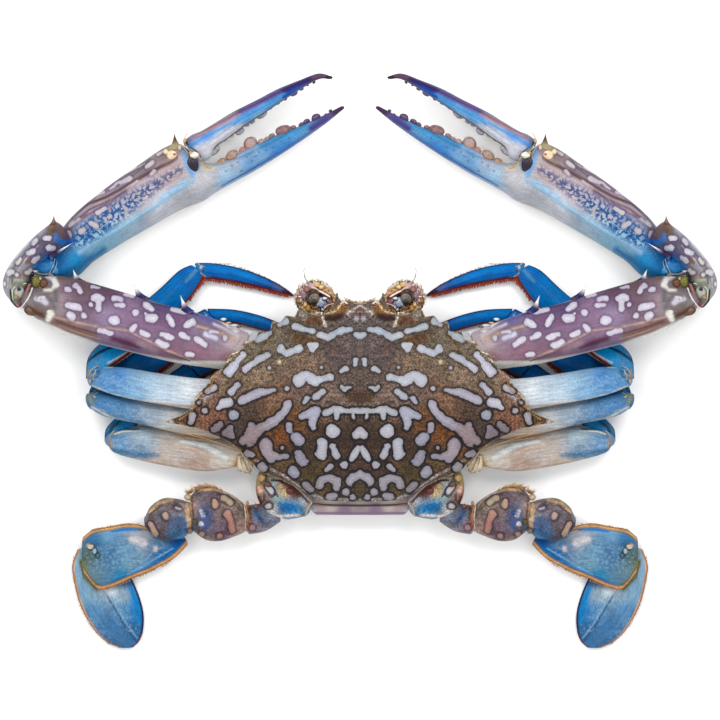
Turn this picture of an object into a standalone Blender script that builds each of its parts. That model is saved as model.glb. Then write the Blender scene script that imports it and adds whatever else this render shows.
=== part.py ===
"""A life-size still model of a male blue swimming crab, resting on its belly with both claws held forward.

Every size is in millimetres. A place on the animal is (out, ahead, up): out from the middle plane, ahead
towards the front, and up from the floor. One side is described and both are built, since the animal is
symmetrical.
"""

import math
from collections import namedtuple

import bmesh
import bpy
from mathutils import Vector

MM = 0.001
GAP = 0.3  # between two parts that meet
SIDES = 10  # faces round a limb
SIDE_NAMES = ((-1, "l"), (1, "r"))

# Carapace: half its smooth margin from the middle of the front to the middle of the rear edge
MARGIN = (
    (0, 22.5), (6, 22.8), (11, 22.6), (17, 21.6), (23, 20), (30, 16.5), (37, 11.8), (43, 7), (48.5, 2),
    (54.5, -4), (60, -11), (65, -18), (68, -22.5), (67, -26.5), (60, -29.3), (52, -32.5), (46, -36),
    (43, -41), (39.5, -44.3), (32, -45.6), (26.5, -48.8), (21, -53), (16, -55.6), (8, -56.2), (0, -56.4),
)
SHELL_CENTRE = -14  # ahead of the highest point
SHELL_TOP = 41
SHELL_BULGE = 2.3  # the dome is flat in the middle and steepest at the margin
SHELL_RINGS = (1.0, 0.93, 0.83, 0.69, 0.51, 0.3, 0.12)
MARGIN_FRONT_UP = 26.5
MARGIN_REAR_UP = 19
SIDE_TEETH = ((29.8, 18.2), (35.2, 16), (40.4, 11.8), (46.4, 8), (52, 2.8), (59.2, -5.8), (66, -14.6))
TOOTH_LONG = 5.5  # with its sunk root
TOOTH_HALF = 2.7
TOOTH_THICK = 1.5
TOOTH_AIM = 0.55  # how far a tooth turns from straight ahead to the side
ROOT_RISE = 1  # a root lies this much higher than its tip
ORBIT_TOOTH = (23.8, 22.3)
FRONT_TEETH = ((4.4, 24.6), (9.4, 27.2))
HORN_ROOT = (61, -23.5)
HORN_TIP = (78, -24.4)
HORN_WIDE = 4.6
HORN_THICK = 3.4
ORBIT = (15.2, 23.6, 25)  # middle of the notch that holds the eye
ORBIT_HALF = (7.2, 5.6, 7)

# Belly: the sternum, a low boat with a flat keel that the crab rests on
BELLY_CENTRE = -20.5
BELLY_HALF = (41, 29.5)
BELLY_SQUARENESS = 2.6
BELLY_RINGS = ((0, 0.7), (2.5, 0.84), (8, 0.96), (14, 1.0))
EAVE_DROP = 2.6  # the shell's underside, part of the way from its margin to the belly
EAVE_SHARE = 0.4
SEAT_SCALE = 1.02

# steps is how many rings a span between two stations takes
Limb = namedtuple("Limb", "lead trail rise tilt thick section caps steps", defaults=(1,))


def superellipse(power, count=SIDES):
    """Points round a section, from its leading edge over the top: (across, up), each from -1 to 1."""
    points = []
    for k in range(count):
        turn = 2 * math.pi * k / count
        across = math.copysign(abs(math.cos(turn)) ** (2 / power), math.cos(turn))
        up = math.copysign(abs(math.sin(turn)) ** (2 / power), math.sin(turn))
        points.append((across, up))
    return tuple(points)


OVAL = superellipse(2.0)
BLADE = superellipse(1.6)
BLOCK = superellipse(2.7)
# The claw's long arm has a sharp front edge, a nearly flat top and a ridge close to its rear edge
ARM = (
    (1, -0.15), (0.72, 0.38), (0.2, 0.78), (-0.45, 1), (-0.74, 0.92),
    (-0.97, 0.3), (-0.98, -0.3), (-0.7, -0.85), (0.05, -1), (0.75, -0.72),
)
# The hand has two ridges along its upper face
HAND = (
    (1, 0), (0.9, 0.5), (0.55, 0.92), (-0.36, 1), (-0.78, 0.6),
    (-1, 0), (-0.82, -0.62), (-0.35, -0.98), (0.35, -1), (0.82, -0.7),
)

# Claw
CLAW_BASE = Limb(
    lead=((27, 8), (35, 11), (43, 11.5)),
    trail=((32, -6), (40, -6), (49, -4.5)),
    rise=(9.5, 10.5, 11.5), tilt=(0, 0, 0), thick=(8, 9.5, 9.5), section=OVAL, caps=(1, 1.5),
)
CLAW_MERUS = Limb(
    lead=((44.5, 11.2), (52.8, 14.8), (66.4, 19.6), (79.2, 22.8), (97.6, 28.4), (117.2, 33.6), (129.2, 33.8)),
    trail=((50.4, -4), (59.2, -2.8), (70.8, -1.2), (83.2, 1.6), (104, 6.8), (120, 11.2), (134.4, 20.8)),
    rise=(12, 13.2, 15.6, 17.5, 18.5, 18, 15.5), tilt=(0, 0, 0, 0, 0, 0, 0),
    thick=(10.5, 12, 15, 17.5, 19.5, 19.5, 15), section=ARM, caps=(1, 2), steps=2,
)
CLAW_CARPUS = Limb(
    lead=((138.8, 23), (142.1, 27.4), (142.7, 32.4), (140, 38.5), (134, 46), (127.2, 52.4), (122.4, 55.6)),
    trail=(
        (133.4, 25.4), (131.6, 30), (130.4, 34.8), (127.2, 39.6), (121.6, 42.8), (118.4, 44.8),
        (116, 47.2),
    ),
    rise=(12.5, 13, 13.6, 14, 14, 13.6, 13), tilt=(0, 0, 0, 0, 0, 0, 0),
    thick=(11, 16, 21, 24, 24, 22, 18), section=OVAL, caps=(1.5, 1.5), steps=2,
)
CLAW_HAND = Limb(
    lead=(
        (126.4, 42), (120, 51.8), (113.2, 60), (101.2, 70.4), (89.2, 79.2), (78, 86), (71.6, 86.6),
        (62, 79.4), (50, 81.6), (39.2, 86.6), (28, 92.4), (16.8, 97.4), (8, 101.8),
    ),
    trail=(
        (119.2, 31.6), (111.4, 35.2), (106.8, 40.8), (96.8, 48), (84, 55.2), (72.8, 61.2), (62.8, 64.4),
        (57.6, 67.6), (45.2, 74.4), (35.2, 80.4), (24.8, 87.2), (14, 94.8), (6.8, 100.6),
    ),
    rise=(8, 8.6, 9, 9.1, 9.1, 8.8, 8.2, 8, 8, 8, 8, 8.4, 9), tilt=(0,) * 13,
    thick=(12, 16, 18, 18.8, 18.8, 18, 16.2, 13, 10, 9, 8, 5.5, 2), section=HAND, caps=(1.5, 1.2),
)
CLAW_FINGER = Limb(
    lead=(
        (70, 88.6), (67.2, 90.6), (63.3, 92.2), (56.8, 96.1), (50.4, 100), (41.6, 104.4),
        (33, 108.9), (24.4, 112.4), (16.8, 115.1), (12, 114.2),
    ),
    trail=(
        (64.6, 79.6), (60.4, 81), (57.6, 85.6), (52.8, 89), (46, 94), (37.6, 99.6),
        (29.2, 105.2), (22, 109.8), (16.2, 112.8), (12.6, 112.8),
    ),
    rise=(9, 9.4, 9.5, 9.5, 9.5, 9.5, 9.5, 9.5, 9.4, 9.2), tilt=(0,) * 10,
    thick=(9, 12, 11.5, 10.5, 9.5, 8.5, 7.4, 6, 4, 2), section=OVAL, caps=(0.8, 1.4),
)
ARM_SPINES = (((113.4, 31.6), (114.6, 36.6)), ((88, 24.8), (90.9, 31.6)), ((70, 19.8), (71.8, 26.4)))
ARM_SPINE_UP = (16.5, 18.5)
WRIST_SPINES = (((121.6, 52.8), (122.3, 58.3)), ((119.4, 43.6), (114.8, 46.6)))
WRIST_SPINE_UP = (17.5, 19)
HAND_SPINES = (((74.9, 84.6), (74.2, 91)),)
HAND_SPINE_UP = (13, 14.5)
SPINE_HALF = 1.7
FINGER_TOOTH_SIZES = (2, 0.9, 1.6, 0.9, 0.9, 2.1, 0.9, 0.8, 0.8, 1.7, 0.7, 0.6)
FINGER_TOOTH_EDGE = CLAW_FINGER.trail[2:-1]
HAND_TOOTH_SIZES = (1.3, 2, 2.7, 1.2, 2.5, 1.2, 1.2, 2.5, 1.2, 1.1, 1, 2.2, 0.8, 0.7)
HAND_TOOTH_EDGE = ((59.8, 78.6), *CLAW_HAND.lead[8:-1], (12, 100))
TOOTH_UP = 9

# Walking legs: the thighs lie like louvres, each one's rear edge over the front edge of the next
LEG2_MERUS = Limb(
    lead=((39.2, -3.6), (51.2, -6), (62, -7.2), (79.2, -5.2), (96, -2.6), (107.6, -2.8)),
    trail=((40.8, -12.4), (52.8, -16.4), (64, -19.2), (82, -16.8), (97.6, -13.6), (107.6, -10)),
    rise=(8.5, 11.5, 14, 15, 15, 13.5), tilt=(-1, -3, -4.5, -5, -5, -3),
    thick=(8, 7.2, 6.8, 6.8, 6.8, 5.5), section=OVAL, caps=(1, 1.6), steps=2,
)
LEG2_CARPUS = Limb(
    lead=((109.6, -6.8), (109.2, 0), (106.8, 4.4), (102.8, 7.6)),
    trail=((101.6, -3.2), (98, -1.2), (94, 1.6), (90.4, 4.4)),
    rise=(12.6, 11.2, 9, 6.6), tilt=(0, 0, 0, 0), thick=(5.5, 7.2, 6.6, 5.8),
    section=OVAL, caps=(1, 1.2), steps=2,
)
LEG2_PROPODUS = Limb(
    lead=((101.8, 8.8), (92, 18.8), (80, 29.2), (72.8, 36), (68, 38.4)),
    trail=((89.8, 4.9), (80.8, 13.2), (69.6, 23.6), (64.8, 30), (62.8, 33.8)),
    rise=(5.6, 3.8, 3.5, 3.5, 3.4), tilt=(0, 0, 0, 0, 0), thick=(5.6, 5.2, 5, 4.6, 4.2),
    section=BLADE, caps=(1, 0.8),
)
LEG2_DACTYLUS = Limb(
    lead=((66, 39.2), (58.8, 39.2), (48, 37.2), (37.2, 33.2), (30, 29.2), (26.4, 26.4)),
    trail=((62.6, 33), (57.2, 32.6), (48.8, 31.2), (39.2, 29), (31.6, 27), (26.9, 25.8)),
    rise=(3.2, 3, 2.6, 2.2, 1.6, 1), tilt=(0,) * 6, thick=(4, 4.2, 3.8, 3.2, 2.2, 1.2),
    section=BLADE, caps=(0.8, 0.8),
)
LEG3_MERUS = Limb(
    lead=((37.2, -12.4), (52.8, -16.8), (68.4, -16.4), (88, -14), (101.6, -12), (108.8, -13.2)),
    trail=((39.4, -21.6), (55.2, -30.8), (70.4, -29.2), (88.8, -24.8), (101.6, -22.2), (108, -18.8)),
    rise=(7.5, 9, 10.4, 11.2, 11.2, 10), tilt=(-1, -4, -5, -5, -5, -3),
    thick=(7.5, 6.8, 6.4, 6.4, 6.2, 5), section=OVAL, caps=(1, 1.4), steps=2,
)
LEG3_CARPUS = Limb(
    lead=((109.2, -16.4), (108, -10.8), (104.4, -6)),
    trail=((101.6, -15.6), (98, -14.8), (94.4, -12.6)),
    rise=(7.6, 6, 4.6), tilt=(0, 0, 0), thick=(5, 5.8, 5.8), section=OVAL, caps=(1, 1), steps=2,
)
LEG3_PROPODUS = Limb(
    lead=((102.6, -4.2), (88, 4.8), (72, 15.6), (62.4, 20.8)),
    trail=((93.4, -12), (80.4, -4), (64.8, 7.2), (57.6, 14.8)),
    rise=(4, 3.3, 3, 2.9), tilt=(0, 0, 0, 0), thick=(5.4, 5, 4.6, 4.2), section=BLADE, caps=(1, 0.8),
)
LEG3_DACTYLUS = Limb(
    lead=((61, 21), (50.8, 20.6), (42, 18.8), (34, 16), (26, 12), (22.2, 9.4)),
    trail=((56.8, 15), (51.2, 15.2), (44, 13.6), (36.8, 11.6), (28, 9.8), (22.8, 8.6)),
    rise=(2.9, 2.7, 2.5, 2.2, 1.6, 1), tilt=(0,) * 6, thick=(4, 4, 3.6, 3, 2, 1.2),
    section=BLADE, caps=(0.8, 0.8),
)
LEG4_MERUS = Limb(
    lead=((39.2, -26.8), (48, -30.8), (60.8, -30), (74.8, -26.8), (88.4, -26), (98, -27.6), (101.6, -30.4)),
    trail=(
        (42.4, -36.4), (46.8, -41.2), (60.8, -44), (74.8, -42.4), (88.4, -39.6), (98, -36.8),
        (100.8, -34),
    ),
    rise=(7, 7.6, 7.8, 7.8, 7.6, 7.2, 6.8), tilt=(0, -2, -4.5, -4.5, -4.5, -3, -1),
    thick=(7.5, 7, 6.8, 6.6, 6.4, 5.8, 4.4), section=OVAL, caps=(1, 1), steps=2,
)
LEG4_CARPUS = Limb(
    lead=((102.4, -32), (101.8, -27.2), (98.4, -23.2)),
    trail=((94, -28.8), (90.4, -26.8), (87.6, -23.6)),
    rise=(5.6, 4.8, 4), tilt=(0, 0, 0), thick=(4.4, 5.4, 5.4), section=OVAL, caps=(1, 1), steps=2,
)
LEG4_PROPODUS = Limb(
    lead=((96.4, -21.4), (84, -10.8), (70.4, -1.2)),
    trail=((87, -23), (76, -16.4), (64, -7.6)),
    rise=(3.5, 2.9, 2.7), tilt=(0, 0, 0), thick=(5, 4.6, 4), section=BLADE, caps=(1, 0.8), steps=2,
)
LEG4_DACTYLUS = Limb(
    lead=((68.8, 0), (60, 3.6), (51.2, 6), (42.4, 6.4)),
    trail=((63.2, -6.8), (56.8, -3.2), (49.6, 1.2), (42.2, 5.4)),
    rise=(2.7, 2.5, 2, 1), tilt=(0, 0, 0, 0), thick=(4, 3.8, 2.8, 1.2),
    section=BLADE, caps=(0.8, 0.8), steps=2,
)

# Swimming leg
SWIM_COXA = Limb(
    lead=((38.4, -40.4), (41.2, -46.4), (41.6, -52.4), (39.2, -58.4)),
    trail=((19.2, -45.6), (18.8, -55.6), (20.8, -61.2), (27.2, -62.8)),
    rise=(10.5, 11, 10.5, 9.5), tilt=(0, 0, 0, 0), thick=(11, 13, 12.5, 9), section=BLOCK, caps=(1, 1.2),
)
SWIM_BASE = Limb(
    lead=((35.6, -56.6), (41.6, -57.2), (46.8, -58.2)),
    trail=((32, -64.4), (37.6, -68), (44, -69.4)),
    rise=(9, 9, 9), tilt=(0, 0, 0), thick=(8, 10.5, 11), section=OVAL, caps=(1, 1.5),
)
SWIM_MERUS = Limb(
    lead=((46.8, -56.8), (51.2, -53.6), (58, -50.8), (64, -51), (67.2, -53.2)),
    trail=((46, -68.4), (49.6, -70), (55.6, -72), (61.6, -71.6), (66.8, -68)),
    rise=(9, 9.2, 9.2, 9, 8.8), tilt=(0,) * 5, thick=(9, 12.5, 14.5, 14.5, 11),
    section=OVAL, caps=(1.2, 1.2), steps=2,
)
SWIM_CARPUS = Limb(
    lead=((67.6, -56.8), (72.8, -55.2), (78.8, -55), (83.6, -58), (85.8, -62)),
    trail=((67.6, -68), (71.2, -71), (76, -71.6), (81.2, -70.8), (85.2, -67.2)),
    rise=(8.8, 8.8, 8.8, 8.4, 8), tilt=(0,) * 5, thick=(9, 12.6, 13, 11, 6.5),
    section=OVAL, caps=(1.2, 0.8), steps=2,
)
SWIM_PROPODUS = Limb(
    lead=(
        (71.2, -70), (78, -68.6), (84.8, -66.4), (92.8, -65), (100.8, -66.4), (106.8, -67.4),
        (110.8, -70.4),
    ),
    trail=(
        (69.2, -73.6), (74.8, -79.2), (84, -84.2), (91.6, -87.2), (99.6, -90.6),
        (105.2, -91.2), (110.4, -85.2),
    ),
    rise=(5.4, 5.4, 5.4, 5.4, 5.4, 5.4, 5.4), tilt=(0,) * 7, thick=(2, 3, 3.6, 3.8, 3.6, 3.2, 2.2),
    section=BLADE, caps=(0.6, 1),
)
SWIM_PADDLE = Limb(
    lead=(
        (113.4, -76), (115.4, -82), (114.8, -87.6), (113.2, -94.8), (110.4, -101.6), (106.4, -108),
        (102, -112.4), (97.2, -114.8),
    ),
    trail=(
        (106, -74.4), (96.8, -79.6), (92, -86.4), (88.4, -94.8), (86.8, -101.6), (87, -108),
        (88.4, -112.2), (90.8, -114.6),
    ),
    rise=(2.5, 1.9, 1.6, 1.6, 1.6, 1.6, 1.5, 1.4), tilt=(0,) * 8, thick=(3.6, 3.4, 3.2, 3.2, 3.2, 3, 2.6, 1.8),
    section=BLADE, caps=(0.8, 0.5),
)

# Head
EYE_CENTRE = (18.2, 24.6, 25.4)
EYE_HALF = 2.4
STALK = ((10.6, 20.6, 24.2), (13.4, 22.2, 24.8), (16.4, 23.7, 25.2))
STALK_HALF = (1.5, 1.6, 2.1)
PALP = (
    (6.5, 18.2, 18.6), (9.8, 23, 19.6), (13.2, 27.4, 20.2), (17.6, 29.4, 20.4), (22, 28, 20), (24.8, 24.2, 19),
)
PALP_HALF = (1.8, 2.1, 2.4, 2.4, 2, 1)
JAW = Limb(
    lead=(
        (0.5, 5.5), (0.5, 10), (0.5, 15), (0.5, 19.5)), trail=((7, 6.5), (10.5, 10.5),
        (11.5, 15), (8.5, 19),
    ),
    rise=(7.6, 12, 17, 20.4), tilt=(0, 0, 0, 0), thick=(3, 4, 4, 3), section=BLOCK, caps=(0.8, 0.8),
)
FEELER = (
    (7.6, 17.4, 22.9), (11.6, 25, 23.8), (15.6, 27.4, 24.4), (20, 31, 25), (21.9, 33, 25.5), (22.4, 35.4, 26),
)
FEELER_HALF = (1.3, 1.1, 0.7, 0.45, 0.3, 0.15)
SMALL_FEELER = ((3.6, 18.6, 24.6), (3.8, 22.6, 23.4), (4.6, 25.4, 23.4), (6.2, 26.8, 24))
SMALL_FEELER_HALF = (1.2, 1.1, 0.7, 0.25)

# Abdomen: the first rings close the rear, and a narrow tongue is folded under the belly
TAIL_BLOCK = ((-46, 18, 9.5, 9), (-54, 20, 10, 11), (-59.5, 19.4, 9.6, 10.4), (-61.6, 17.5, 8.6, 6.5))
TAIL_TONGUE = (
    (-60.4, 13.5, 3, 4.5), (-56, 14, 1.4, 2.8), (-46, 12, 1.2, 2.4), (-36, 8, 1.2, 2.4), (-26, 5, 1.2, 2.2),
    (-18, 2, 1, 1.6),
)

COLOURS = {
    "shell": ((0.16, 0.13, 0.1), 0.5),
    "belly": ((0.7, 0.7, 0.72), 0.55),
    "claw": ((0.26, 0.22, 0.36), 0.4),
    "leg": ((0.12, 0.36, 0.62), 0.4),
    "paddle": ((0.2, 0.42, 0.62), 0.4),
    "mouth": ((0.5, 0.3, 0.16), 0.6),
    "eye": ((0.05, 0.04, 0.04), 0.15),
}


def clear_scene():
    for obj in list(bpy.data.objects):
        bpy.data.objects.remove(obj)


def finish(name):
    """The plain material that stands for one kind of surface."""
    if name in bpy.data.materials:
        return bpy.data.materials[name]
    colour, roughness = COLOURS[name]
    material = bpy.data.materials.new(name)
    material.use_nodes = True
    shader = material.node_tree.nodes["Principled BSDF"]
    shader.inputs["Base Color"].default_value = (*colour, 1)
    shader.inputs["Roughness"].default_value = roughness
    shader.inputs["Metallic"].default_value = 0
    return material


def between(values, t):
    """The value a share t of the way from the second of four numbers to the third, on a smooth curve."""
    a, b, c, d = values
    return 0.5 * (2 * b + (c - a) * t + (2 * a - 5 * b + 4 * c - d) * t**2 + (3 * b - a - 3 * c + d) * t**3)


def smooth_rows(rows, steps):
    """Rows of numbers with more between them, on one smooth curve through them all."""
    if steps == 1:
        return [tuple(row) for row in rows]
    found = []
    last = len(rows) - 1
    for i in range(last):
        before, start, end, after = (rows[max(0, min(last, j))] for j in (i - 1, i, i + 1, i + 2))
        for k in range(steps):
            t = k / steps
            found.append(tuple(between(values, t) for values in zip(before, start, end, after)))
    found.append(tuple(rows[-1]))
    return found


def body_of_rings(rings, start, end):
    """A closed mesh through rings of points, with a point beyond each end."""
    body = bmesh.new()
    made = [[body.verts.new(p) for p in ring] for ring in rings]
    first, final = body.verts.new(start), body.verts.new(end)
    count = len(made[0])
    for near, far in zip(made, made[1:]):
        for k in range(count):
            body.faces.new((near[k], near[(k + 1) % count], far[(k + 1) % count], far[k]))
    for k in range(count):
        body.faces.new((first, made[0][(k + 1) % count], made[0][k]))
        body.faces.new((final, made[-1][k], made[-1][(k + 1) % count]))
    bmesh.ops.triangulate(body, faces=[f for f in body.faces if len(f.verts) > 3])
    bmesh.ops.recalc_face_normals(body, faces=body.faces)
    return body


def rest_on_floor(body):
    for vert in body.verts:
        vert.co.z = max(vert.co.z, 0)


def limb_body(limb, side):
    """One limb segment, lofted through its stations."""
    rows = [
        (*lead, *trail, rise, tilt, thick)
        for lead, trail, rise, tilt, thick in zip(limb.lead, limb.trail, limb.rise, limb.tilt, limb.thick)
    ]
    rows = smooth_rows(rows, limb.steps)
    fronts = [Vector((side * r[0], r[1], r[4] + r[5] / 2)) for r in rows]
    rears = [Vector((side * r[2], r[3], r[4] - r[5] / 2)) for r in rows]
    centres = [(a + b) / 2 for a, b in zip(fronts, rears)]
    rings = []
    last = len(rows) - 1
    for i, row in enumerate(rows):
        along = (centres[min(last, i + 1)] - centres[max(0, i - 1)]).normalized()
        half = (fronts[i] - rears[i]) / 2
        up = along.cross(half).normalized()
        if up.z < 0:
            up.negate()
        rings.append([centres[i] + half * across + up * (high * row[6] / 2) for across, high in limb.section])
    start = centres[0] + (centres[0] - centres[1]).normalized() * limb.caps[0]
    end = centres[-1] + (centres[-1] - centres[-2]).normalized() * limb.caps[1]
    body = body_of_rings(rings, start, end)
    rest_on_floor(body)
    return body


def tube_body(path, halves, side, count=8, steps=2):
    """A round, tapered body along a path."""
    rows = smooth_rows([(*p, h) for p, h in zip(path, halves)], steps)
    points = [Vector((side * r[0], r[1], r[2])) for r in rows]
    last = len(points) - 1
    rings = []
    for i, point in enumerate(points):
        along = (points[min(last, i + 1)] - points[max(0, i - 1)]).normalized()
        across = along.cross(Vector((0, 0, 1))).normalized()
        up = across.cross(along)
        turns = [2 * math.pi * k / count for k in range(count)]
        rings.append([point + (across * math.cos(t) + up * math.sin(t)) * rows[i][3] for t in turns])
    start = points[0] + (points[0] - points[1]).normalized() * rows[0][3] * 0.4
    end = points[-1] + (points[-1] - points[-2]).normalized() * rows[-1][3] * 0.6
    return body_of_rings(rings, start, end)


def slab_body(stations):
    """A body symmetrical about the middle plane, through stations of (ahead, half width, up, thick)."""
    section = superellipse(3, 14)
    rings = []
    for ahead, half, up, thick in stations:
        rings.append([(half * across, ahead, max(0, up + high * thick / 2)) for across, high in section])
    first, final = stations[0], stations[-1]
    body = body_of_rings(rings, (0, first[0] + 0.5, first[2]), (0, final[0], final[2]))
    return body


def spine_body(root, tip, half, thick=None, sides=5):
    """A spine with its root sunk in what carries it: a cone that swells a little before its tip."""
    root, tip = Vector(root), Vector(tip)
    along = (tip - root).normalized()
    across = along.cross(Vector((0, 0, 1))).normalized()
    up = across.cross(along)
    thick = half if thick is None else thick
    rings = []
    for share, size in ((0, 1), (0.55, 0.42)):
        ring = []
        for k in range(sides):
            turn = 2 * math.pi * (k + 0.5) / sides
            reach = across * math.cos(turn) * half + up * math.sin(turn) * thick
            ring.append(root.lerp(tip, share) + reach * size)
        rings.append(ring)
    return body_of_rings(rings, root - along * 0.3, tip)


def knob_body(centre, halves, subdivisions=1):
    body = bmesh.new()
    bmesh.ops.create_icosphere(body, subdivisions=subdivisions, radius=1)
    for vert in body.verts:
        vert.co = Vector(centre) + Vector((vert.co.x * halves[0], vert.co.y * halves[1], vert.co.z * halves[2]))
    return body


def node(name, body, colour):
    """Turns a mesh in millimetres into a named object."""
    mesh = bpy.data.meshes.new(name)
    bmesh.ops.scale(body, vec=(MM, MM, MM), verts=body.verts)
    body.to_mesh(mesh)
    body.free()
    obj = bpy.data.objects.new(name, mesh)
    bpy.context.scene.collection.objects.link(obj)
    mesh.materials.append(finish(colour))
    mesh.shade_smooth()
    mesh.set_sharp_from_angle(angle=math.radians(40))
    return obj


def keep_largest(obj):
    """Keeps the largest closed surface of a node."""
    body = bmesh.new()
    body.from_mesh(obj.data)
    left = set(body.verts)
    parts = []
    while left:
        group, edge = set(), [left.pop()]
        while edge:
            vert = edge.pop()
            group.add(vert)
            for link in vert.link_edges:
                other = link.other_vert(vert)
                if other in left:
                    left.remove(other)
                    edge.append(other)
        parts.append(group)
    parts.sort(key=lambda group: extent(group), reverse=True)
    for group in parts[1:]:
        bmesh.ops.delete(body, geom=list(group), context="VERTS")
    bmesh.ops.triangulate(body, faces=body.faces)
    body.to_mesh(obj.data)
    body.free()


def extent(group):
    """How large a set of points is, by its box."""
    sides = [max(v.co[k] for v in group) - min(v.co[k] for v in group) for k in range(3)]
    return sides[0] * sides[1] + sides[1] * sides[2] + sides[2] * sides[0]


def combine(obj, bodies, operation, solver):
    """One Boolean of a node with a collection of closed bodies, applied."""
    group = bpy.data.collections.new("group")
    bpy.context.scene.collection.children.link(group)
    for body in bodies:
        mesh = bpy.data.meshes.new("piece")
        bmesh.ops.scale(body, vec=(MM, MM, MM), verts=body.verts)
        body.to_mesh(mesh)
        body.free()
        group.objects.link(bpy.data.objects.new("piece", mesh))
    change = obj.modifiers.new("combine", "BOOLEAN")
    change.operation = operation
    change.operand_type = "COLLECTION"
    change.collection = group
    change.solver = solver
    with bpy.context.temp_override(object=obj, active_object=obj):
        bpy.ops.object.modifier_apply(modifier=change.name)
    for piece in list(group.objects):
        bpy.data.objects.remove(piece)
    bpy.data.collections.remove(group)
    keep_largest(obj)


def fuse(obj, bodies, solver="MANIFOLD"):
    combine(obj, bodies, "UNION", solver)


def carve(obj, bodies, solver="MANIFOLD"):
    combine(obj, bodies, "DIFFERENCE", solver)


def copy_of(obj):
    """A node's mesh in millimetres, to cut another node with."""
    body = bmesh.new()
    body.from_mesh(obj.data)
    bmesh.ops.scale(body, vec=(1 / MM, 1 / MM, 1 / MM), verts=body.verts)
    return body


def swollen(body, by=GAP):
    """The same body with every face moved out."""
    body.normal_update()
    moves = [(vert, vert.normal * by * min(vert.calc_shell_factor(), 1.6)) for vert in body.verts]
    for vert, move in moves:
        vert.co += move
    return body


def margin_up(ahead):
    """Height of the carapace's margin, lower towards the rear."""
    rear, front = MARGIN[-1][1], MARGIN[0][1]
    return MARGIN_REAR_UP + (MARGIN_FRONT_UP - MARGIN_REAR_UP) * (ahead - rear) / (front - rear)


def whole_margin():
    """The margin all the way round."""
    return [(u, y) for u, y in MARGIN] + [(-u, y) for u, y in reversed(MARGIN[1:-1])]


def belly_edge(x, y, scale):
    """Where the belly's outline lies in the direction of a point of the margin."""
    turn = math.atan2(y - BELLY_CENTRE, x)
    wide, deep = BELLY_HALF
    size = abs(math.cos(turn) / wide) ** BELLY_SQUARENESS + abs(math.sin(turn) / deep) ** BELLY_SQUARENESS
    reach = scale * size ** (-1 / BELLY_SQUARENESS)
    return reach * math.cos(turn), BELLY_CENTRE + reach * math.sin(turn)


def shell_body():
    """The carapace: a broad dome over its margin, and an eave that runs in to the belly."""
    outline = whole_margin()
    rings = []
    for scale in reversed(SHELL_RINGS):
        ring = []
        for x, y in outline:
            edge = margin_up(y)
            up = edge + (SHELL_TOP - edge) * (1 - scale**SHELL_BULGE)
            ring.append((x * scale, SHELL_CENTRE + (y - SHELL_CENTRE) * scale, up))
        rings.append(ring)
    seat = BELLY_RINGS[-1][0] + GAP
    middle, inner = [], []
    for x, y in outline:
        inside = belly_edge(x, y, SEAT_SCALE)
        inner.append((*inside, seat))
        under = Vector((x, y)).lerp(Vector(inside), EAVE_SHARE)
        middle.append((*under, margin_up(y) - EAVE_DROP))
    rings += [middle, inner]
    return body_of_rings(rings, (0, SHELL_CENTRE, SHELL_TOP), (0, BELLY_CENTRE, seat))


def shell_teeth():
    bodies = []
    for side, _ in SIDE_NAMES:
        for out, ahead in (*SIDE_TEETH, ORBIT_TOOTH, *FRONT_TEETH):
            tip = Vector((side * out, ahead, margin_up(ahead)))
            inward = Vector((-side * out * TOOTH_AIM, SHELL_CENTRE - ahead, 0)).normalized()
            root = tip + inward * TOOTH_LONG + Vector((0, 0, ROOT_RISE))
            bodies.append(spine_body(root, tip, TOOTH_HALF, TOOTH_THICK, sides=6))
        root = (side * HORN_ROOT[0], HORN_ROOT[1], margin_up(HORN_ROOT[1]) + ROOT_RISE)
        tip = (side * HORN_TIP[0], HORN_TIP[1], margin_up(HORN_TIP[1]))
        bodies.append(spine_body(root, tip, HORN_WIDE, HORN_THICK, sides=6))
    return bodies


def make_shell():
    shell = node("carapace", shell_body(), "shell")
    orbits = [knob_body((side * ORBIT[0], *ORBIT[1:]), ORBIT_HALF, 2) for side, _ in SIDE_NAMES]
    carve(shell, orbits)
    fuse(shell, shell_teeth())
    return shell


def belly_body():
    outline = whole_margin()
    rings = [[(*belly_edge(x, y, scale), up) for x, y in outline] for up, scale in BELLY_RINGS]
    bottom, top = BELLY_RINGS[0][0], BELLY_RINGS[-1][0]
    return body_of_rings(rings, (0, BELLY_CENTRE, bottom), (0, BELLY_CENTRE, top))


def make_belly():
    belly = node("sternum", belly_body(), "belly")
    carve(belly, [swollen(slab_body(TAIL_BLOCK)), swollen(slab_body(TAIL_TONGUE))])
    return belly


def make_tail():
    tail = node("abdomen", slab_body(TAIL_BLOCK), "belly")
    fuse(tail, [slab_body(TAIL_TONGUE)])
    carve(tail, [swollen(shell_body())])
    return tail


def spines_on(side, pairs, ups):
    bodies = []
    for root, tip in pairs:
        start = (side * root[0], root[1], ups[0])
        end = (side * tip[0], tip[1], ups[1])
        bodies.append(spine_body(start, end, SPINE_HALF))
    return bodies


def place_along(points, share):
    """The place a share of the way along a path of straight runs."""
    runs = [(b - a).length for a, b in zip(points, points[1:])]
    left = share * sum(runs)
    for start, end, run in zip(points, points[1:], runs):
        if left <= run:
            return start.lerp(end, left / run)
        left -= run
    return points[-1]


def teeth_along(side, edge, sizes):
    """Rounded teeth in a row on an edge, each as far from the last as their sizes ask."""
    points = [Vector((side * p[0], p[1], TOOTH_UP)) for p in edge]
    whole = sum(sizes) * 2 - sizes[0] - sizes[-1]
    reached = -sizes[0]
    bodies = []
    for size in sizes:
        reached += size
        centre = place_along(points, min(1, reached / whole))
        bodies.append(knob_body(centre, (size * 1.05, size, size)))
        reached += size
    return bodies


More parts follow.
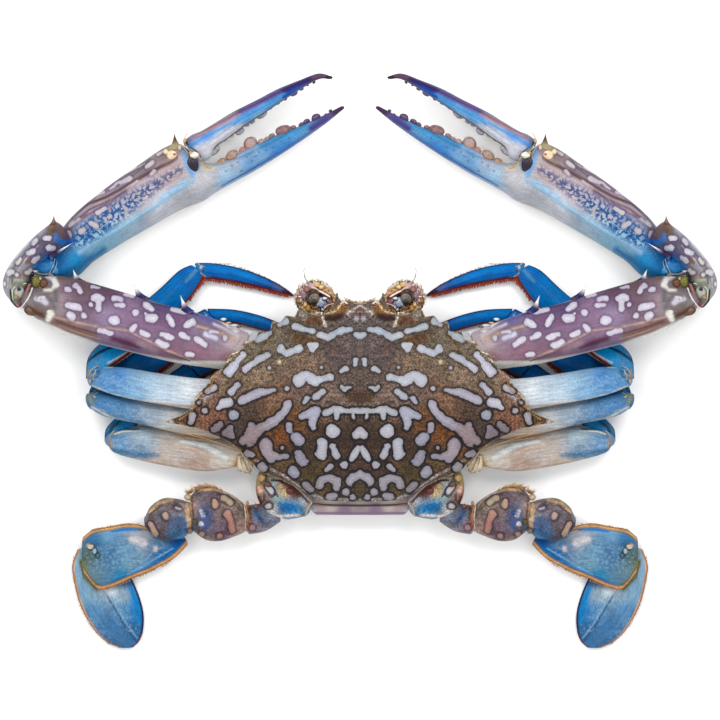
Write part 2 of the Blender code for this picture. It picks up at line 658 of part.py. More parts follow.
def make_claw(side, name):
    base = node("claw_base_" + name, limb_body(CLAW_BASE, side), "belly")
    carve(base, [swollen(belly_body()), swollen(shell_body())])
    merus = node("claw_merus_" + name, limb_body(CLAW_MERUS, side), "claw")
    fuse(merus, spines_on(side, ARM_SPINES, ARM_SPINE_UP))
    carve(merus, [swollen(limb_body(CLAW_BASE, side)), swollen(shell_body())])
    carpus = node("claw_carpus_" + name, limb_body(CLAW_CARPUS, side), "claw")
    fuse(carpus, spines_on(side, WRIST_SPINES, WRIST_SPINE_UP))
    carve(carpus, [swollen(limb_body(CLAW_MERUS, side))])
    hand = node("claw_palm_" + name, limb_body(CLAW_HAND, side), "claw")
    spines = spines_on(side, HAND_SPINES, HAND_SPINE_UP)
    fuse(hand, spines + teeth_along(side, HAND_TOOTH_EDGE, HAND_TOOTH_SIZES))
    carve(hand, [swollen(limb_body(CLAW_CARPUS, side))])
    finger = node("claw_finger_" + name, limb_body(CLAW_FINGER, side), "claw")
    fuse(finger, teeth_along(side, FINGER_TOOTH_EDGE, FINGER_TOOTH_SIZES))
    carve(finger, [swollen(limb_body(CLAW_HAND, side))])


def make_chain(side, name, limbs, colour, start):
    """Limb segments in a row, each cut to meet the one before it."""
    before = start
    for label, limb in limbs:
        obj = node(f"{label}_{name}", limb_body(limb, side), colour)
        carve(obj, [swollen(body) for body in before])
        before = [limb_body(limb, side)]


def make_legs(side, name):
    legs = (
        ("leg2", LEG2_MERUS, LEG2_CARPUS, LEG2_PROPODUS, LEG2_DACTYLUS),
        ("leg3", LEG3_MERUS, LEG3_CARPUS, LEG3_PROPODUS, LEG3_DACTYLUS),
        ("leg4", LEG4_MERUS, LEG4_CARPUS, LEG4_PROPODUS, LEG4_DACTYLUS),
    )
    labels = ("merus", "carpus", "propodus", "dactylus")
    for leg, *limbs in legs:
        chain = [(f"{leg}_{label}", limb) for label, limb in zip(labels, limbs)]
        make_chain(side, name, chain, "leg", [belly_body(), shell_body(), limb_body(CLAW_BASE, side)])
    swim = (
        ("swim_base", SWIM_COXA), ("swim_ischium", SWIM_BASE), ("swim_merus", SWIM_MERUS),
        ("swim_carpus", SWIM_CARPUS), ("swim_propodus", SWIM_PROPODUS), ("swim_paddle", SWIM_PADDLE),
    )
    make_chain(side, name, swim, "paddle", [belly_body(), shell_body(), slab_body(TAIL_BLOCK)])


def make_head(side, name, shell):
    stalk = node("eyestalk_" + name, tube_body(STALK, STALK_HALF, side), "shell")
    carve(stalk, [swollen(copy_of(shell))])
    centre = (side * EYE_CENTRE[0], *EYE_CENTRE[1:])
    eye = node("eye_" + name, knob_body(centre, (EYE_HALF,) * 3, 2), "eye")
    carve(eye, [swollen(tube_body(STALK, STALK_HALF, side))])
    jaw = node("maxilliped_" + name, limb_body(JAW, side), "mouth")
    fuse(jaw, [tube_body(PALP, PALP_HALF, side)])
    carve(jaw, [swollen(belly_body()), swollen(copy_of(shell))])
    feeler = node("antenna_" + name, tube_body(FEELER, FEELER_HALF, side, 6), "mouth")
    carve(feeler, [swollen(copy_of(shell)), swollen(tube_body(STALK, STALK_HALF, side))])
    small = node("antennule_" + name, tube_body(SMALL_FEELER, SMALL_FEELER_HALF, side, 6), "mouth")
    carve(small, [swollen(copy_of(shell))])


def main():
    clear_scene()
    shell = make_shell()
    make_belly()
    make_tail()
    for side, name in SIDE_NAMES:
        make_claw(side, name)
        make_legs(side, name)
        make_head(side, name, shell)


main()
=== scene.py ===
"""Looks of a life-size blue swimming crab: fine shell, markings, joints, fringes of hair, floor and light.

Sizes are in millimetres. A place on the animal is (out, ahead, up), out from the middle plane, ahead towards
the front and up from the floor, as in the part. Both sides are alike, as the photograph shows them. Markings
and tints are placed by the photograph's pixels, on its left half, and each pixel is 0.4 mm. The lamps, the
floor and the camera are placed in metres.
"""

import math
from collections import namedtuple

import bpy
import numpy as np
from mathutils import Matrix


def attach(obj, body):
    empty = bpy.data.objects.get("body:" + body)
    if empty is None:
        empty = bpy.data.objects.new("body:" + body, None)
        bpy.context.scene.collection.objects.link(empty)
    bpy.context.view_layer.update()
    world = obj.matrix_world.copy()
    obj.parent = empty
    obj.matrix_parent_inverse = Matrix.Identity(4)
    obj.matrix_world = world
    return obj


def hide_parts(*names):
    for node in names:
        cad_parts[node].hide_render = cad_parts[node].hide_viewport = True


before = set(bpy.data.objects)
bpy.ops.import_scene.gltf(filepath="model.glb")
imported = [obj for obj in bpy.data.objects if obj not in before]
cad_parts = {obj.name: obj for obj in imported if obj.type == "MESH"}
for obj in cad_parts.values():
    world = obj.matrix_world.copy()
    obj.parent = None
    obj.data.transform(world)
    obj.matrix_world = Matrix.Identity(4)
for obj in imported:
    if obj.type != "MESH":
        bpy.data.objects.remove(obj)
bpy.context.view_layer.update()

MM = 0.001
PX = 0.4  # millimetres that one pixel of the photograph shows
MIDDLE = (360, 361)  # the pixel that shows the frame's origin
GRAIN = 0.45  # distance between the rings of a limb
SEED = 11
FAR = 9.0  # millimetres from the nearest mark or edge, where none is near
NO_EDGE = 99.0  # the same on a surface that has no edges of its own
# Where the rings of a limb's rounded ends are, as shares of its cap
ROUNDING = (0.35, 0.62, 0.82, 0.94, 0.99)
CAP_TIP = 0.01  # how far beyond the last ring an end's middle point is, as a share of the cap
RIDGE_SOFT = 1.2  # pixels over which a ridge rises
TUBE_ENDS = (0.6, 0.8)  # how far a tube's ends stand out, in half widths

# A limb segment: its leading and trailing edges (out, ahead), and at each of their places its height, how
# much higher its leading edge is, and its thickness; then its section, and how far its ends stand out
Limb = namedtuple("Limb", "lead trail rise tilt thick section caps")
# A surface's points, its four- and three-sided faces, how far each point faces up (1) or down (-1), how far
# it is along its piece (0 to 1) and its distance from the piece's leading and trailing edges
Surface = namedtuple("Surface", "points quads tris high along lead trail")


def superellipse(power, over=60, under=30):
    """Points round a section, over the top and back below: (across, up), each from -1 to 1."""
    above = np.linspace(0, np.pi, over, endpoint=False)
    below = np.linspace(np.pi, 2 * np.pi, under, endpoint=False)
    turn = np.concatenate([above, below])
    across = np.sign(np.cos(turn)) * np.abs(np.cos(turn)) ** (2 / power)
    up = np.sign(np.sin(turn)) * np.abs(np.sin(turn)) ** (2 / power)
    return np.stack([across, up], -1)


def between(a, b, c, d, t):
    """The value a share t of the way from b to c, on a smooth curve through four values."""
    return 0.5 * (2 * b + (c - a) * t + (2 * a - 5 * b + 4 * c - d) * t**2 + (3 * b - a - 3 * c + d) * t**3)


def smooth_rows(rows, steps):
    """Rows of numbers with more between them, on one smooth curve through them all."""
    rows = np.asarray(rows, float)
    padded = np.concatenate([rows[:1], rows, rows[-1:]])
    a, b, c, d = (padded[k:len(rows) - 1 + k, None, :] for k in range(4))
    t = (np.arange(steps) / steps)[None, :, None]
    return np.concatenate([between(a, b, c, d, t).reshape(-1, rows.shape[1]), rows[-1:]])


def smooth_ring(points, steps):
    """A closed smooth curve through points."""
    rows = np.asarray(points, float)
    a, b, c, d = (np.roll(rows, shift, axis=0)[:, None, :] for shift in (1, 0, -1, -2))
    t = (np.arange(steps) / steps)[None, :, None]
    return between(a, b, c, d, t).reshape(-1, rows.shape[1])


def unit(vectors):
    return vectors / np.maximum(np.linalg.norm(vectors, axis=-1, keepdims=True), 1e-9)


def square_to(ways):
    """The level direction and the upward one square to each way."""
    across = unit(np.cross(ways, (0, 0, 1)))
    return across, np.cross(across, ways)


def smoothstep(x, low, high):
    t = np.clip((x - low) / (high - low), 0, 1)
    return t * t * (3 - 2 * t)


OVAL = superellipse(2.0)
BLADE = superellipse(1.6)
BLOCK = superellipse(2.7)
# The claw's long arm has a sharp front edge, a nearly flat top and a ridge close to its rear edge
ARM = smooth_ring(
    (
        (1, -0.15), (0.72, 0.38), (0.2, 0.78), (-0.45, 1), (-0.74, 0.92), (-0.97, 0.3), (-0.98, -0.3),
        (-0.7, -0.85), (0.05, -1), (0.75, -0.72),
    ),
    14,
)
# The hand has two ridges along its upper face
HAND = smooth_ring(
    (
        (1, 0), (0.9, 0.5), (0.55, 0.92), (-0.36, 1), (-0.78, 0.6), (-1, 0), (-0.82, -0.62), (-0.35, -0.98),
        (0.35, -1), (0.82, -0.7),
    ),
    12,
)

# Claw
CLAW_BASE = Limb(
    lead=((27, 8), (35, 11), (43, 11.5)),
    trail=((32, -6), (40, -6), (49, -4.5)),
    rise=(9.5, 10.5, 11.5), tilt=(0, 0, 0), thick=(8, 9.5, 9.5), section=OVAL, caps=(1, 1.5),
)
CLAW_MERUS = Limb(
    lead=((44.5, 11.2), (52.8, 14.8), (66.4, 19.6), (79.2, 22.8), (97.6, 28.4), (117.2, 33.6), (129.2, 33.8)),
    trail=((50.4, -4), (59.2, -2.8), (70.8, -1.2), (83.2, 1.6), (104, 6.8), (120, 11.2), (134.4, 20.8)),
    rise=(12, 13.2, 15.6, 17.5, 18.5, 18, 15.5), tilt=(0, 0, 0, 0, 0, 0, 0),
    thick=(10.5, 12, 15, 17.5, 19.5, 19.5, 15), section=ARM, caps=(1, 2),
)
CLAW_CARPUS = Limb(
    lead=((138.8, 23), (142.1, 27.4), (142.7, 32.4), (140, 38.5), (134, 46), (127.2, 52.4), (122.4, 55.6)),
    trail=(
        (133.4, 25.4), (131.6, 30), (130.4, 34.8), (127.2, 39.6), (121.6, 42.8), (118.4, 44.8),
        (116, 47.2),
    ),
    rise=(12.5, 13, 13.6, 14, 14, 13.6, 13), tilt=(0,) * 7,
    thick=(11, 16, 21, 24, 24, 22, 18), section=OVAL, caps=(1.5, 1.5),
)
CLAW_HAND = Limb(
    lead=(
        (126.4, 42), (120, 51.8), (113.2, 59.8), (101.0, 69.8), (88.8, 78.4), (78, 85.6), (71.6, 86.6),
        (62, 79.4), (50, 81.6), (39.2, 86.6), (28, 92.4), (16.8, 97.4), (8, 101.8),
    ),
    trail=(
        (119.2, 31.6), (112.4, 34.4), (106.4, 40.0), (96.2, 46.5), (83.4, 54.0), (72.4, 60.1), (62.6, 64.1),
        (57.6, 67.6), (45.2, 74.4), (35.2, 80.4), (24.8, 87.2), (14, 94.8), (6.8, 100.6),
    ),
    rise=(8, 8.6, 9, 9.1, 9.1, 8.8, 8.2, 8, 8, 8, 8, 8.4, 9), tilt=(0,) * 13,
    thick=(12, 16, 18, 18.8, 18.8, 18, 16.2, 13, 10, 9, 8, 5.5, 2), section=HAND, caps=(1.5, 1.2),
)
CLAW_FINGER = Limb(
    lead=(
        (70, 88.6), (67.2, 90.6), (63.3, 92.2), (56.8, 96.1), (50.4, 100), (41.6, 104.4),
        (33, 108.9), (24.4, 112.4), (16.8, 115.1), (12, 114.2),
    ),
    trail=(
        (64.6, 79.6), (60.4, 81), (57.6, 85.6), (52.8, 89), (46, 94), (37.6, 99.6),
        (29.2, 105.2), (22, 109.8), (16.2, 112.8), (12.6, 112.8),
    ),
    rise=(9, 9.4, 9.5, 9.5, 9.5, 9.5, 9.5, 9.5, 9.4, 9.2), tilt=(0,) * 10,
    thick=(9, 12, 11.5, 10.5, 9.5, 8.5, 7.4, 6, 4, 2), section=OVAL, caps=(0.8, 1.4),
)
ARM_SPINES = (((113.4, 31.6), (114.6, 36.6)), ((88, 24.8), (90.9, 31.6)), ((70, 19.8), (71.8, 26.4)))
ARM_SPINE_UP = (16.5, 18.5)
HAND_SPINES = (((74.9, 84.6), (74.2, 91)),)
HAND_SPINE_UP = (13, 14.5)
SPINE_HALF = 1.7

# Walking legs: the thighs lie like louvres, each one's rear edge over the front edge of the next
LEG2_MERUS = Limb(
    lead=((39.2, -3.6), (51.2, -6), (62, -7.2), (79.2, -5.2), (96, -2.6), (107.6, -2.8)),
    trail=((40.8, -12.4), (52.8, -16.4), (64, -19.2), (82, -16.8), (97.6, -13.6), (107.6, -10)),
    rise=(8.5, 11.5, 14, 15, 15, 13.5), tilt=(-1, -3, -4.5, -5, -5, -3),
    thick=(8, 7.2, 6.8, 6.8, 6.8, 5.5), section=OVAL, caps=(1, 1.6),
)
LEG2_CARPUS = Limb(
    lead=((109.6, -6.8), (109.2, 0), (106.8, 4.4), (102.8, 7.6)),
    trail=((101.6, -3.2), (98, -1.2), (94, 1.6), (90.4, 4.4)),
    rise=(12.6, 11.2, 9, 6.6), tilt=(0, 0, 0, 0), thick=(5.5, 7.2, 6.6, 5.8),
    section=OVAL, caps=(1, 1.2),
)
LEG2_PROPODUS = Limb(
    lead=((101.8, 8.8), (92, 18.8), (80, 29.2), (72.8, 36), (68, 38.4)),
    trail=((89.8, 4.9), (80.8, 13.2), (69.6, 23.6), (64.8, 30), (62.8, 33.8)),
    rise=(5.6, 3.8, 3.5, 3.5, 3.4), tilt=(0, 0, 0, 0, 0), thick=(5.6, 5.2, 5, 4.6, 4.2),
    section=BLADE, caps=(1, 0.8),
)
LEG2_DACTYLUS = Limb(
    lead=((66, 39.2), (58.8, 39.2), (48, 37.2), (37.2, 33.2), (30, 29.2), (26.4, 26.4)),
    trail=((62.6, 33), (57.2, 32.6), (48.8, 31.2), (39.2, 29), (31.6, 27), (26.9, 25.8)),
    rise=(3.2, 3, 2.6, 2.2, 1.6, 1), tilt=(0,) * 6, thick=(4, 4.2, 3.8, 3.2, 2.2, 1.2),
    section=BLADE, caps=(0.8, 0.8),
)
LEG3_MERUS = Limb(
    lead=((37.2, -12.4), (52.8, -16.8), (68.4, -16.4), (88, -14), (101.6, -12), (108.8, -13.2)),
    trail=((39.4, -21.6), (55.2, -30.8), (70.4, -29.2), (88.8, -24.8), (101.6, -22.2), (108, -18.8)),
    rise=(7.5, 9, 10.4, 11.2, 11.2, 10), tilt=(-1, -4, -5, -5, -5, -3),
    thick=(7.5, 6.8, 6.4, 6.4, 6.2, 5), section=OVAL, caps=(1, 1.4),
)
LEG3_CARPUS = Limb(
    lead=((109.2, -16.4), (108, -10.8), (104.4, -6)),
    trail=((101.6, -15.6), (98, -14.8), (94.4, -12.6)),
    rise=(7.6, 6, 4.6), tilt=(0, 0, 0), thick=(5, 5.8, 5.8), section=OVAL, caps=(1, 1),
)
LEG3_PROPODUS = Limb(
    lead=((102.6, -4.2), (88, 4.8), (72, 15.6), (62.4, 20.8)),
    trail=((93.4, -12), (80.4, -4), (64.8, 7.2), (57.6, 14.8)),
    rise=(4, 3.3, 3, 2.9), tilt=(0, 0, 0, 0), thick=(5.4, 5, 4.6, 4.2), section=BLADE, caps=(1, 0.8),
)
LEG3_DACTYLUS = Limb(
    lead=((61, 21), (50.8, 20.6), (42, 18.8), (34, 16), (26, 12), (22.2, 9.4)),
    trail=((56.8, 15), (51.2, 15.2), (44, 13.6), (36.8, 11.6), (28, 9.8), (22.8, 8.6)),
    rise=(2.9, 2.7, 2.5, 2.2, 1.6, 1), tilt=(0,) * 6, thick=(4, 4, 3.6, 3, 2, 1.2),
    section=BLADE, caps=(0.8, 0.8),
)
LEG4_MERUS = Limb(
    lead=((39.2, -26.8), (48, -30.8), (60.8, -30), (74.8, -26.8), (88.4, -26), (98, -27.6), (101.6, -30.4)),
    trail=(
        (42.4, -36.4), (46.8, -41.2), (60.8, -44), (74.8, -42.4), (88.4, -39.6), (98, -36.8),
        (100.8, -34),
    ),
    rise=(7, 7.6, 7.8, 7.8, 7.6, 7.2, 6.8), tilt=(0, -2, -4.5, -4.5, -4.5, -3, -1),
    thick=(7.5, 7, 6.8, 6.6, 6.4, 5.8, 4.4), section=OVAL, caps=(1, 1),
)
LEG4_CARPUS = Limb(
    lead=((102.4, -32), (101.8, -27.2), (98.4, -23.2)),
    trail=((94, -28.8), (90.4, -26.8), (87.6, -23.6)),
    rise=(5.6, 4.8, 4), tilt=(0, 0, 0), thick=(4.4, 5.4, 5.4), section=OVAL, caps=(1, 1),
)
LEG4_PROPODUS = Limb(
    lead=((96.4, -21.4), (84, -10.8), (70.4, -1.2)),
    trail=((87, -23), (76, -16.4), (64, -7.6)),
    rise=(3.5, 2.9, 2.7), tilt=(0, 0, 0), thick=(5, 4.6, 4), section=BLADE, caps=(1, 0.8),
)
LEG4_DACTYLUS = Limb(
    lead=((68.8, 0), (60, 3.6), (51.2, 6), (42.4, 6.4)),
    trail=((63.2, -6.8), (56.8, -3.2), (49.6, 1.2), (42.2, 5.4)),
    rise=(2.7, 2.5, 2, 1), tilt=(0, 0, 0, 0), thick=(4, 3.8, 2.8, 1.2),
    section=BLADE, caps=(0.8, 0.8),
)

# Swimming leg
SWIM_COXA = Limb(
    lead=((38.4, -40.4), (41.2, -46.4), (41.6, -52.4), (39.2, -58.4)),
    trail=((19.2, -45.6), (18.8, -55.6), (20.8, -61.2), (27.2, -62.8)),
    rise=(10.5, 11, 10.5, 9.5), tilt=(0, 0, 0, 0), thick=(11, 13, 12.5, 9), section=BLOCK, caps=(1, 1.2),
)
SWIM_BASE = Limb(
    lead=((35.6, -56.6), (41.6, -57.2), (46.8, -58.2)),
    trail=((32, -64.4), (37.6, -68), (44, -69.4)),
    rise=(9, 9, 9), tilt=(0, 0, 0), thick=(8, 10.5, 11), section=OVAL, caps=(1, 1.5),
)
SWIM_MERUS = Limb(
    lead=((46.8, -56.8), (51.2, -53.6), (58, -50.8), (64, -51), (67.2, -53.2)),
    trail=((46, -68.4), (49.6, -70), (55.6, -72), (61.6, -71.6), (66.8, -68)),
    rise=(9, 9.2, 9.2, 9, 8.8), tilt=(0,) * 5, thick=(9, 12.5, 14.5, 14.5, 11),
    section=OVAL, caps=(1.2, 1.2),
)
SWIM_CARPUS = Limb(
    lead=((67.6, -56.8), (72.8, -55.2), (78.8, -55), (83.6, -58), (85.8, -62)),
    trail=((67.6, -68), (71.2, -71), (76, -71.6), (81.2, -70.8), (85.2, -67.2)),
    rise=(8.8, 8.8, 8.8, 8.4, 8), tilt=(0,) * 5, thick=(9, 12.6, 13, 11, 6.5),
    section=OVAL, caps=(1.2, 0.8),
)
SWIM_PROPODUS = Limb(
    lead=(
        (71.2, -70), (78, -68.6), (84.8, -66.4), (92.8, -65), (100.8, -66.4), (106.8, -67.4),
        (110.8, -70.4),
    ),
    trail=(
        (69.2, -73.6), (74.8, -79.2), (84, -84.2), (91.6, -87.2), (99.6, -90.6), (105.2, -91.2),
        (110.4, -85.2),
    ),
    rise=(5.4,) * 7, tilt=(0,) * 7, thick=(2, 3, 3.6, 3.8, 3.6, 3.2, 2.2),
    section=BLADE, caps=(0.6, 1),
)
SWIM_PADDLE = Limb(
    lead=(
        (113.4, -76), (115.4, -82), (114.8, -87.6), (113.2, -94.8), (110.4, -101.6), (106.4, -108),
        (102, -112.4), (97.2, -114.8),
    ),
    trail=(
        (106, -74.4), (96.8, -79.6), (92, -86.4), (88.4, -94.8), (86.8, -101.6), (87, -108),
        (88.4, -112.2), (90.8, -114.6),
    ),
    rise=(2.5, 1.9, 1.6, 1.6, 1.6, 1.6, 1.5, 1.4), tilt=(0,) * 8,
    thick=(3.6, 3.4, 3.2, 3.2, 3.2, 3, 2.6, 1.8),
    section=BLADE, caps=(0.8, 0.5),
)

# Head
EYE_CENTRE = (18.2, 24.6, 25.4)
EYE_HALF = 2.4
STALK = ((10.6, 20.6, 24.2), (13.4, 22.2, 24.8), (16.4, 23.7, 25.2))
STALK_HALF = (1.5, 1.6, 2.1)
PALP = (
    (6.5, 18.2, 18.6), (9.8, 23, 19.6), (13.2, 27.4, 20.2), (17.6, 29.4, 20.4), (22, 28, 20),
    (24.8, 24.2, 19),
)
PALP_HALF = (1.8, 2.0, 2.0, 2.1, 1.9, 1)
JAW = Limb(
    lead=((0.5, 5.5), (0.5, 10), (0.5, 15), (0.5, 19.5)),
    trail=((7, 6.5), (10.5, 10.5), (11.5, 15), (8.5, 19)),
    rise=(7.6, 12, 17, 20.4), tilt=(0,) * 4, thick=(3, 4, 4, 3), section=BLOCK, caps=(0.8, 0.8),
)
FEELER = (
    (7.6, 17.4, 22.9), (11.6, 25, 23.8), (15.6, 27.4, 24.4), (20, 31, 25), (21.9, 33, 25.5),
    (22.4, 35.4, 26),
)
FEELER_HALF = (1.3, 0.9, 0.55, 0.32, 0.2, 0.1)
SMALL_FEELER = ((3.6, 18.6, 24.6), (3.8, 21.8, 23.4), (4.8, 24.2, 23.4), (6.2, 25.2, 24))
SMALL_FEELER_HALF = (1.1, 0.9, 0.5, 0.15)

# Abdomen: the first rings close the rear, and a narrow tongue is folded under the belly
TAIL_BLOCK = ((-46, 18, 9.5, 9), (-54, 20, 10, 11), (-59.5, 19.4, 9.6, 10.4), (-61.6, 17.5, 8.6, 6.5))
TAIL_TONGUE = (
    (-60.4, 13.5, 3, 4.5), (-56, 14, 1.4, 2.8), (-46, 12, 1.2, 2.4), (-36, 8, 1.2, 2.4), (-26, 5, 1.2, 2.2),
    (-18, 2, 1, 1.6),
)

# Carapace: half its smooth margin, then its outline with the teeth, each from the middle of the front
MARGIN = (
    (0, 22.5), (6, 22.8), (11, 22.6), (17, 21.6), (23, 20), (30, 16.5), (37, 11.8), (43, 7), (48.5, 2),
    (54.5, -4), (60, -11), (65, -18), (68, -22.5), (67, -26.5), (60, -29.3), (52, -32.5), (46, -36),
    (43, -41), (39.5, -44.3), (32, -47), (26.5, -50), (21, -53), (16, -55.6), (8, -56.2), (0, -56.4),
)
OUTLINE = (
    (0, 23.2), (2.3, 22.8), (4.2, 24.9), (6.4, 22.8), (7.4, 23.4), (9.3, 27.1), (10.6, 23), (12, 20),
    (14.6, 18.6), (18, 18.4), (20.8, 19.4), (22.4, 20.6), (24, 22.2), (26, 17.6), (29.6, 18.2),
    (31.8, 15.3), (35, 15.9), (35.9, 11.8), (40.3, 11.8), (41.9, 8.4), (46.2, 8), (47.6, 4.6), (51.8, 2.9),
    (54.6, -2.8), (58.9, -5.6), (61, -9.3), (65.6, -14.4), (66.8, -18.6), (71.5, -21.6), (77.9, -24.3),
    (71.5, -25.5), (62.8, -27.3), (52.3, -32.3), (46.8, -36.6), (43, -41), (39.5, -44.3), (32, -47.2),
    (26.5, -50), (21, -53), (16, -55.4), (8, -56.1), (0, -56.3),
)
SHELL_CENTRE = -14  # ahead of the highest point
SHELL_TOP = 41
SHELL_BULGE = 2.3
MARGIN_FRONT_UP = 26.5
MARGIN_REAR_UP = 19
EDGE_THICK = 1.1  # half the thickness of the teeth
EDGE_WIDE = 2.4  # how far in from the edge the teeth reach that thickness
TEETH_FROM = 0.7  # share of the way out where the outline starts to take the teeth's shape
SEAT_UP = 14.3
# Swellings of the shell: out, ahead, reach out, reach ahead, height
SWELLINGS = (
    (9, 4, 11, 8, 0.5), (0, -6, 9, 9, 0.4), (0, -34, 8, 9, 0.6), (34, -20, 17, 12, 0.6),
    (19, -38, 9, 9, 0.4), (40, -4, 9, 7, 0.3),
)
# Grooves between them: the path, half its width and its depth
GROOVES = (
    (((0, -14), (8, -12), (17, -6), (27, 1), (37, 6)), 1.6, 0.7),
    (((8, -12), (11, -24), (10, -38), (12, -50)), 1.8, 0.55), (((0, 14), (5, 17), (8, 22)), 1.2, 0.35),
    (((17, -6), (30, -12), (45, -13)), 1.4, 0.25),
)
HORN_RIDGE = ((75, -24.2), (60, -24), (46, -20.5))
HORN_RIDGE_UP = 0.5
HORN_RIDGE_HALF = 0.9
RELIEF_ROOM = 0.5  # how far the smooth dome stays under the shell's top, for the swellings
SHELL_STEP = 0.45  # between points along the outline
# Where the rings of the shell's upper side are, as shares of the way out, and of its underside, of the way in
TOP_SHARES = np.concatenate([
    np.linspace(0.02, 0.86, 58), np.linspace(0.87, 0.97, 12), (0.98, 0.988, 0.994, 0.998, 1),
])
UNDER_SHARES = np.concatenate([(0.01, 0.03, 0.06, 0.1), np.linspace(0.15, 1, 22)])[:, None]
EDGE_FROM = 0.8  # share of the way out beyond which points can be near the edge
UNDER_CURVE = 1.9
SEAT_SCALE = 1.02  # the underside ends at the belly's outline, this much larger

BELLY_CENTRE = -20.5
BELLY_HALF = (41, 29.5)
BELLY_SQUARENESS = 2.6
BELLY_RINGS = ((0, 0.7), (2.5, 0.84), (8, 0.96), (14.6, 1.0))
BELLY_SIDES = 320
# The grooves between the belly's plates, each on the line from the belly's middle to a leg's root
LEG_ROOTS = (8, -6, -17, -28, -40)
GROOVE_PLACE = 0.75  # share of the way
PLATE_GROOVE = 0.7
PLATE_GROOVE_HALF = 0.8
PLATE_GROOVE_OUT = (13, 17)  # where the grooves start and where they are full
PLATE_GROOVE_TOP = 9  # the height where they end
TAIL_BED_HALF = 13.5  # the hollow in the belly that the tongue of the abdomen lies in
TAIL_BED_UP = 2.6
TAIL_BED_BACK = (14, 17)  # behind the middle, where the hollow starts and where it is full
TAIL_BED_TOP = 2  # it is only in the lowest part
BELLY_LEVEL = (0.05, 0.68, 30)  # the level middle: where its rings start and end, as shares, and their count


# Surfaces
def grid_faces(rings, sides):
    """Quads between rings of points that are closed round."""
    ring = np.arange(rings - 1)[:, None] * sides
    k = np.arange(sides)[None, :]
    nxt = (k + 1) % sides
    return np.stack([ring + k, ring + nxt, ring + sides + nxt, ring + sides + k], -1).reshape(-1, 4)


def faced_out(surface):
    """The same surface with its faces pointing out."""
    p = surface.points
    q = surface.quads
    volume = 0.0
    for a, b, c in ((0, 1, 2), (0, 2, 3)):
        volume += np.einsum("ij,ij->i", p[q[:, a]], np.cross(p[q[:, b]], p[q[:, c]])).sum()
    if volume < 0:
        return surface._replace(quads=q[:, ::-1], tris=surface.tris[:, ::-1])
    return surface


def rings_surface(rings, start, end, high=None, lead=None, trail=None):
    """A closed surface through rings (rings x sides x 3), with one point beyond each end."""
    count, sides = rings.shape[:2]
    points = np.concatenate([rings.reshape(-1, 3), [start], [end]])
    first, final = len(points) - 2, len(points) - 1
    k = np.arange(sides)
    nxt = (k + 1) % sides
    last = (count - 1) * sides
    caps = [
        np.stack([np.full(sides, first), nxt, k], -1),
        np.stack([np.full(sides, final), last + k, last + nxt], -1),
    ]
    far = np.full(count * sides, NO_EDGE)
    high = np.zeros(count * sides) if high is None else high.ravel()
    along = np.repeat(np.linspace(0, 1, count), sides)
    lead = far if lead is None else lead.ravel()
    trail = far if trail is None else trail.ravel()
    ends = [[high[:sides].mean(), high[-sides:].mean()], [0, 1], [FAR, FAR], [FAR, FAR]]
    values = [np.concatenate([value, pair_of]) for value, pair_of in zip((high, along, lead, trail), ends)]
    return faced_out(Surface(points, grid_faces(count, sides), np.concatenate(caps), *values))


def joined(surfaces):
    """Several surfaces as one."""
    starts = np.cumsum([0] + [len(s.points) for s in surfaces[:-1]])
    points = np.concatenate([s.points for s in surfaces])
    quads = np.concatenate([s.quads + n for s, n in zip(surfaces, starts)])
    tris = np.concatenate([s.tris + n for s, n in zip(surfaces, starts)])
    names = ("high", "along", "lead", "trail")
    values = [np.concatenate([getattr(s, name) for s in surfaces]) for name in names]
    return Surface(points, quads, tris, *values)


def mirrored(surface):
    return surface._replace(
        points=surface.points * (-1, 1, 1), quads=surface.quads[:, ::-1], tris=surface.tris[:, ::-1]
    )


def limb_rows(limb, steps):
    """Centre, half width and upward direction at each ring of a limb, with half its thickness."""
    stations = [
        (*lead, *trail, rise, tilt, thick)
        for lead, trail, rise, tilt, thick in zip(limb.lead, limb.trail, limb.rise, limb.tilt, limb.thick)
    ]
    rows = smooth_rows(stations, steps)
    fronts = np.stack([rows[:, 0], rows[:, 1], rows[:, 4] + rows[:, 5] / 2], -1)
    rears = np.stack([rows[:, 2], rows[:, 3], rows[:, 4] - rows[:, 5] / 2], -1)
    centres = (fronts + rears) / 2
    halves = (fronts - rears) / 2
    along = unit(np.gradient(centres, axis=0))
    ups = unit(np.cross(along, halves))
    ups[ups[:, 2] < 0] *= -1
    return centres, halves, ups, rows[:, 6] / 2


def rounded_ends(limb, centres, halves, ups, highs):
    """A limb's rings with more at each end, smaller and closer as it rounds off, and both end points."""
    rounding = np.array(ROUNDING)
    count = len(rounding)
    shrink = np.sqrt(1 - rounding**2)
    start_way = unit(centres[0] - centres[1]) * limb.caps[0]
    end_way = unit(centres[-1] - centres[-2]) * limb.caps[1]
    head, tail = rounding[::-1, None], rounding[:, None]
    centres = np.concatenate([centres[0] + start_way * head, centres, centres[-1] + end_way * tail])
    halves = np.concatenate([halves[0] * shrink[::-1, None], halves, halves[-1] * shrink[:, None]])
    highs = np.concatenate([highs[0] * shrink[::-1], highs, highs[-1] * shrink])
    ups = np.concatenate([np.repeat(ups[:1], count, 0), ups, np.repeat(ups[-1:], count, 0)])
    ends = (centres[0] + start_way * CAP_TIP, centres[-1] + end_way * CAP_TIP)
    return centres, halves, ups, highs, ends


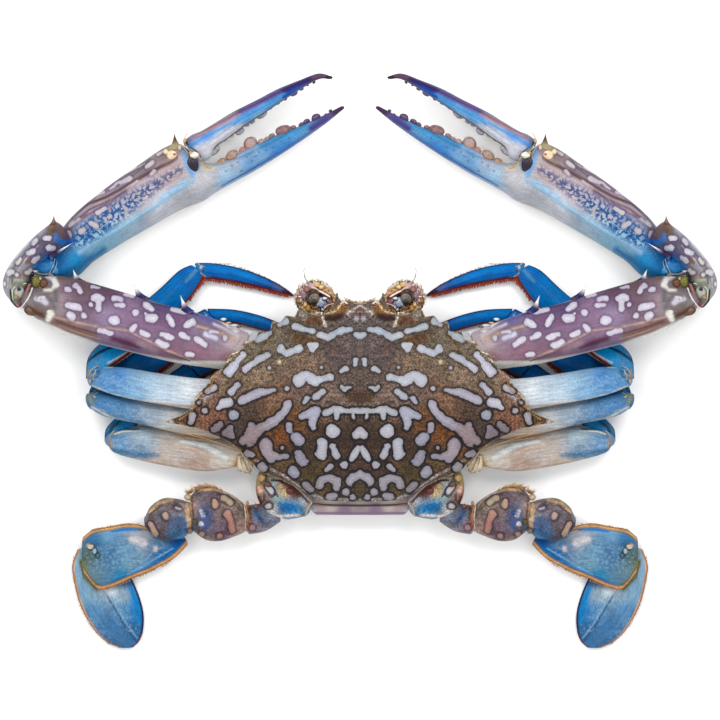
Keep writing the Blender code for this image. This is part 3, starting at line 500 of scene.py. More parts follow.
def limb_surface(limb, ridges=()):
    """A limb segment in full: lofted through its stations, with rounded ends and ridges or grooves on top."""
    stops = limb_rows(limb, 1)[0]
    span = np.linalg.norm(np.diff(stops, axis=0), axis=1).mean()
    steps = max(2, round(span / GRAIN))
    centres, halves, ups, highs, ends = rounded_ends(limb, *limb_rows(limb, steps))
    across, up = limb.section[:, 0], limb.section[:, 1]
    rings = centres[:, None] + halves[:, None] * across[None, :, None]
    rings = rings + ups[:, None] * (highs[:, None] * up[None, :])[..., None]
    high = np.tile(up, (len(rings), 1))
    half = np.linalg.norm(halves, axis=1)[:, None]
    surface = rings_surface(rings, *ends, high, (1 - across) * half, (1 + across) * half)
    raise_ridges(surface, ridges)
    surface.points[:, 2] = np.maximum(surface.points[:, 2], 0)
    return surface


def raise_ridges(surface, ridges):
    """Lifts a surface's upper side along ridges, or sinks it where the height is below nought."""
    places = pixels_of(surface.points)
    for chain, height in ridges:
        share = smoothstep(-chain_distance(places, chain), -RIDGE_SOFT, RIDGE_SOFT)
        surface.points[:, 2] += height * share * smoothstep(surface.high, 0, 0.3)


def tube_surface(path, halves, sides=24, step=0.35):
    """A round, tapered body along a path, with rounded ends."""
    stations = [(*p, h) for p, h in zip(path, halves)]
    span = np.linalg.norm(np.diff(np.array(path, float), axis=0), axis=1).mean()
    rows = smooth_rows(stations, max(2, round(span / step)))
    centres = rows[:, :3]
    along = unit(np.gradient(centres, axis=0))
    across, up = square_to(along)
    turn = np.linspace(0, 2 * np.pi, sides, endpoint=False)
    circle = across[:, None] * np.cos(turn)[None, :, None] + up[:, None] * np.sin(turn)[None, :, None]
    rings = centres[:, None] + circle * rows[:, 3, None, None]
    start = centres[0] - along[0] * rows[0, 3] * TUBE_ENDS[0]
    end = centres[-1] + along[-1] * rows[-1, 3] * TUBE_ENDS[1]
    return rings_surface(rings, start, end, high=np.tile(np.sin(turn), (len(rings), 1)))


THORN_LAST = 0.985  # where its last ring is, as a share of its length
THORN_SLIM = 0.6  # how much slimmer than a cone its fore part is
THORN_SWEEP = 2.2
THORN_SUNK = 0.3  # how far its root reaches into the shell


def thorn_surface(root, tip, half, thick, sides=24, rows=26):
    """A thorn with its root sunk in: it sweeps up from a broad root to a fine point."""
    root, tip = np.array(root, float), np.array(tip, float)
    along = unit(tip - root)
    across, up = square_to(along)
    share = np.linspace(0, THORN_LAST, rows)
    size = (1 - share) * (1 - THORN_SLIM + THORN_SLIM * (1 - share) ** THORN_SWEEP)
    turn = np.linspace(0, 2 * np.pi, sides, endpoint=False)
    circle = across * np.cos(turn)[:, None] * half + up * np.sin(turn)[:, None] * thick
    rings = (root + (tip - root) * share[:, None])[:, None] + circle[None] * size[:, None, None]
    high = np.tile(np.sin(turn), (rows, 1))
    return rings_surface(rings, root - along * THORN_SUNK, tip, high=high)


def knob_surface(centre, halves, bumps=0.0, seed=0, sides=24, rows=12):
    """A rounded lump, uneven where bumps is above nought."""
    rise = np.linspace(-np.pi / 2, np.pi / 2, rows + 2)[1:-1]
    turn = np.linspace(0, 2 * np.pi, sides, endpoint=False)
    ball = np.stack([
        np.cos(rise)[:, None] * np.cos(turn), np.cos(rise)[:, None] * np.sin(turn),
        np.repeat(np.sin(rise)[:, None], sides, 1),
    ], -1)
    draws = np.random.default_rng(SEED + seed)
    swell = np.ones((rows, sides))
    for _ in range(6):
        way = unit(draws.normal(size=3))
        swell += bumps * draws.uniform(-1, 1) * np.maximum(ball @ way, 0) ** 3
    rings = np.array(centre) + ball * np.array(halves) * swell[..., None]
    top = np.array(centre) + (0, 0, halves[2])
    bottom = np.array(centre) - (0, 0, halves[2])
    return rings_surface(rings, bottom, top, high=ball[..., 2])


def segment_distance(places, a, b):
    """How far places lie from the line between two points, and the share of the way along it."""
    line = b - a
    share = np.clip((places - a) @ line / max(line @ line, 1e-9), 0, 1)
    return np.linalg.norm(places - a - share[:, None] * line, axis=1), share


def path_distance(places, path):
    """How far places lie from a path."""
    path = np.array(path, float)
    return np.min([segment_distance(places, a, b)[0] for a, b in zip(path, path[1:])], axis=0)


def margin_up(ahead):
    """Height of the carapace's margin, lower towards the rear."""
    rear, front = MARGIN[-1][1], MARGIN[0][1]
    return MARGIN_REAR_UP + (MARGIN_FRONT_UP - MARGIN_REAR_UP) * (ahead - rear) / (front - rear)


def reach_of(path, angles):
    """How far a half outline is from the shell's centre in each direction, measured from straight ahead."""
    path = np.array(path, float)
    turns = np.arctan2(path[:, 0], path[:, 1] - SHELL_CENTRE)
    return np.interp(angles, turns, np.hypot(path[:, 0], path[:, 1] - SHELL_CENTRE))


def dense(path, step):
    """Points at even steps along a path, its corners rounded a little."""
    path = np.array(path, float)
    runs = np.linalg.norm(np.diff(path, axis=0), axis=1)
    ways = np.concatenate([[0], np.cumsum(runs)])
    spots = np.linspace(0, ways[-1], round(ways[-1] / step) + 1)
    found = np.stack([np.interp(spots, ways, path[:, k]) for k in (0, 1)], -1)
    soft = found.copy()
    soft[1:-1] = found[:-2] * 0.25 + found[1:-1] * 0.5 + found[2:] * 0.25
    return soft


def shell_relief(x, y):
    """The shell's swellings and grooves over its smooth dome."""
    x = np.abs(x)
    height = np.zeros_like(x)
    for out, ahead, wide, deep, rise in SWELLINGS:
        height += rise * np.exp(-((x - out) / wide) ** 2 - ((y - ahead) / deep) ** 2)
    places = np.stack([x, y], -1)
    for path, half, depth in GROOVES:
        height -= depth * np.exp(-(path_distance(places, path) / half) ** 2)
    ridge = path_distance(places, HORN_RIDGE)
    return height + HORN_RIDGE_UP * np.exp(-(ridge / HORN_RIDGE_HALF) ** 2) * smoothstep(x, 44, 56)


def edge_gaps(places, outline):
    """How far places lie from the shell's outline."""
    gaps = np.full(len(places), FAR)
    for a, b in zip(outline[::2], np.roll(outline[::2], -1, axis=0)):
        gaps = np.minimum(gaps, segment_distance(places, a, b)[0])
    return gaps


def edge_thickness(gaps):
    """Half the shell's thickness at distances from its outline, where its edge is rounded off."""
    return EDGE_THICK * np.sqrt(1 - (1 - np.clip(gaps / EDGE_WIDE, 0, 1)) ** 2)


def shell_top(outline):
    """Rings of the shell's upper side, from its centre to the teeth, and how far they are from the edge."""
    centre = np.array((0, SHELL_CENTRE))
    toothed = np.linalg.norm(outline - centre, axis=1)
    ways = (outline - centre) / toothed[:, None]
    turns = np.arctan2(np.abs(outline[:, 0]), outline[:, 1] - SHELL_CENTRE)
    smooth = reach_of(smooth_rows(MARGIN, 6), turns)
    toothy = smoothstep(TOP_SHARES, TEETH_FROM, 1)[:, None]
    reach = TOP_SHARES[:, None] * (smooth * (1 - toothy) + toothed * toothy)
    x, y = reach * ways[:, 0], SHELL_CENTRE + reach * ways[:, 1]
    flat = np.stack([x.ravel(), y.ravel()], -1)
    outer = np.repeat(TOP_SHARES > EDGE_FROM, len(outline))
    gaps = np.full(len(flat), FAR)
    gaps[outer] = edge_gaps(flat[outer], outline)
    gaps = gaps.reshape(x.shape)
    gaps[-1] = 0
    edge = margin_up(y)
    scale = np.clip(reach / smooth, 0, 1)
    dome = (SHELL_TOP - EDGE_THICK - RELIEF_ROOM - edge) * (1 - scale**SHELL_BULGE)
    relief = shell_relief(x.ravel(), y.ravel()).reshape(x.shape) * smoothstep(scale, 1.0, 0.85)
    return np.stack([x, y, edge + dome + edge_thickness(gaps) + relief], -1), gaps


def shell_under(outline):
    """Rings of the shell's underside, from its edge in to the belly."""
    turn = np.arctan2(outline[:, 1] - BELLY_CENTRE, outline[:, 0])
    seat = belly_edge(turn, SEAT_SCALE)
    flat = outline[None] * (1 - UNDER_SHARES[..., None]) + seat[None] * UNDER_SHARES[..., None]
    gaps = edge_gaps(flat.reshape(-1, 2), outline).reshape(flat.shape[:2])
    edge = margin_up(outline[:, 1])[None]
    drop = (edge - SEAT_UP) * UNDER_SHARES**UNDER_CURVE
    return np.concatenate([flat, (edge - edge_thickness(gaps) - drop)[..., None]], -1)


def shell_surface():
    """The carapace: a dome that runs out into flat teeth and the horns, and its underside in to the belly."""
    half = dense(OUTLINE, SHELL_STEP)
    outline = np.concatenate([half, half[-2:0:-1] * (-1, 1)])
    top, gaps = shell_top(outline)
    under = shell_under(outline)
    high = np.concatenate([np.ones(top.shape[:2]), -np.ones(under.shape[:2])])
    high[len(top) - 1:len(top) + 1] = 0
    edge_far = np.concatenate([gaps, np.full(under.shape[:2], FAR)])
    rings = np.concatenate([top, under])
    start = (0, SHELL_CENTRE, top[0, :, 2].mean())
    return rings_surface(rings, start, (0, BELLY_CENTRE, SEAT_UP), high=high, lead=edge_far)


def belly_edge(turn, scale):
    """The belly's outline in the directions given, measured from straight out."""
    wide, deep = BELLY_HALF
    size = np.abs(np.cos(turn) / wide) ** BELLY_SQUARENESS + np.abs(np.sin(turn) / deep) ** BELLY_SQUARENESS
    reach = scale * size ** (-1 / BELLY_SQUARENESS)
    return np.stack([reach * np.cos(turn), BELLY_CENTRE + reach * np.sin(turn)], -1)


def belly_surface():
    """The sternum: a low boat, its plates parted by grooves that run out to the legs' roots."""
    turn = np.linspace(0, 2 * np.pi, BELLY_SIDES, endpoint=False)
    flat = [(0.0, share) for share in np.linspace(*BELLY_LEVEL)]
    rings = []
    for up, scale in flat + [tuple(row) for row in smooth_rows(BELLY_RINGS, 10)]:
        edge = belly_edge(turn, scale)
        out = np.abs(edge[:, 0])
        grooves = [y * GROOVE_PLACE + BELLY_CENTRE * (1 - GROOVE_PLACE) for y in LEG_ROOTS]
        apart = np.min([np.abs(edge[:, 1] - y) for y in grooves], axis=0)
        sunk = PLATE_GROOVE * np.exp(-(apart / PLATE_GROOVE_HALF) ** 2) * smoothstep(out, *PLATE_GROOVE_OUT)
        sunk *= up < PLATE_GROOVE_TOP
        bed = TAIL_BED_UP * smoothstep(-edge[:, 1], *TAIL_BED_BACK)
        bed *= (out < TAIL_BED_HALF) & (up < TAIL_BED_TOP)
        rings.append(np.concatenate([edge, (up + sunk + bed)[:, None]], -1))
    rings = np.array(rings)
    high = np.full(rings.shape[:2], -1.0)
    start = (0, BELLY_CENTRE, rings[0, :, 2].mean())
    return rings_surface(rings, start, (0, BELLY_CENTRE, BELLY_RINGS[-1][0]), high=high)


def slab_surface(stations):
    """A body symmetrical about the middle plane, through stations of (ahead, half width, up, thick)."""
    rows = smooth_rows(stations, 24)
    section = superellipse(3)
    rings = []
    for ahead, half, up, thick in rows:
        level = np.full(len(section), ahead)
        height = np.maximum(0, up + section[:, 1] * (thick / 2))
        rings.append(np.stack([half * section[:, 0], level, height], -1))
    high = np.tile(section[:, 1], (len(rings), 1))
    first, final = rows[0], rows[-1]
    return rings_surface(np.array(rings), (0, first[0], first[2]), (0, final[0], final[2]), high=high)


# Colours, as a screen shows them, 0 to 255
OLIVE_GREY = (124, 112, 96)
TAUPE = (135, 116, 97)
DUSK = (74, 56, 44)
ASH = (98, 86, 84)
SOOT = (34, 29, 32)
ROSE_GREY = (158, 135, 148)
PALE_SKY = (160, 184, 208)
PEARL = (198, 200, 206)
BONE = (200, 186, 164)
BUFF = (172, 138, 100)
NAVY = (10, 50, 86)
MILK = (226, 226, 222)
PINK = (196, 150, 150)
BARK = (72, 44, 30)
WHITE = (240, 240, 242)
CLAW_RIM = (92, 68, 116)
LEG_RIM = (30, 76, 130)
SWIM_RIM = (52, 32, 56)
# How much of a screen colour's light the surface gives back: the lamps and the gloss add the rest
DARK_SHARE = 0.5
BRIGHT_SHARE = 0.36  # more, for bright colours


def linear(colour):
    """A screen colour as a surface's linear colour."""
    share = np.asarray(colour, float) / 255
    light = np.where(share <= 0.04045, share / 12.92, ((share + 0.055) / 1.055) ** 2.4)
    return light * (DARK_SHARE + BRIGHT_SHARE * light)


def pixels_of(points):
    """Where points show in the photograph, all on its left half."""
    return np.stack([MIDDLE[0] - np.abs(points[:, 0]) / PX, MIDDLE[1] - points[:, 1] / PX], -1)


def blended(places, tints, soft):
    """Each place's colour, mixed from those set out round it."""
    total, weights = 0, 0
    for x, y, colour in tints:
        weight = 1 / ((places[:, 0] - x) ** 2 + (places[:, 1] - y) ** 2 + soft**2) ** 2
        total = total + weight[:, None] * linear(colour)
        weights = weights + weight
    return total / weights[:, None]


def chain_distance(places, chain):
    """Distance to a mark's edge, in pixels: a mark is a chain of (x, y, half its width)."""
    stops = np.array(chain, float)
    if len(stops) == 1:
        return np.linalg.norm(places - stops[0, :2], axis=1) - stops[0, 2]
    found = np.full(len(places), 1e3)
    for a, b in zip(stops, stops[1:]):
        apart, share = segment_distance(places, a[:2], b[:2])
        found = np.minimum(found, apart - a[2] - (b[2] - a[2]) * share)
    return found


# How far up a side faces where strokes and the net start to show and where they are full, and where pale
# marks stop
TOP_TURN = (-0.3, 0.1)
MARKS_ABOVE = -0.25
NET_SOFT = (-4, 5)  # pixels
PALE_SOFT = 6  # pixels
RIM_FADE = 0.04  # share of a piece over which a rim starts and ends
# Shares of a thorn where the root's colour is full, and where the tip's starts and is full
THORN_ROOT = (0, 0.15)
THORN_TIP = (0.3, 0.7)
# How much fainter the shell's marks' rims get towards the front, and from where to where
RIM_FAINTER = 0.6
RIM_PLACES = (-24, 8)


def mixed(tint, colour, share):
    """Tints with a share of a colour laid over each."""
    share = share[:, None]
    return tint * (1 - share) + linear(colour) * share


def rim_share(surface, edge, width, start, end):
    """How much of a rim's colour each point takes: along one edge, from start to end of the piece."""
    share = smoothstep(-getattr(surface, edge), -width * 1.3, -width * 0.6)
    begun = smoothstep(surface.along, start - RIM_FADE, start + RIM_FADE)
    return share * (begun * smoothstep(-surface.along, -end - RIM_FADE, RIM_FADE - end))


def painted(surface, look, spine=None):
    """What a surface's points carry: tint, distance from the marks, the marks' colour and rim, the net."""
    places = pixels_of(surface.points)
    tint = blended(places, look.tints, look.soft)
    if look.below:
        tint = mixed(tint, look.below, smoothstep(surface.high, *look.turn))
    top = smoothstep(surface.high, *TOP_TURN)
    for chain, colour, soft in look.strokes:
        tint = mixed(tint, colour, smoothstep(-chain_distance(places, chain), -soft, soft * 0.6) * top)
    for edge, width, colour, start, end in look.rims:
        tint = mixed(tint, colour, rim_share(surface, edge, width, start, end))
    spot = np.full(len(places), FAR)
    for chain in look.marks:
        spot = np.minimum(spot, chain_distance(places, chain) * PX)
    spot[surface.high < MARKS_ABOVE] = FAR
    net = np.zeros(len(places))
    for chain in look.net:
        net = np.maximum(net, smoothstep(-chain_distance(places, chain), *NET_SOFT) * top)
    if spine:
        tint = mixed(tint, spine[0], smoothstep(surface.along, *THORN_ROOT))
        tint = mixed(tint, spine[1], smoothstep(surface.along, *THORN_TIP))
        spot[:] = FAR
    rim = np.full(len(places), look.rim)
    if look.rim > 1:
        rim = 1 - RIM_FAINTER * smoothstep(surface.points[:, 1], *RIM_PLACES)
    pale = blended(places, look.pale, PALE_SOFT)
    return {
        "tint": tint, "spot": spot, "net": net, "pale": pale, "rim": rim, "side": surface.lead,
        "run": surface.along,
    }


# How a piece is painted: its tints (pixel across, pixel down, colour), its pale marks (chains), where the net
# of lines or the flecks are (chains), strokes on top (chain, colour, softness), rims (edge, width, colour,
# start, end), the underside's colour, ridges (chain, height), how softly the tints meet in pixels, the marks'
# tints, how dark their rims are (over 1: darker towards the rear), and how far up a side faces where the
# underside's colour starts and where it is full
Look = namedtuple(
    "Look", "tints marks net strokes rims below ridges soft pale rim turn",
    defaults=((), (), (), (), None, (), 7, ((0, 0, MILK),), 0.35, (0.05, -0.6)),
)


def mesh_of(name, surface, values):
    """A Blender mesh of a surface, with a value at each point for each name."""
    mesh = bpy.data.meshes.new(name)
    quads, tris = surface.quads, surface.tris
    mesh.vertices.add(len(surface.points))
    mesh.vertices.foreach_set("co", (surface.points * MM).astype(np.float32).ravel())
    corners = np.concatenate([quads.ravel(), tris.ravel()]).astype(np.int32)
    mesh.loops.add(len(corners))
    mesh.loops.foreach_set("vertex_index", corners)
    mesh.polygons.add(len(quads) + len(tris))
    starts = np.concatenate([np.arange(len(quads)) * 4, len(quads) * 4 + np.arange(len(tris)) * 3])
    mesh.polygons.foreach_set("loop_start", starts.astype(np.int32))
    mesh.update(calc_edges=True)
    mesh.shade_smooth()
    for label, value in values.items():
        carry(mesh, label, value)
    return mesh


def carry(mesh, label, value):
    """Gives each point of a mesh a number or a colour, under a name."""
    if value.ndim == 2:
        layer = mesh.attributes.new(label, "FLOAT_COLOR", "POINT")
        whole = np.concatenate([value, np.ones((len(value), 1))], -1)
        layer.data.foreach_set("color", whole.astype(np.float32).ravel())
    else:
        layer = mesh.attributes.new(label, "FLOAT", "POINT")
        layer.data.foreach_set("value", value.astype(np.float32))


def shown(name, mesh, material):
    """A mesh as an object that moves with the model."""
    obj = bpy.data.objects.new(name, mesh)
    mesh.materials.append(material)
    bpy.context.scene.collection.objects.link(obj)
    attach(obj, "root")
    return obj


def piece(name, coats, material, stands_for=()):
    """One shown piece, of surfaces each with what its points carry."""
    surface = joined([coat[0] for coat in coats])
    values = {key: np.concatenate([coat[1][key] for coat in coats]) for key in coats[0][1]}
    obj = shown(name, mesh_of(name, surface, values), material)
    if stands_for:
        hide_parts(*stands_for)


def pair(name, coats, material, node=None):
    """The right and the left piece of a kind."""
    for side, flip in (("r", False), ("l", True)):
        sided = [(mirrored(coat[0]) if flip else coat[0], coat[1]) for coat in coats]
        nodes = (f"{node}_{side}",) if node else ()
        piece(f"{name}_{side}", sided, material, nodes)


class Paint:
    """Makes one material's shader nodes. The pattern is the same on both sides of the animal."""

    def __init__(self, name):
        self.material = bpy.data.materials.new(name)
        self.material.use_nodes = True
        self.tree = self.material.node_tree
        self.shader = self.tree.nodes["Principled BSDF"]
        whole = self.node("ShaderNodeTexCoord").outputs["Object"]
        parts = self.node("ShaderNodeSeparateXYZ", {0: whole}).outputs
        self.out = self.maths("ABSOLUTE", parts[0])
        self.place = self.node("ShaderNodeCombineXYZ", {0: self.out, 1: parts[1], 2: parts[2]}).outputs[0]

    def node(self, kind, inputs=None, **settings):
        made = self.tree.nodes.new(kind)
        for key, value in settings.items():
            setattr(made, key, value)
        for key, value in (inputs or {}).items():
            if isinstance(value, bpy.types.NodeSocket):
                self.tree.links.new(value, made.inputs[key])
            else:
                made.inputs[key].default_value = value
        return made

    def value(self, name, output="Fac"):
        made = self.node("ShaderNodeAttribute", attribute_type="GEOMETRY", attribute_name=name)
        return made.outputs[output]

    def maths(self, operation, a, b=0.0):
        return self.node("ShaderNodeMath", {0: a, 1: b}, operation=operation).outputs[0]

    def noise(self, size, detail=2.0, rough=0.5, place=None):
        """Cloudy values from nought to one, with patches about size millimetres across."""
        inputs = {"Vector": place or self.place, "Scale": 1000 / size, "Detail": detail, "Roughness": rough}
        return self.node("ShaderNodeTexNoise", inputs).outputs["Fac"]

    def streaks(self, size):
        """Cloudy values drawn out along a limb, size millimetres across."""
        side = self.maths("MULTIPLY", self.value("side"), MM)
        run = self.maths("MULTIPLY", self.value("run"), 4 * MM)
        inputs = {0: side, 1: run, 2: self.maths("MULTIPLY", self.out, 0.06)}
        return self.noise(size, 3.0, 0.6, self.node("ShaderNodeCombineXYZ", inputs).outputs[0])

    def cells(self, size, feature="F1", place=None):
        """Distance from the middle, or from the edge, of cells about size millimetres across."""
        inputs = {"Vector": place or self.place, "Scale": 1000 / size}
        return self.node("ShaderNodeTexVoronoi", inputs, feature=feature).outputs["Distance"]

    def cell_shade(self, size):
        """A random value for each cell about size millimetres across."""
        made = self.node("ShaderNodeTexVoronoi", {"Vector": self.place, "Scale": 1000 / size})
        return self.node("ShaderNodeSeparateColor", {0: made.outputs["Color"]}).outputs[0]

    def warped(self, size, by):
        """Places moved about by a noise of that size, by up to that many millimetres."""
        inputs = {"Vector": self.place, "Scale": 1000 / size, "Detail": 2.0}
        colour = self.node("ShaderNodeTexNoise", inputs).outputs["Color"]
        moved = self.node("ShaderNodeVectorMath", {0: colour, 1: (0.5, 0.5, 0.5)}, operation="SUBTRACT")
        shift = self.scaled(moved.outputs[0], by * 2 * MM)
        return self.node("ShaderNodeVectorMath", {0: self.place, 1: shift}).outputs[0]

    def span(self, value, low, high, to_low=0.0, to_high=1.0):
        """A value's place between low and high, eased, from to_low to to_high."""
        inputs = {0: value, 1: low, 2: high, 3: to_low, 4: to_high}
        return self.node("ShaderNodeMapRange", inputs, interpolation_type="SMOOTHSTEP").outputs[0]

    def mix(self, share, a, b):
        """One colour with a share of another over it."""
        a, b = ((*linear(c), 1) if isinstance(c, tuple) else c for c in (a, b))
        made = self.node("ShaderNodeMix", data_type="RGBA")
        for socket, value in zip((made.inputs[0], made.inputs[6], made.inputs[7]), (share, a, b)):
            if isinstance(value, bpy.types.NodeSocket):
                self.tree.links.new(value, socket)
            else:
                socket.default_value = value
        return made.outputs[2]

    def scaled(self, colour, by):
        """A colour made brighter or darker by a value round one."""
        scaled = self.node("ShaderNodeVectorMath", {0: colour, "Scale": by}, operation="SCALE")
        return scaled.outputs[0]

    def finish(self, colour, roughness, bumps, specular=0.5, coat=0.0, coat_rough=0.2):
        """Joins it all to the shader. A bump is a height from nought to one, and its depth in millimetres."""
        normal = None
        for height, depth in bumps:
            inputs = {"Height": height, "Distance": depth * MM, "Strength": 1.0}
            if normal:
                inputs["Normal"] = normal
            normal = self.node("ShaderNodeBump", inputs).outputs[0]
        inputs = self.shader.inputs
        self.tree.links.new(colour, inputs["Base Color"])
        self.tree.links.new(roughness, inputs["Roughness"])
        if normal:
            self.tree.links.new(normal, inputs["Normal"])
        inputs["Metallic"].default_value = 0.0
        inputs["Specular IOR Level"].default_value = specular
        inputs["Coat Weight"].default_value = coat
        inputs["Coat Roughness"].default_value = coat_rough
        return self.material


# Sizes of a shell's patterns, in millimetres
CLOUDS = 5
FINE_CLOUDS = 1.1
MARK_WAVE = 3.2
STREAKS = 0.5
NET_CELLS = 2.3
FLECKS = 0.8
# Dark specks between the granules are painted shade in their crevices
CREVICE_SHADE_ABOVE = 0.3  # strength of the granules above which dark specks lie between them
CREVICE_SHADE_MAKEUP = 1.38  # makes up for the specks' darkness
STREAK_DEPTH = 0.05
# Colours of the net near the middle of the model and far out on the claws, and of the legs' flecks
NET_INNER = (92, 100, 138)
NET_OUTER = (0, 94, 158)
NET_OUT = (0.07, 0.1)  # metres out, where one turns into the other
FLECK_BLUE = (20, 92, 150)
FLECK_PALE = (176, 200, 220)


def mark_edges(p, fine, rim_wide):
    """Distance from the pale marks' edges, made wavy, and how much of their dark rim shows."""
    wave = p.span(p.noise(MARK_WAVE, 1.0), 0.2, 0.8, -0.4, 0.4)
    edge = p.maths("ADD", p.maths("ADD", p.value("spot"), wave), p.span(fine, 0.2, 0.8, -0.12, 0.12))
    apart = p.maths("ABSOLUTE", p.maths("SUBTRACT", edge, rim_wide * 0.4))
    dark = p.span(apart, rim_wide * 0.2, rim_wide, 1.0, 0.0)
    return edge, p.maths("MULTIPLY", dark, p.value("rim"))


def beaded(p, ground, grains, grain, beads, rim):
    """A ground with granules, each a little lighter or darker, and where they are strong dark specks between
    them: painted shade in the crevices.
    """
    ground = p.scaled(ground, p.span(grains, 0.15, 0.65, 1 + beads, 1 - beads * 0.8))
    ground = p.scaled(ground, p.span(p.cell_shade(grain), 0.0, 1.0, 1 - beads * 0.35, 1 + beads * 0.35))
    if beads <= CREVICE_SHADE_ABOVE:
        return ground
    # Dark specks along the granules' edges: painted shade in the crevices between them
    crevice_shade = p.span(p.cells(grain * 1.3, "DISTANCE_TO_EDGE", p.warped(1.0, 0.5)), 0.05, 0.2, 0.75, 0.0)
    crevice_shade = p.maths("MULTIPLY", crevice_shade, p.span(p.noise(1.3, 2.0), 0.42, 0.56))
    return p.scaled(p.mix(crevice_shade, ground, rim), CREVICE_SHADE_MAKEUP)


def netted(p, ground, net):
    """A ground with a net of blue lines, or else with flecks, where the points' net value is high."""
    strength = p.value("net")
    if net:
        cells = p.cells(NET_CELLS, "DISTANCE_TO_EDGE", p.warped(1.6, 1.2))
        lines = p.span(cells, 0.1, 0.26, 1.0, 0.0)
        lines = p.maths("MULTIPLY", lines, p.span(p.noise(1.4, 2.0), 0.36, 0.5))
        patches = p.mix(p.span(p.out, *NET_OUT), NET_INNER, NET_OUTER)
    else:
        lines = p.span(p.noise(FLECKS, 4.0, 0.7), 0.42, 0.66, 0.0, 0.42)
        patches = p.mix(p.span(p.noise(1.4, 2.0), 0.4, 0.6), FLECK_BLUE, FLECK_PALE)
    return p.mix(p.maths("MULTIPLY", lines, strength), ground, patches)


def mark_colour(p, edge, grains, fine, beads):
    """The pale marks' own colour, a little lighter in their middle, and grainy."""
    mark = p.scaled(p.value("pale", "Color"), p.span(edge, -1.7, -0.1, 1.06, 0.8))
    mark = p.scaled(mark, p.span(grains, 0.15, 0.65, 1.06, 1 - beads * 0.4))
    return p.scaled(mark, p.span(fine, 0.3, 0.7, 0.92, 1.1))


def shell_finish(
    name, grain, rim, rim_wide, rough, depth, specular, mottle, beads, coat=0.0, net=True, streak=0.0,
):
    """Painted shell: a mottled, granular ground, pale marks with a dark rim, and a net of lines or flecks."""
    p = Paint(name)
    ground = p.value("tint", "Color")
    clouds = p.noise(CLOUDS, 4.0, 0.6)
    fine = p.noise(FINE_CLOUDS, 3.0, 0.6)
    ground = p.scaled(ground, p.span(clouds, 0.3, 0.7, 1 - mottle, 1 + mottle * 0.8))
    ground = p.scaled(ground, p.span(fine, 0.25, 0.75, 1 - mottle * 0.5, 1 + mottle * 0.5))
    bumps = [(clouds, depth)]
    if streak:
        streaks = p.streaks(STREAKS)
        ground = p.scaled(ground, p.span(streaks, 0.3, 0.7, 1 - streak, 1 + streak))
        bumps.append((streaks, STREAK_DEPTH))
    edge, dark = mark_edges(p, fine, rim_wide)
    grains = p.cells(grain)
    ground = beaded(p, p.mix(dark, ground, rim), grains, grain, beads, rim)
    ground = netted(p, ground, net)
    inside = p.span(edge, -0.25, 0.15, 1.0, 0.0)
    colour = p.mix(inside, ground, mark_colour(p, edge, grains, fine, beads))
    bumps += [(p.span(grains, 0.15, 0.6, 1.0, 0.0), depth), (fine, depth * 0.5)]
    return p.finish(colour, p.span(fine, 0.2, 0.8, rough - 0.07, rough + 0.09), bumps, specular, coat)


def make_finishes():
    """Every material, by name."""
    return {
        "shell": shell_finish(
            "carapace shell", grain=0.8, rim=SOOT, rim_wide=0.9, rough=0.5, depth=0.16, specular=0.15,
            mottle=0.24, beads=0.4,
        ),
        "claw": shell_finish(
            "claw shell", grain=0.7, rim=CLAW_RIM, rim_wide=0.9, rough=0.34, depth=0.05, specular=0.12,
            mottle=0.12, beads=0.08, coat=0.06, streak=0.12,
        ),
        "leg": shell_finish(
            "leg shell", grain=0.6, rim=LEG_RIM, rim_wide=0.5, rough=0.3, depth=0.03, specular=0.05,
            mottle=0.12, beads=0.1, coat=0.02, net=False, streak=0.18,
        ),
        "swim": shell_finish(
            "swimming leg shell", grain=0.7, rim=SWIM_RIM, rim_wide=0.9, rough=0.36, depth=0.08,
            specular=0.12, mottle=0.4, beads=0.3, coat=0.06, streak=0.12,
        ),
        "belly": shell_finish(
            "belly shell", grain=0.7, rim=PALE_SKY, rim_wide=0.5, rough=0.4, depth=0.02, specular=0.2,
            mottle=0.05, beads=0.03,
        ),
        "tooth": tooth_finish(),
        "mouth": mouth_finish(),
        "eye": eye_finish(),
        "hair": hair_finish(),
    }


def hair_finish():
    """Stiff hairs, each a little lighter or darker than the next."""
    p = Paint("hairs")
    shade = p.noise(0.7, 1.0)
    colour = p.scaled(p.value("tint", "Color"), p.span(shade, 0.3, 0.7, 0.7, 1.3))
    rough = p.span(shade, 0.2, 0.8, 0.45, 0.6)
    return p.finish(colour, rough, ((shade, 0.02),), specular=0.3)


def tooth_finish():
    """Worn, polished chalky shell."""
    p = Paint("claw teeth")
    ground = p.value("tint", "Color")
    clouds = p.noise(1.2, 3.0, 0.6)
    colour = p.scaled(ground, p.span(clouds, 0.25, 0.75, 0.62, 1.3))
    rough = p.span(clouds, 0.2, 0.8, 0.3, 0.45)
    return p.finish(colour, rough, ((clouds, 0.08),), specular=0.3, coat=0.15, coat_rough=0.25)


def mouth_finish():
    """Thin, bristly shell of the mouthparts and feelers."""
    p = Paint("mouthparts")
    ground = p.value("tint", "Color")
    clouds = p.noise(1.6, 3.0, 0.6)
    pits = p.cells(0.55)
    colour = p.scaled(ground, p.span(clouds, 0.25, 0.75, 0.7, 1.45))
    colour = p.mix(p.span(pits, 0.0, 0.22, 0.35, 0.0), colour, BARK)
    rough = p.span(clouds, 0.2, 0.8, 0.42, 0.62)
    return p.finish(colour, rough, ((pits, 0.08), (clouds, 0.1)), specular=0.25)


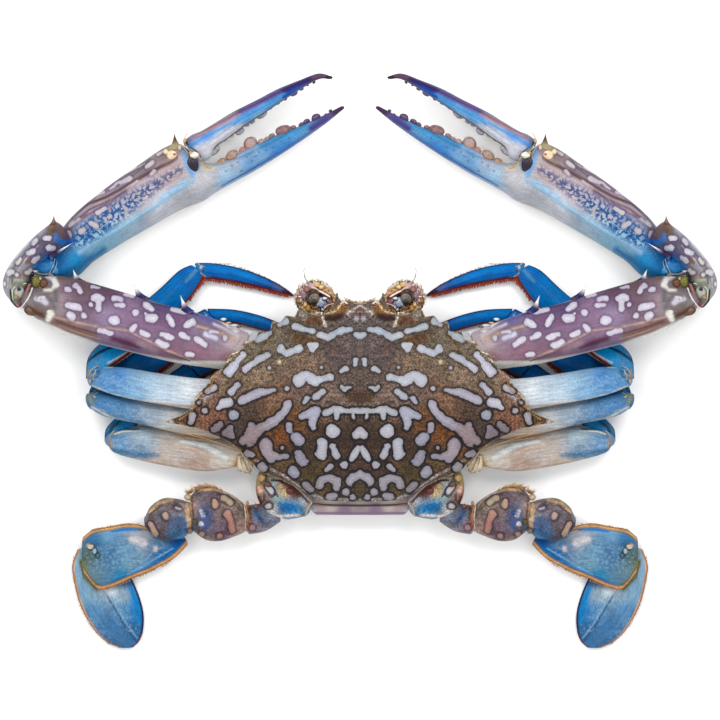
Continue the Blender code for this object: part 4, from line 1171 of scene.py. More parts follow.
def eye_finish():
    """A glossy dark cornea of fine facets."""
    p = Paint("eye")
    ground = p.value("tint", "Color")
    clouds = p.noise(0.9, 3.0, 0.7)
    facets = p.cells(0.11)
    colour = p.scaled(ground, p.span(clouds, 0.3, 0.7, 0.7, 1.35))
    colour = p.scaled(colour, p.span(facets, 0.1, 0.6, 1.12, 0.8))
    rough = p.span(clouds, 0.2, 0.8, 0.12, 0.22)
    facet = p.span(facets, 0, 0.6, 1.0, 0.0)
    return p.finish(colour, rough, ((facet, 0.02),), specular=0.35, coat=0.2, coat_rough=0.06)


# Looks. Places are pixels of the photograph's left half, and a chain is ((across, down, half width) ...)
SHELL_TINTS = (
    (345, 330, (108, 96, 92)), (300, 335, (112, 98, 80)), (335, 352, ASH), (310, 364, (138, 116, 98)),
    (275, 345, OLIVE_GREY), (240, 350, OLIVE_GREY), (262, 374, TAUPE), (230, 384, TAUPE),
    (205, 400, (136, 108, 92)), (352, 378, (106, 90, 84)), (330, 398, (128, 108, 98)),
    (290, 412, (118, 84, 56)), (250, 410, (92, 72, 58)), (275, 398, (130, 98, 76)),
    (303, 396, (124, 102, 94)), (212, 420, (146, 102, 80)), (180, 421, (128, 96, 62)),
    (240, 428, (84, 70, 62)), (284, 434, (132, 80, 34)), (297, 420, (124, 82, 44)), (300, 447, DUSK),
    (345, 440, DUSK), (310, 470, (92, 74, 42)), (280, 468, (110, 88, 58)), (342, 470, (88, 64, 54)),
    (345, 492, (96, 78, 50)), (310, 488, (104, 84, 46)), (315, 438, DUSK), (255, 455, (128, 92, 50)),
    (275, 450, (104, 72, 40)),
)
SHELL_MARKS = (
    ((356, 334, 2.8), (360, 335.5, 3.4)),
    ((320.5, 335, 3.6), (328, 337.5, 3.4), (336, 333.3, 3), (343.5, 330, 3.2), (351, 329.6, 2.4)),
    ((295, 326.5, 3.4), (304, 329, 3), (312.5, 331.3, 3)), ((280, 325.5, 2.2), (287, 321.5, 3)),
    ((258, 340, 3.4), (265, 335.6, 3.8), (270, 333, 2.6)),
    ((281.5, 346.5, 2.4), (281.5, 349.5, 3.6), (287, 354, 3.2), (293, 351.5, 3.2), (299, 348.5, 4)),
    ((309, 344.8, 2.2), (317, 344.8, 2.2), (313, 351, 1.9), (309, 344.8, 2.2)), ((313, 347, 2.5),),
    ((245, 369.5, 3), (254, 363.5, 3.2), (262, 358, 3.6), (268.5, 354.8, 3.2)),
    ((229.8, 371.5, 5.4), (238, 361.5, 3), (243.5, 355.5, 3.4)), ((270, 368, 1.6),), ((321.5, 367.3, 2),),
    ((287.3, 388.3, 1.8),), ((341, 371.5, 2), (346.5, 368.5, 2.4)), ((355.5, 360.5, 3), (355.5, 364, 2.6)),
    ((299.5, 380, 6.4), (306, 375.5, 4.6), (315.5, 380.5, 5.6), (322, 379, 3.4), (330.5, 377.3, 3.8)),
    ((231.5, 391.5, 3.6), (235.5, 387.5, 2.8), (238.3, 384, 2.8)),
    ((218.5, 407.5, 2.2), (224, 403, 4.4), (230, 401.5, 4)),
    ((241, 401.5, 3.4), (250, 396.5, 4.4), (262, 392, 4), (274, 390, 2.4)),
    ((316.5, 396.8, 3.4), (322.5, 391.3, 3.2)), ((304.8, 402.5, 2.2), (307.5, 398, 2.2)),
    ((341.5, 386.5, 1.6), (345, 389, 2.2), (350, 386.5, 1.6)), ((234.3, 414.3, 5),),
    ((214.5, 429.5, 3), (221, 424.2, 3)),
    ((231, 427, 2.4), (232.5, 437, 2.2), (224, 434, 2.2), (231, 427, 2.4)), ((229.5, 433, 3),),
    ((193, 415.5, 3.2), (190.8, 422.5, 2.6)), ((205.5, 410.3, 2.6),), ((199.5, 403, 2),),
    ((208.5, 391.3, 2.6), (215, 387, 2.6)),
    (
        (288.6, 404.5, 4.4), (284, 412, 3.4), (278, 418.5, 4.2), (268, 424.5, 4.6), (259, 429, 5),
        (251, 436.5, 7), (243, 441, 4),
    ),
    ((251.5, 424, 3), (252, 430, 5)), ((250, 444, 3.4),), ((314.5, 412.5, 6.4), (302, 416.5, 2.8)),
    ((313.5, 415, 5), (312, 423.5, 3.4), (313.5, 427.5, 2.8)), ((289.3, 424.7, 3), (290, 429.5, 3)),
    ((297.5, 437.5, 6), (299.5, 439.5, 5.8)), ((266, 443.5, 6), (267.5, 451, 6), (272, 458.5, 3.6)),
    ((270, 452, 4), (279, 457.5, 2.6), (286.5, 456, 2.6)), ((282.4, 447.3, 2.4),),
    ((299.3, 454, 4.4), (303, 461.5, 4.4), (307.5, 461, 1.6)), ((261.5, 466, 4), (264, 468, 3.8)),
    ((293, 471, 5.2), (295, 473, 4.8)), ((247.5, 453, 3.2), (252, 455, 3)),
    ((332, 430, 6.4), (334, 432, 6)), ((322, 442.5, 5), (322, 455, 4.4), (316.8, 454, 1.8)),
    ((333, 446.5, 3.2), (337, 456, 3.6)), ((331.5, 465, 2.6), (326.8, 470, 2.2)),
    ((355.5, 435, 4), (360, 431, 4)), ((358, 447, 3.2), (352, 458.5, 2.6)), ((344.3, 464, 3.8),),
    ((349.5, 482, 4), (353, 476.5, 4), (360, 474, 4)),
    ((319.5, 486, 3.8), (321, 479.5, 4), (329, 477, 3.6), (337, 480.5, 4), (337, 488, 3.2)),
    ((329, 496.5, 3.6), (334, 495.5, 3.6)), ((346.3, 491, 3.8),), ((352.7, 497, 3.2),),
    ((305.5, 484, 3.4), (310.5, 489.5, 3.4)),
    ((325, 413, 2.8), (334, 408.5, 3), (346, 410.5, 3), (360, 411, 3)),
    ((337, 411, 2.6), (337, 417.5, 2.4)), ((353.3, 411, 2.2), (353.3, 416.7, 2)),
)
REAR_EDGE = (
    (256, 460, 1), (270, 468.5, 1.6), (283, 475, 1.8), (297, 484.5, 1.8), (309, 493, 1.6), (322, 498, 1.2),
    (360, 500, 1),
)
# Pixels along the pale rim of each tooth on the shell's front edge
TOOTH_RIMS = (
    ((287, 316), (281, 319.5), (272, 321.5)), ((270, 328), (264, 331), (257, 333)),
    ((257, 337), (250, 341), (243, 342.5)), ((243, 347), (238, 352), (231.5, 354)),
    ((231, 358), (226, 364), (221.5, 366)), ((221, 370), (215, 375.5), (210, 377.5)),
    ((210, 381), (205, 387), (201, 389)), ((200.5, 393), (197.5, 397.5), (196, 400)),
)
SHELL_STROKES = (
    *((tuple((x, y, 0.5) for x, y in rim), (216, 204, 188), 1) for rim in TOOTH_RIMS),
    (((345, 391, 1.5), (351, 396, 4), (360, 397, 6)), (88, 64, 46), 4),
    (((279.5, 362, 2),), (196, 190, 152), 1.2),
    (((296, 337, 2.5), (307, 341, 3.5), (317, 341, 1.5)), (112, 78, 42), 3),
    (((308, 320, 3), (318, 321, 3.5)), (112, 76, 50), 3),
    (((272, 336, 1.5), (262, 346, 2)), (122, 98, 66), 3),
    (((330, 345, 3), (336, 352, 4)), (106, 84, 78), 4),
    (((338, 310, 4), (345, 311, 3.4), (344, 303, 3)), (136, 102, 66), 2.5),
    # Dark brown in the hollow under the eye: painted shade of the orbit's cavity
    (((327, 318.5, 2), (335, 318.5, 3), (341, 316, 2.4)), (66, 30, 16), 1.6),
    (((326, 313.5, 0.8), (334, 312, 0.8), (341, 305, 0.7)), (208, 180, 132), 0.9),
    (((322.5, 313, 1.2), (323, 318, 0.8), (325.5, 326, 1.4)), (196, 190, 176), 0.9),
    (((349, 313.5, 2.4), (354, 310, 1.5)), (186, 170, 170), 1.5),
    (((350, 312, 0.5), (360, 305.5, 0.6)), (222, 208, 196), 0.7),
    (((357, 310, 1.8), (360, 310, 2.4)), (136, 108, 102), 1.5), (((360, 315, 1),), BARK, 1),
    (((356.5, 318.5, 2.2),), (192, 184, 192), 1.4), (((354, 325, 2), (360, 326, 3)), (108, 104, 98), 2.5),
    (((301, 312, 2), (305, 318, 2)), (150, 140, 132), 2.5),
    (((288, 318, 1), (300, 309, 1)), (110, 106, 100), 1.2), (REAR_EDGE, (172, 160, 160), 1.3),
    (tuple((x, y - 2.6, 0.5) for x, y, _ in REAR_EDGE), (66, 50, 44), 0.9),
    (tuple((x - 0.4, y + 1.5, 0.4) for x, y, _ in REAR_EDGE), (84, 62, 56), 0.8),
    (((188, 424.5, 0.5), (221, 437.4, 0.7), (239, 446.3, 0.7), (254, 452, 0.6)), (44, 34, 50), 1.1),
    (((163, 421.8, 2), (171, 421.5, 1.8)), WHITE, 1.5),
    (((174, 420.5, 1.2), (184, 420, 1.8)), (100, 70, 42), 2),
    (((173, 419.4, 0.4), (188, 414, 0.5), (202, 404.5, 0.5)), (60, 44, 34), 0.9),
    (((200, 402, 1.6), (212, 393, 1.5)), (176, 166, 176), 2),
    (((222, 372, 1.5), (214, 380, 1.5)), (150, 112, 100), 2.5),
)
SHELL_PALE = (
    (300, 330, (190, 196, 206)), (340, 334, (186, 194, 206)), (262, 340, (184, 190, 198)),
    (285, 350, (196, 200, 210)), (313, 347, (204, 206, 216)), (302, 380, (194, 196, 208)),
    (330, 378, (196, 200, 210)), (236, 362, (206, 206, 220)), (250, 397, (184, 182, 196)),
    (222, 403, (202, 202, 214)), (234, 414, (176, 180, 194)), (205, 410, (190, 182, 190)),
    (192, 418, (186, 180, 190)), (252, 436, (170, 154, 160)), (283, 412, (186, 182, 196)),
    (222, 430, (160, 148, 156)), (268, 448, (178, 166, 176)), (298, 438, (170, 168, 184)),
    (314, 413, (182, 182, 198)), (302, 460, (168, 164, 180)), (332, 431, (194, 196, 206)),
    (322, 450, (190, 192, 202)), (345, 411, (190, 192, 200)), (356, 435, (190, 188, 196)),
    (352, 455, (196, 198, 208)), (330, 480, (178, 172, 182)), (352, 478, (182, 178, 190)),
    (295, 472, (176, 176, 190)), (262, 467, (176, 170, 180)), (308, 487, (164, 158, 166)),
)
SHELL = Look(
    SHELL_TINTS, SHELL_MARKS, strokes=SHELL_STROKES, rims=(("lead", 0.3, (176, 160, 132), 0, 0.9),),
    below=PEARL, soft=8, pale=SHELL_PALE, rim=2,
)

ARM_MARKS = (
    ((67, 289, 2.6), (70.5, 290.5, 2.6)), ((76, 286.5, 2.8), (79, 288, 2.6), (81, 292.5, 2.4)),
    ((69.5, 305, 3.2), (80.5, 308.5, 3.2)), ((70.5, 315, 3.8), (73, 317.5, 3.8)), ((84.5, 316, 3.2),),
    ((92.5, 286.3, 1.8), (99.5, 288, 1.8)), ((94, 298.5, 2.6), (98.5, 296.5, 3.4), (102.5, 299, 2.6)),
    ((99, 302, 2.6), (99.8, 309, 3)), ((91.8, 304.8, 1.8),), ((114.5, 320, 4.4), (116, 321.5, 4.4)),
    ((114.5, 298.2, 2.6), (121, 300, 2.6)), ((117.5, 305, 2.2), (124, 305.5, 2.2)), ((135.5, 312.5, 3.4),),
    ((126, 294.3, 2.2), (133.5, 295.6, 2.2)), ((133, 329, 3.2), (135.5, 326.5, 3)),
    ((142, 332, 2.8), (148.5, 335, 2.8)), ((146.5, 305, 3.4), (151.5, 309, 3.2)),
    ((150, 318, 4.2), (154.5, 318.5, 4)), ((146, 313.5, 1.2),), ((163, 334.5, 2.8), (172, 337.5, 2.8)),
    ((158.5, 342, 3.2), (166.5, 345, 3.2)), ((168.5, 317, 3), (171, 320, 3), (173.5, 324.5, 2.8)),
    ((172.5, 309.5, 2.4), (185.5, 312.3, 2.6)), ((187, 325.5, 3.6), (192.5, 321.5, 3.4)),
    ((182, 335, 2.6), (189, 338.5, 2.6)), ((196.5, 339, 2.8), (205, 345, 2.8)),
    ((187.5, 354, 2.4), (193, 354.3, 2.4)), ((211, 331.5, 1.7), (218, 332.5, 1.7)), ((225.5, 338, 2.6),),
    ((233, 325, 2.2), (237.5, 326.5, 2.2)), ((101, 330, 2.6), (112, 333.5, 2.6)),
)
ARM_STROKES = (
    (((58, 300, 6), (62, 310, 4)), (160, 144, 154), 6),
    (((56, 322, 2), (80, 331, 3), (95, 336, 2.5)), (142, 108, 98), 4.5),
    (((58, 321, 0.4), (78, 328, 0.5), (97, 333.5, 0.4)), (106, 68, 60), 1),
    (((60, 326, 0.4), (80, 333, 0.5), (100, 339, 0.4)), (176, 150, 142), 1),
    (((64, 329.5, 0.4), (86, 337, 0.4)), (116, 78, 70), 1),
    (((114, 338.5, 1.6), (128, 343, 2.4), (140, 347, 1)), (96, 42, 72), 4.5),
    (((140, 343, 2), (156, 352, 2)), ROSE_GREY, 3),
    (
        ((40, 322, 1.5), (70, 336, 2.5), (100, 347, 2.5), (140, 357, 3), (180, 364, 3), (240, 366, 4)),
        MILK, 2,
    ),
    (
        (
            (55, 317, 0.7), (75, 322, 0.8), (101, 327.5, 0.8), (128, 330.5, 0.8), (148, 340, 0.8),
            (165, 349.5, 0.8), (190, 359, 0.7),
        ),
        (190, 164, 152), 1.2,
    ),
    (((166, 353, 0.3), (190, 361, 0.5)), (120, 90, 100), 0.8),
    (((194, 325, 0.4), (208, 329, 0.7), (222, 334, 0.9), (236, 340, 0.8)), (206, 184, 152), 2),
    (((214, 324, 1), (228, 330, 1.2), (238, 336, 1)), (206, 196, 206), 1.6),
    (
        (
            (96, 285, 0.5), (120, 291.5, 0.7), (134, 294, 0.7), (152, 303, 0.8), (178, 309, 0.8),
            (198, 315, 0.6),
        ),
        (56, 44, 88), 1.2,
    ),
    (((185, 308, 1.5), (215, 317, 2)), (98, 108, 176), 3),
    # White at the arm's inner end: painted highlight
    (((218, 317, 2), (226, 321, 3), (236, 329, 3)), (232, 230, 228), 2),
    (((206, 334, 2), (216, 338, 2)), (206, 206, 224), 2),
    (((62, 276, 3), (80, 277, 1.5)), (142, 108, 84), 2.5),
    (((47, 277, 1), (54, 279, 2.2), (57, 285, 2.4), (53, 290, 1.2), (45, 290.5, 0.7)), MILK, 1.8),
    (((34, 276, 2.2),), SOOT, 1.5), (((57, 300, 1.4), (56, 291, 1.4)), (106, 108, 108), 4),
    (((30, 300, 5), (40, 296, 5)), (134, 128, 130), 4),
    (((37, 299, 1.6), (44, 300, 2.6), (47, 303, 2)), (204, 202, 214), 2.5),
    (((27, 308, 2), (34, 312, 3), (43, 315.5, 2)), (104, 66, 46), 3),
    (((52, 314, 3), (49, 320, 2)), MILK, 2), (((28, 318, 1.5), (45, 325, 1.5)), MILK, 1.5),
    (((52, 300, 0.8), (56, 308, 0.8)), (96, 106, 112), 3.5),
)
ARM_LOOK = Look(
    (
        (62, 300, (148, 130, 142)), (90, 300, (124, 100, 118)), (66, 320, (144, 122, 132)),
        (112, 312, (154, 136, 166)), (124, 310, (150, 124, 154)), (140, 322, (146, 118, 150)),
        (160, 326, (134, 106, 138)), (178, 328, (130, 98, 134)), (200, 326, (146, 126, 150)),
        (216, 338, (156, 138, 158)), (200, 350, (158, 122, 140)), (170, 345, (142, 108, 130)),
        (206, 316, (108, 104, 164)), (88, 284, (124, 98, 100)), (160, 303, (100, 80, 124)),
        (110, 294, (118, 86, 112)), (235, 345, (196, 184, 190)), (230, 358, (150, 112, 130)),
        (48, 305, (120, 108, 106)),
    ),
    ARM_MARKS, strokes=ARM_STROKES, below=MILK,
    pale=((100, 310, (210, 206, 220)), (200, 330, (214, 212, 224))),
    ridges=(
        (
            (
                (55, 317, 0.6), (75, 322, 0.8), (101, 327.5, 0.8), (128, 330.5, 0.8), (148, 340, 0.8),
                (165, 349.5, 0.6),
            ),
            0.5,
        ),
        (((60, 324, 1), (95, 336, 1.4), (135, 347, 1), (160, 354, 0.4)), -0.5),
        (((40, 282, 4), (46, 282, 4)), 1.2), (((22, 288, 4), (30, 302, 5), (36, 314, 3)), 0.8),
    ),
)
ARM_BASE = Look(((260, 340, PEARL), (250, 360, BONE)), below=MILK)
WRIST = Look(
    (
        (47, 243, (96, 88, 112)), (35, 250, (106, 98, 118)), (22, 266, (164, 158, 166)),
        (8, 290, (160, 158, 168)), (55, 262, (0, 116, 196)), (61, 234, (104, 84, 88)),
        (40, 285, (112, 90, 60)), (50, 275, (0, 118, 198)), (68, 240, (96, 80, 110)),
        (74, 256, (0, 120, 196)), (14, 258, (140, 136, 148)), (26, 242, (146, 144, 156)),
        (42, 230, (150, 146, 158)), (22, 284, (150, 156, 146)),
    ),
    (
        ((46.5, 238.2, 3.2), (49.5, 238, 3)), ((49.5, 248.5, 2.8), (54, 248.2, 2.8)),
        ((36.5, 241, 3.2), (34, 244, 2.4)), ((29, 254, 2.6), (34.5, 251, 2.6)),
        ((34, 261.5, 2.4), (39.5, 258.5, 2.4)), ((28, 273, 2.8), (31.5, 271, 2.8)),
        ((18, 263, 1.8), (21, 260, 1.8)), ((10, 273.5, 3), (13, 272, 2.6)), ((5, 284, 2),),
        ((17.5, 275, 1.6),),
    ),
    strokes=(
        (((28, 262.5, 1.8), (31, 259.5, 1.8)), (130, 100, 74), 2),
        (((20, 277, 1.4), (24, 276, 1.4)), (176, 142, 120), 1.5),
        (((36, 268, 1.6), (44, 262, 3.4), (54, 260, 3.4)), (20, 140, 212), 3),
        (((44, 261, 1.4), (47, 264, 1)), (116, 186, 226), 1.5),
        (((50, 256, 1.5), (60, 252, 1.6), (70, 246, 1.2)), (78, 50, 98), 2),
        (((52, 270, 0.6), (60, 258, 0.6)), (170, 196, 220), 0.8),
        (((52, 229, 5), (55, 223, 4)), (108, 76, 62), 2.5),
        (((56, 235, 0.8), (58, 240, 1.6), (64, 243.6, 1.6), (72, 241, 1.2)), (0, 122, 196), 2.5),
        (((50, 234, 2),), (112, 112, 66), 2),
        (((12, 292, 1), (11, 284, 1), (16, 280, 1), (24, 281, 1)), (176, 180, 166), 1.5),
        (((4, 286, 0.8), (6, 268, 0.8), (16, 250, 0.8), (28, 237, 0.8), (42, 228, 0.8)), (92, 84, 92), 1),
        (((8, 287, 0.6), (10, 268, 0.6), (20, 253, 0.6), (33, 240, 0.6)), (196, 196, 206), 0.8),
        (((13, 284, 0.4), (15, 268, 0.5), (24, 256, 0.5), (36, 244, 0.4)), (100, 90, 100), 0.8),
        (((17, 281, 0.4), (19.5, 270, 0.4), (28, 258, 0.5), (40, 245, 0.3)), (184, 182, 192), 0.7),
    ),
    below=PEARL, pale=((40, 250, (206, 206, 216)), (20, 270, (216, 214, 214))), rim=0.5,
    ridges=((((6, 284, 0.8), (9, 266, 0.8), (20, 250, 0.8), (36, 236, 0.8), (50, 226, 0.6)), 0.5),),
)
CLAW_DOTS = (
    (232, 166), (238, 162.5), (247, 157), (252, 161), (259, 152), (266, 150), (241, 171), (273, 147),
    (281, 141), (226, 171), (289, 138), (256, 156),
)
HAND_STROKES = (
    (
        (
            (61, 228, 1.2), (74, 214, 1.3), (88, 203.7, 1.4), (107, 197, 1.4), (125, 187, 1.4),
            (146, 174.6, 1.4), (164, 165.5, 1.2),
        ),
        (104, 76, 78), 1.4,
    ),
    # A pale line along the second ridge: painted highlight
    (((89, 213, 0.5), (112.5, 200, 0.6), (138, 181, 0.5)), (222, 200, 206), 1),
    (((84, 217, 1), (104, 206, 1), (126, 192, 1)), (134, 100, 124), 3),
    (
        ((66, 222, 0.4), (90, 198.5, 0.5), (110, 187, 0.5), (130, 172.5, 0.5), (150, 159, 0.5)),
        (70, 62, 80), 0.9,
    ),
    (((72, 219.5, 0.4), (96, 197, 0.5), (122, 183.5, 0.4), (146, 166, 0.4)), (86, 76, 96), 0.9),
    (((60, 240, 2), (66, 243, 2.2), (75, 241, 2)), (16, 108, 196), 2),
    (((80, 252, 1), (110, 235, 1.6), (150, 210, 1.6), (194, 180, 1)), (156, 192, 218), 4),
    (((66, 276, 2), (76, 270, 3), (90, 260, 3), (104, 250, 2)), (40, 134, 186), 4),
    (((96, 262, 0.6), (130, 240, 0.7), (160, 222, 0.7), (205, 202, 0.6)), (150, 160, 176), 1.2),
    (((184, 148, 1), (186, 163, 1.4), (192.5, 175, 1.6), (199, 165, 1)), (112, 172, 220), 3),
    (((166, 147, 3), (172, 150, 2)), (150, 138, 110), 2.5),
    (((160, 168, 1.2), (170, 163, 1.2), (177, 158, 1)), (104, 66, 54), 1.6),
    (((187, 181, 1), (172, 190, 1), (160, 198, 0.6)), (158, 198, 228), 3),
    (((222, 186, 0.5), (247, 172, 0.7), (280, 153, 0.8), (310, 133, 0.8)), (50, 116, 186), 1.4),
    (((222, 191, 1), (250, 175.5, 1.2), (280, 157, 1.4), (310, 137, 1.4)), (96, 128, 196), 1.5),
    (((240, 182, 0.7), (262, 168.5, 0.9), (298, 145, 1), (325, 126, 1)), (124, 74, 134), 1.4),
    (((262, 146, 2), (285, 137, 3), (305, 126, 2)), (74, 152, 200), 4),
    (((312, 128, 3), (325, 119, 3)), (84, 76, 150), 3.5),
    (((335, 112, 2.5), (343, 106, 2)), (74, 46, 84), 2.5),
    (((201, 163, 0.8), (206, 168.5, 1.2), (214, 168.5, 1)), (222, 206, 172), 1.4),
    (((68, 219, 0.35), (92, 195.5, 0.4), (118, 180, 0.4), (145, 163.5, 0.35)), (206, 198, 208), 0.7),
    (((64, 230, 0.4), (90, 209.5, 0.5), (112, 199.5, 0.5), (132, 187.5, 0.4)), (96, 70, 84), 0.9),
    (((100, 190.5, 0.4), (125, 176, 0.5), (150, 162.5, 0.4)), (84, 74, 96), 0.8),
    *((((x, y, 0.6),), (70, 88, 126), 0.9) for x, y in CLAW_DOTS),
    (((76, 246, 0.6), (98, 234, 0.8), (118, 222, 0.6)), (160, 198, 220), 2.5),
)
HAND_LOOK = Look(
    (
        (62, 236, (96, 84, 112)), (84, 208, (168, 152, 168)), (110, 190, (166, 148, 168)),
        (140, 168, (140, 124, 136)), (160, 155, (146, 132, 132)), (58, 262, (0, 112, 176)),
        (76, 262, (16, 148, 200)), (92, 244, (140, 178, 204)), (92, 228, (160, 170, 188)),
        (108, 208, (190, 178, 184)), (122, 208, (186, 182, 192)), (148, 190, (196, 184, 192)),
        (170, 174, (196, 180, 184)), (98, 246, (132, 186, 210)), (112, 238, (150, 190, 212)),
        (130, 226, (170, 192, 208)), (160, 206, (208, 212, 220)), (186, 192, (190, 192, 200)),
        (206, 176, (194, 194, 200)), (230, 162, (170, 182, 198)), (230, 180, (160, 194, 220)),
        (255, 150, (132, 172, 206)), (252, 166, (118, 166, 208)), (276, 140, (92, 156, 206)),
        (282, 150, (60, 134, 200)), (305, 130, (100, 158, 200)), (336, 110, (98, 82, 140)),
    ),
    (
        ((70, 226, 2.2), (79, 219.5, 2)), ((68.7, 235, 4.2),), ((82, 232, 3.4), (85, 229.5, 2.4)),
        ((92, 223.5, 2.8), (97, 226, 2.4)), ((98, 213, 2.2), (105, 208.5, 2.2)),
        ((120, 183, 2), (131, 178.5, 2)), ((146.5, 166.5, 2), (152, 162.3, 2.4)),
        ((151.5, 174, 2.2), (154.5, 171, 2.2)), ((91, 198, 1), (104, 192, 1.1)),
        ((158, 154.5, 1.4), (163, 151, 1.2)), ((126, 173, 1), (136, 167, 1.1)),
        ((110, 188.5, 1.1), (118, 183, 1)),
    ),
    net=(
        (
            (70, 243, 6), (80, 238, 10), (96, 227, 12), (114, 214, 11), (136, 199, 9), (158, 184, 6),
            (180, 170, 4),
        ),
    ),
    strokes=HAND_STROKES, below=MILK,
    pale=((70, 230, (196, 190, 196)), (110, 200, (206, 200, 210)), (155, 165, (210, 202, 204))),
    ridges=(
        (
            (
                (61, 227, 0.8), (88, 203, 1), (107, 196.5, 1), (125, 187.5, 1), (146, 174, 1),
                (166, 164, 0.8),
            ),
            0.7,
        ),
        (((86, 214.5, 0.6), (112.5, 200, 0.8), (138, 181.5, 0.6)), 0.5),
        (((66, 221, 0.5), (100, 191.5, 0.6), (150, 159.5, 0.5)), 0.35),
        (((80, 252, 0.8), (110, 235, 1), (150, 210, 1), (194, 180, 0.8)), 0.4),
        (((230, 182, 0.8), (262, 164.5, 1), (298, 142, 0.8)), 0.4),
    ),
)
FINGER = Look(
    (
        (196, 150, (208, 210, 222)), (190, 145, (90, 156, 214)), (212, 148, (226, 228, 234)),
        (222, 132, (190, 202, 220)), (235, 130, (200, 204, 214)), (206, 136, (110, 164, 220)),
        (245, 114, (96, 158, 212)), (258, 115, (160, 196, 222)), (250, 106, (96, 100, 170)),
        (275, 99, (40, 146, 210)), (282, 101, (60, 166, 216)), (300, 84, (46, 46, 116)),
        (318, 78, (84, 66, 100)), (330, 76, (60, 34, 42)),
    ),
    strokes=(
        (((186, 141, 1.2), (198, 135, 1.8), (215, 125.5, 2), (240, 111.5, 1.6)), (138, 104, 122), 3.5),
        (((240, 111, 2), (262, 100.5, 2.4), (285, 89, 2.4)), (96, 70, 138), 2.5),
        (((285, 90, 3), (305, 82, 3), (315, 80, 2.5)), (52, 38, 112), 3),
        (
            ((192, 145, 1), (206, 136.5, 1), (225, 126.5, 1), (255, 111, 1.3), (285, 96.5, 1.3)),
            (88, 156, 214), 3,
        ),
        (((235, 124, 1.2), (262, 108.5, 1.6), (284, 96.5, 1.6)), (98, 168, 218), 4),
        (((284, 97, 1.4), (298, 89, 2), (308, 85.5, 1.4)), (28, 96, 196), 2),
        (((314, 77.5, 2), (324, 76.5, 2.2)), (108, 74, 108), 2.5), (((328, 77, 2),), (46, 28, 34), 2),
        (((192, 139, 0.5), (215, 127, 0.6), (240, 114.5, 0.5)), (180, 140, 150), 0.8),
        (((206, 148, 3), (220, 140, 2.5), (240, 127, 2)), (214, 214, 222), 3),
        (((195, 153, 1), (204, 150, 1.4)), (206, 200, 214), 2),
    ),
    rims=(("trail", 0.45, (84, 64, 70), 0.2, 1), ("lead", 0.4, (64, 44, 66), 0.05, 1)), below=MILK, soft=6,
    ridges=(
        (((196, 138.5, 0.7), (225, 123, 0.8), (255, 107, 0.8), (290, 90, 0.7), (312, 80, 0.6)), 0.5),
        (((205, 147, 0.5), (240, 121, 0.7), (275, 101.5, 0.6)), -0.35),
    ),
)
BLADE_FLECKS = (((98, 560, 14), (130, 556, 16), (160, 550, 8)),)
PADDLE_FLECKS = (((96, 600, 8), (118, 606, 12), (130, 628, 9)), ((88, 620, 6), (110, 640, 4)))
THIGH_FLECKS = (((96, 378, 8), (140, 386, 10)), ((96, 406, 7), (145, 416, 9)), ((112, 444, 7), (155, 450, 8)))
LEG_RIMS = (("lead", 0.5, (20, 36, 70), 0, 1), ("trail", 0.7, (140, 52, 26), 0, 1))
LEG2_TOP = Look(
    (
        (92, 372, (84, 140, 176)), (104, 368, (96, 156, 200)), (106, 382, (104, 160, 206)),
        (122, 374, (84, 150, 212)), (130, 390, (120, 168, 212)), (136, 372, (150, 190, 212)),
        (144, 378, (176, 202, 220)), (160, 386, (190, 208, 222)), (190, 386, (220, 226, 232)),
        (240, 384, (232, 232, 234)), (160, 400, (196, 208, 220)), (134, 392, (150, 190, 216)),
    ),
    strokes=(
        (((88.5, 371, 0.8), (91.5, 378, 1.6)), (176, 150, 122), 3),
        (((94, 369, 0.6), (100, 367, 0.6), (112, 367, 0.6)), (196, 206, 190), 1),
        (((93, 386, 0.5), (110, 394, 0.6), (135, 400, 0.6)), (220, 216, 206), 1.8),
        (((135, 400.5, 0.6), (165, 404, 0.7), (215, 409, 0.7)), (206, 188, 170), 2),
        (((92, 382, 0.8), (97, 376, 0.8), (100, 371, 0.6)), (60, 110, 150), 1.2),
    ),
    below=PEARL, soft=12, net=THIGH_FLECKS,
    ridges=((((95, 386, 0.8), (112, 394.5, 0.9), (140, 401, 0.9), (180, 406, 0.8)), 0.35),),
)
LEG2 = Look(
    (
        # The first tint, lighter than the blue beside it, is painted light where the arm's shadow falls
        (110, 353, (20, 160, 214)), (120, 350, (14, 146, 206)), (96, 360, (70, 144, 190)),
        (140, 330, (8, 116, 188)), (170, 300, (0, 124, 190)), (186, 275, (6, 116, 188)),
        (150, 320, (10, 120, 192)),
    ),
    strokes=(
        (((86, 362, 1), (100, 352, 1), (116, 345, 1)), (28, 60, 90), 1.5),
        (((108, 363, 0.5), (128, 352, 0.6)), (214, 206, 188), 1),
        (((128, 320, 2), (160, 291, 2.5), (176, 277, 2)), (0, 128, 196), 4),
        (((186, 281, 1), (196, 270, 1)), (90, 150, 190), 2.5),
    ),
    rims=LEG_RIMS, below=(50, 120, 180), soft=6,
    ridges=((((122, 330, 1), (160, 297, 1.2), (186, 273, 1)), 0.3),),
)
LEG2_END = Look(
    (
        (196, 267, (60, 140, 190)), (210, 268, (8, 112, 186)), (240, 275, (8, 120, 190)),
        (268, 284, (10, 104, 178)), (292, 295, (60, 24, 40)), (280, 288, (96, 112, 170)),
    ),
    strokes=(
        (((206, 266, 1.5), (240, 272, 1.6), (266, 281, 1)), (0, 130, 200), 2.5),
        (((212, 277, 0.8), (240, 282, 1), (270, 288.5, 1)), (56, 60, 130), 1.5),
        (((284, 291, 1.4), (292, 295, 1.2)), (74, 26, 40), 2.5),
    ),
    rims=LEG_RIMS, below=(60, 130, 190), soft=6,
    ridges=((((205, 271, 0.6), (240, 276, 0.7), (275, 288, 0.5)), 0.3),),
)
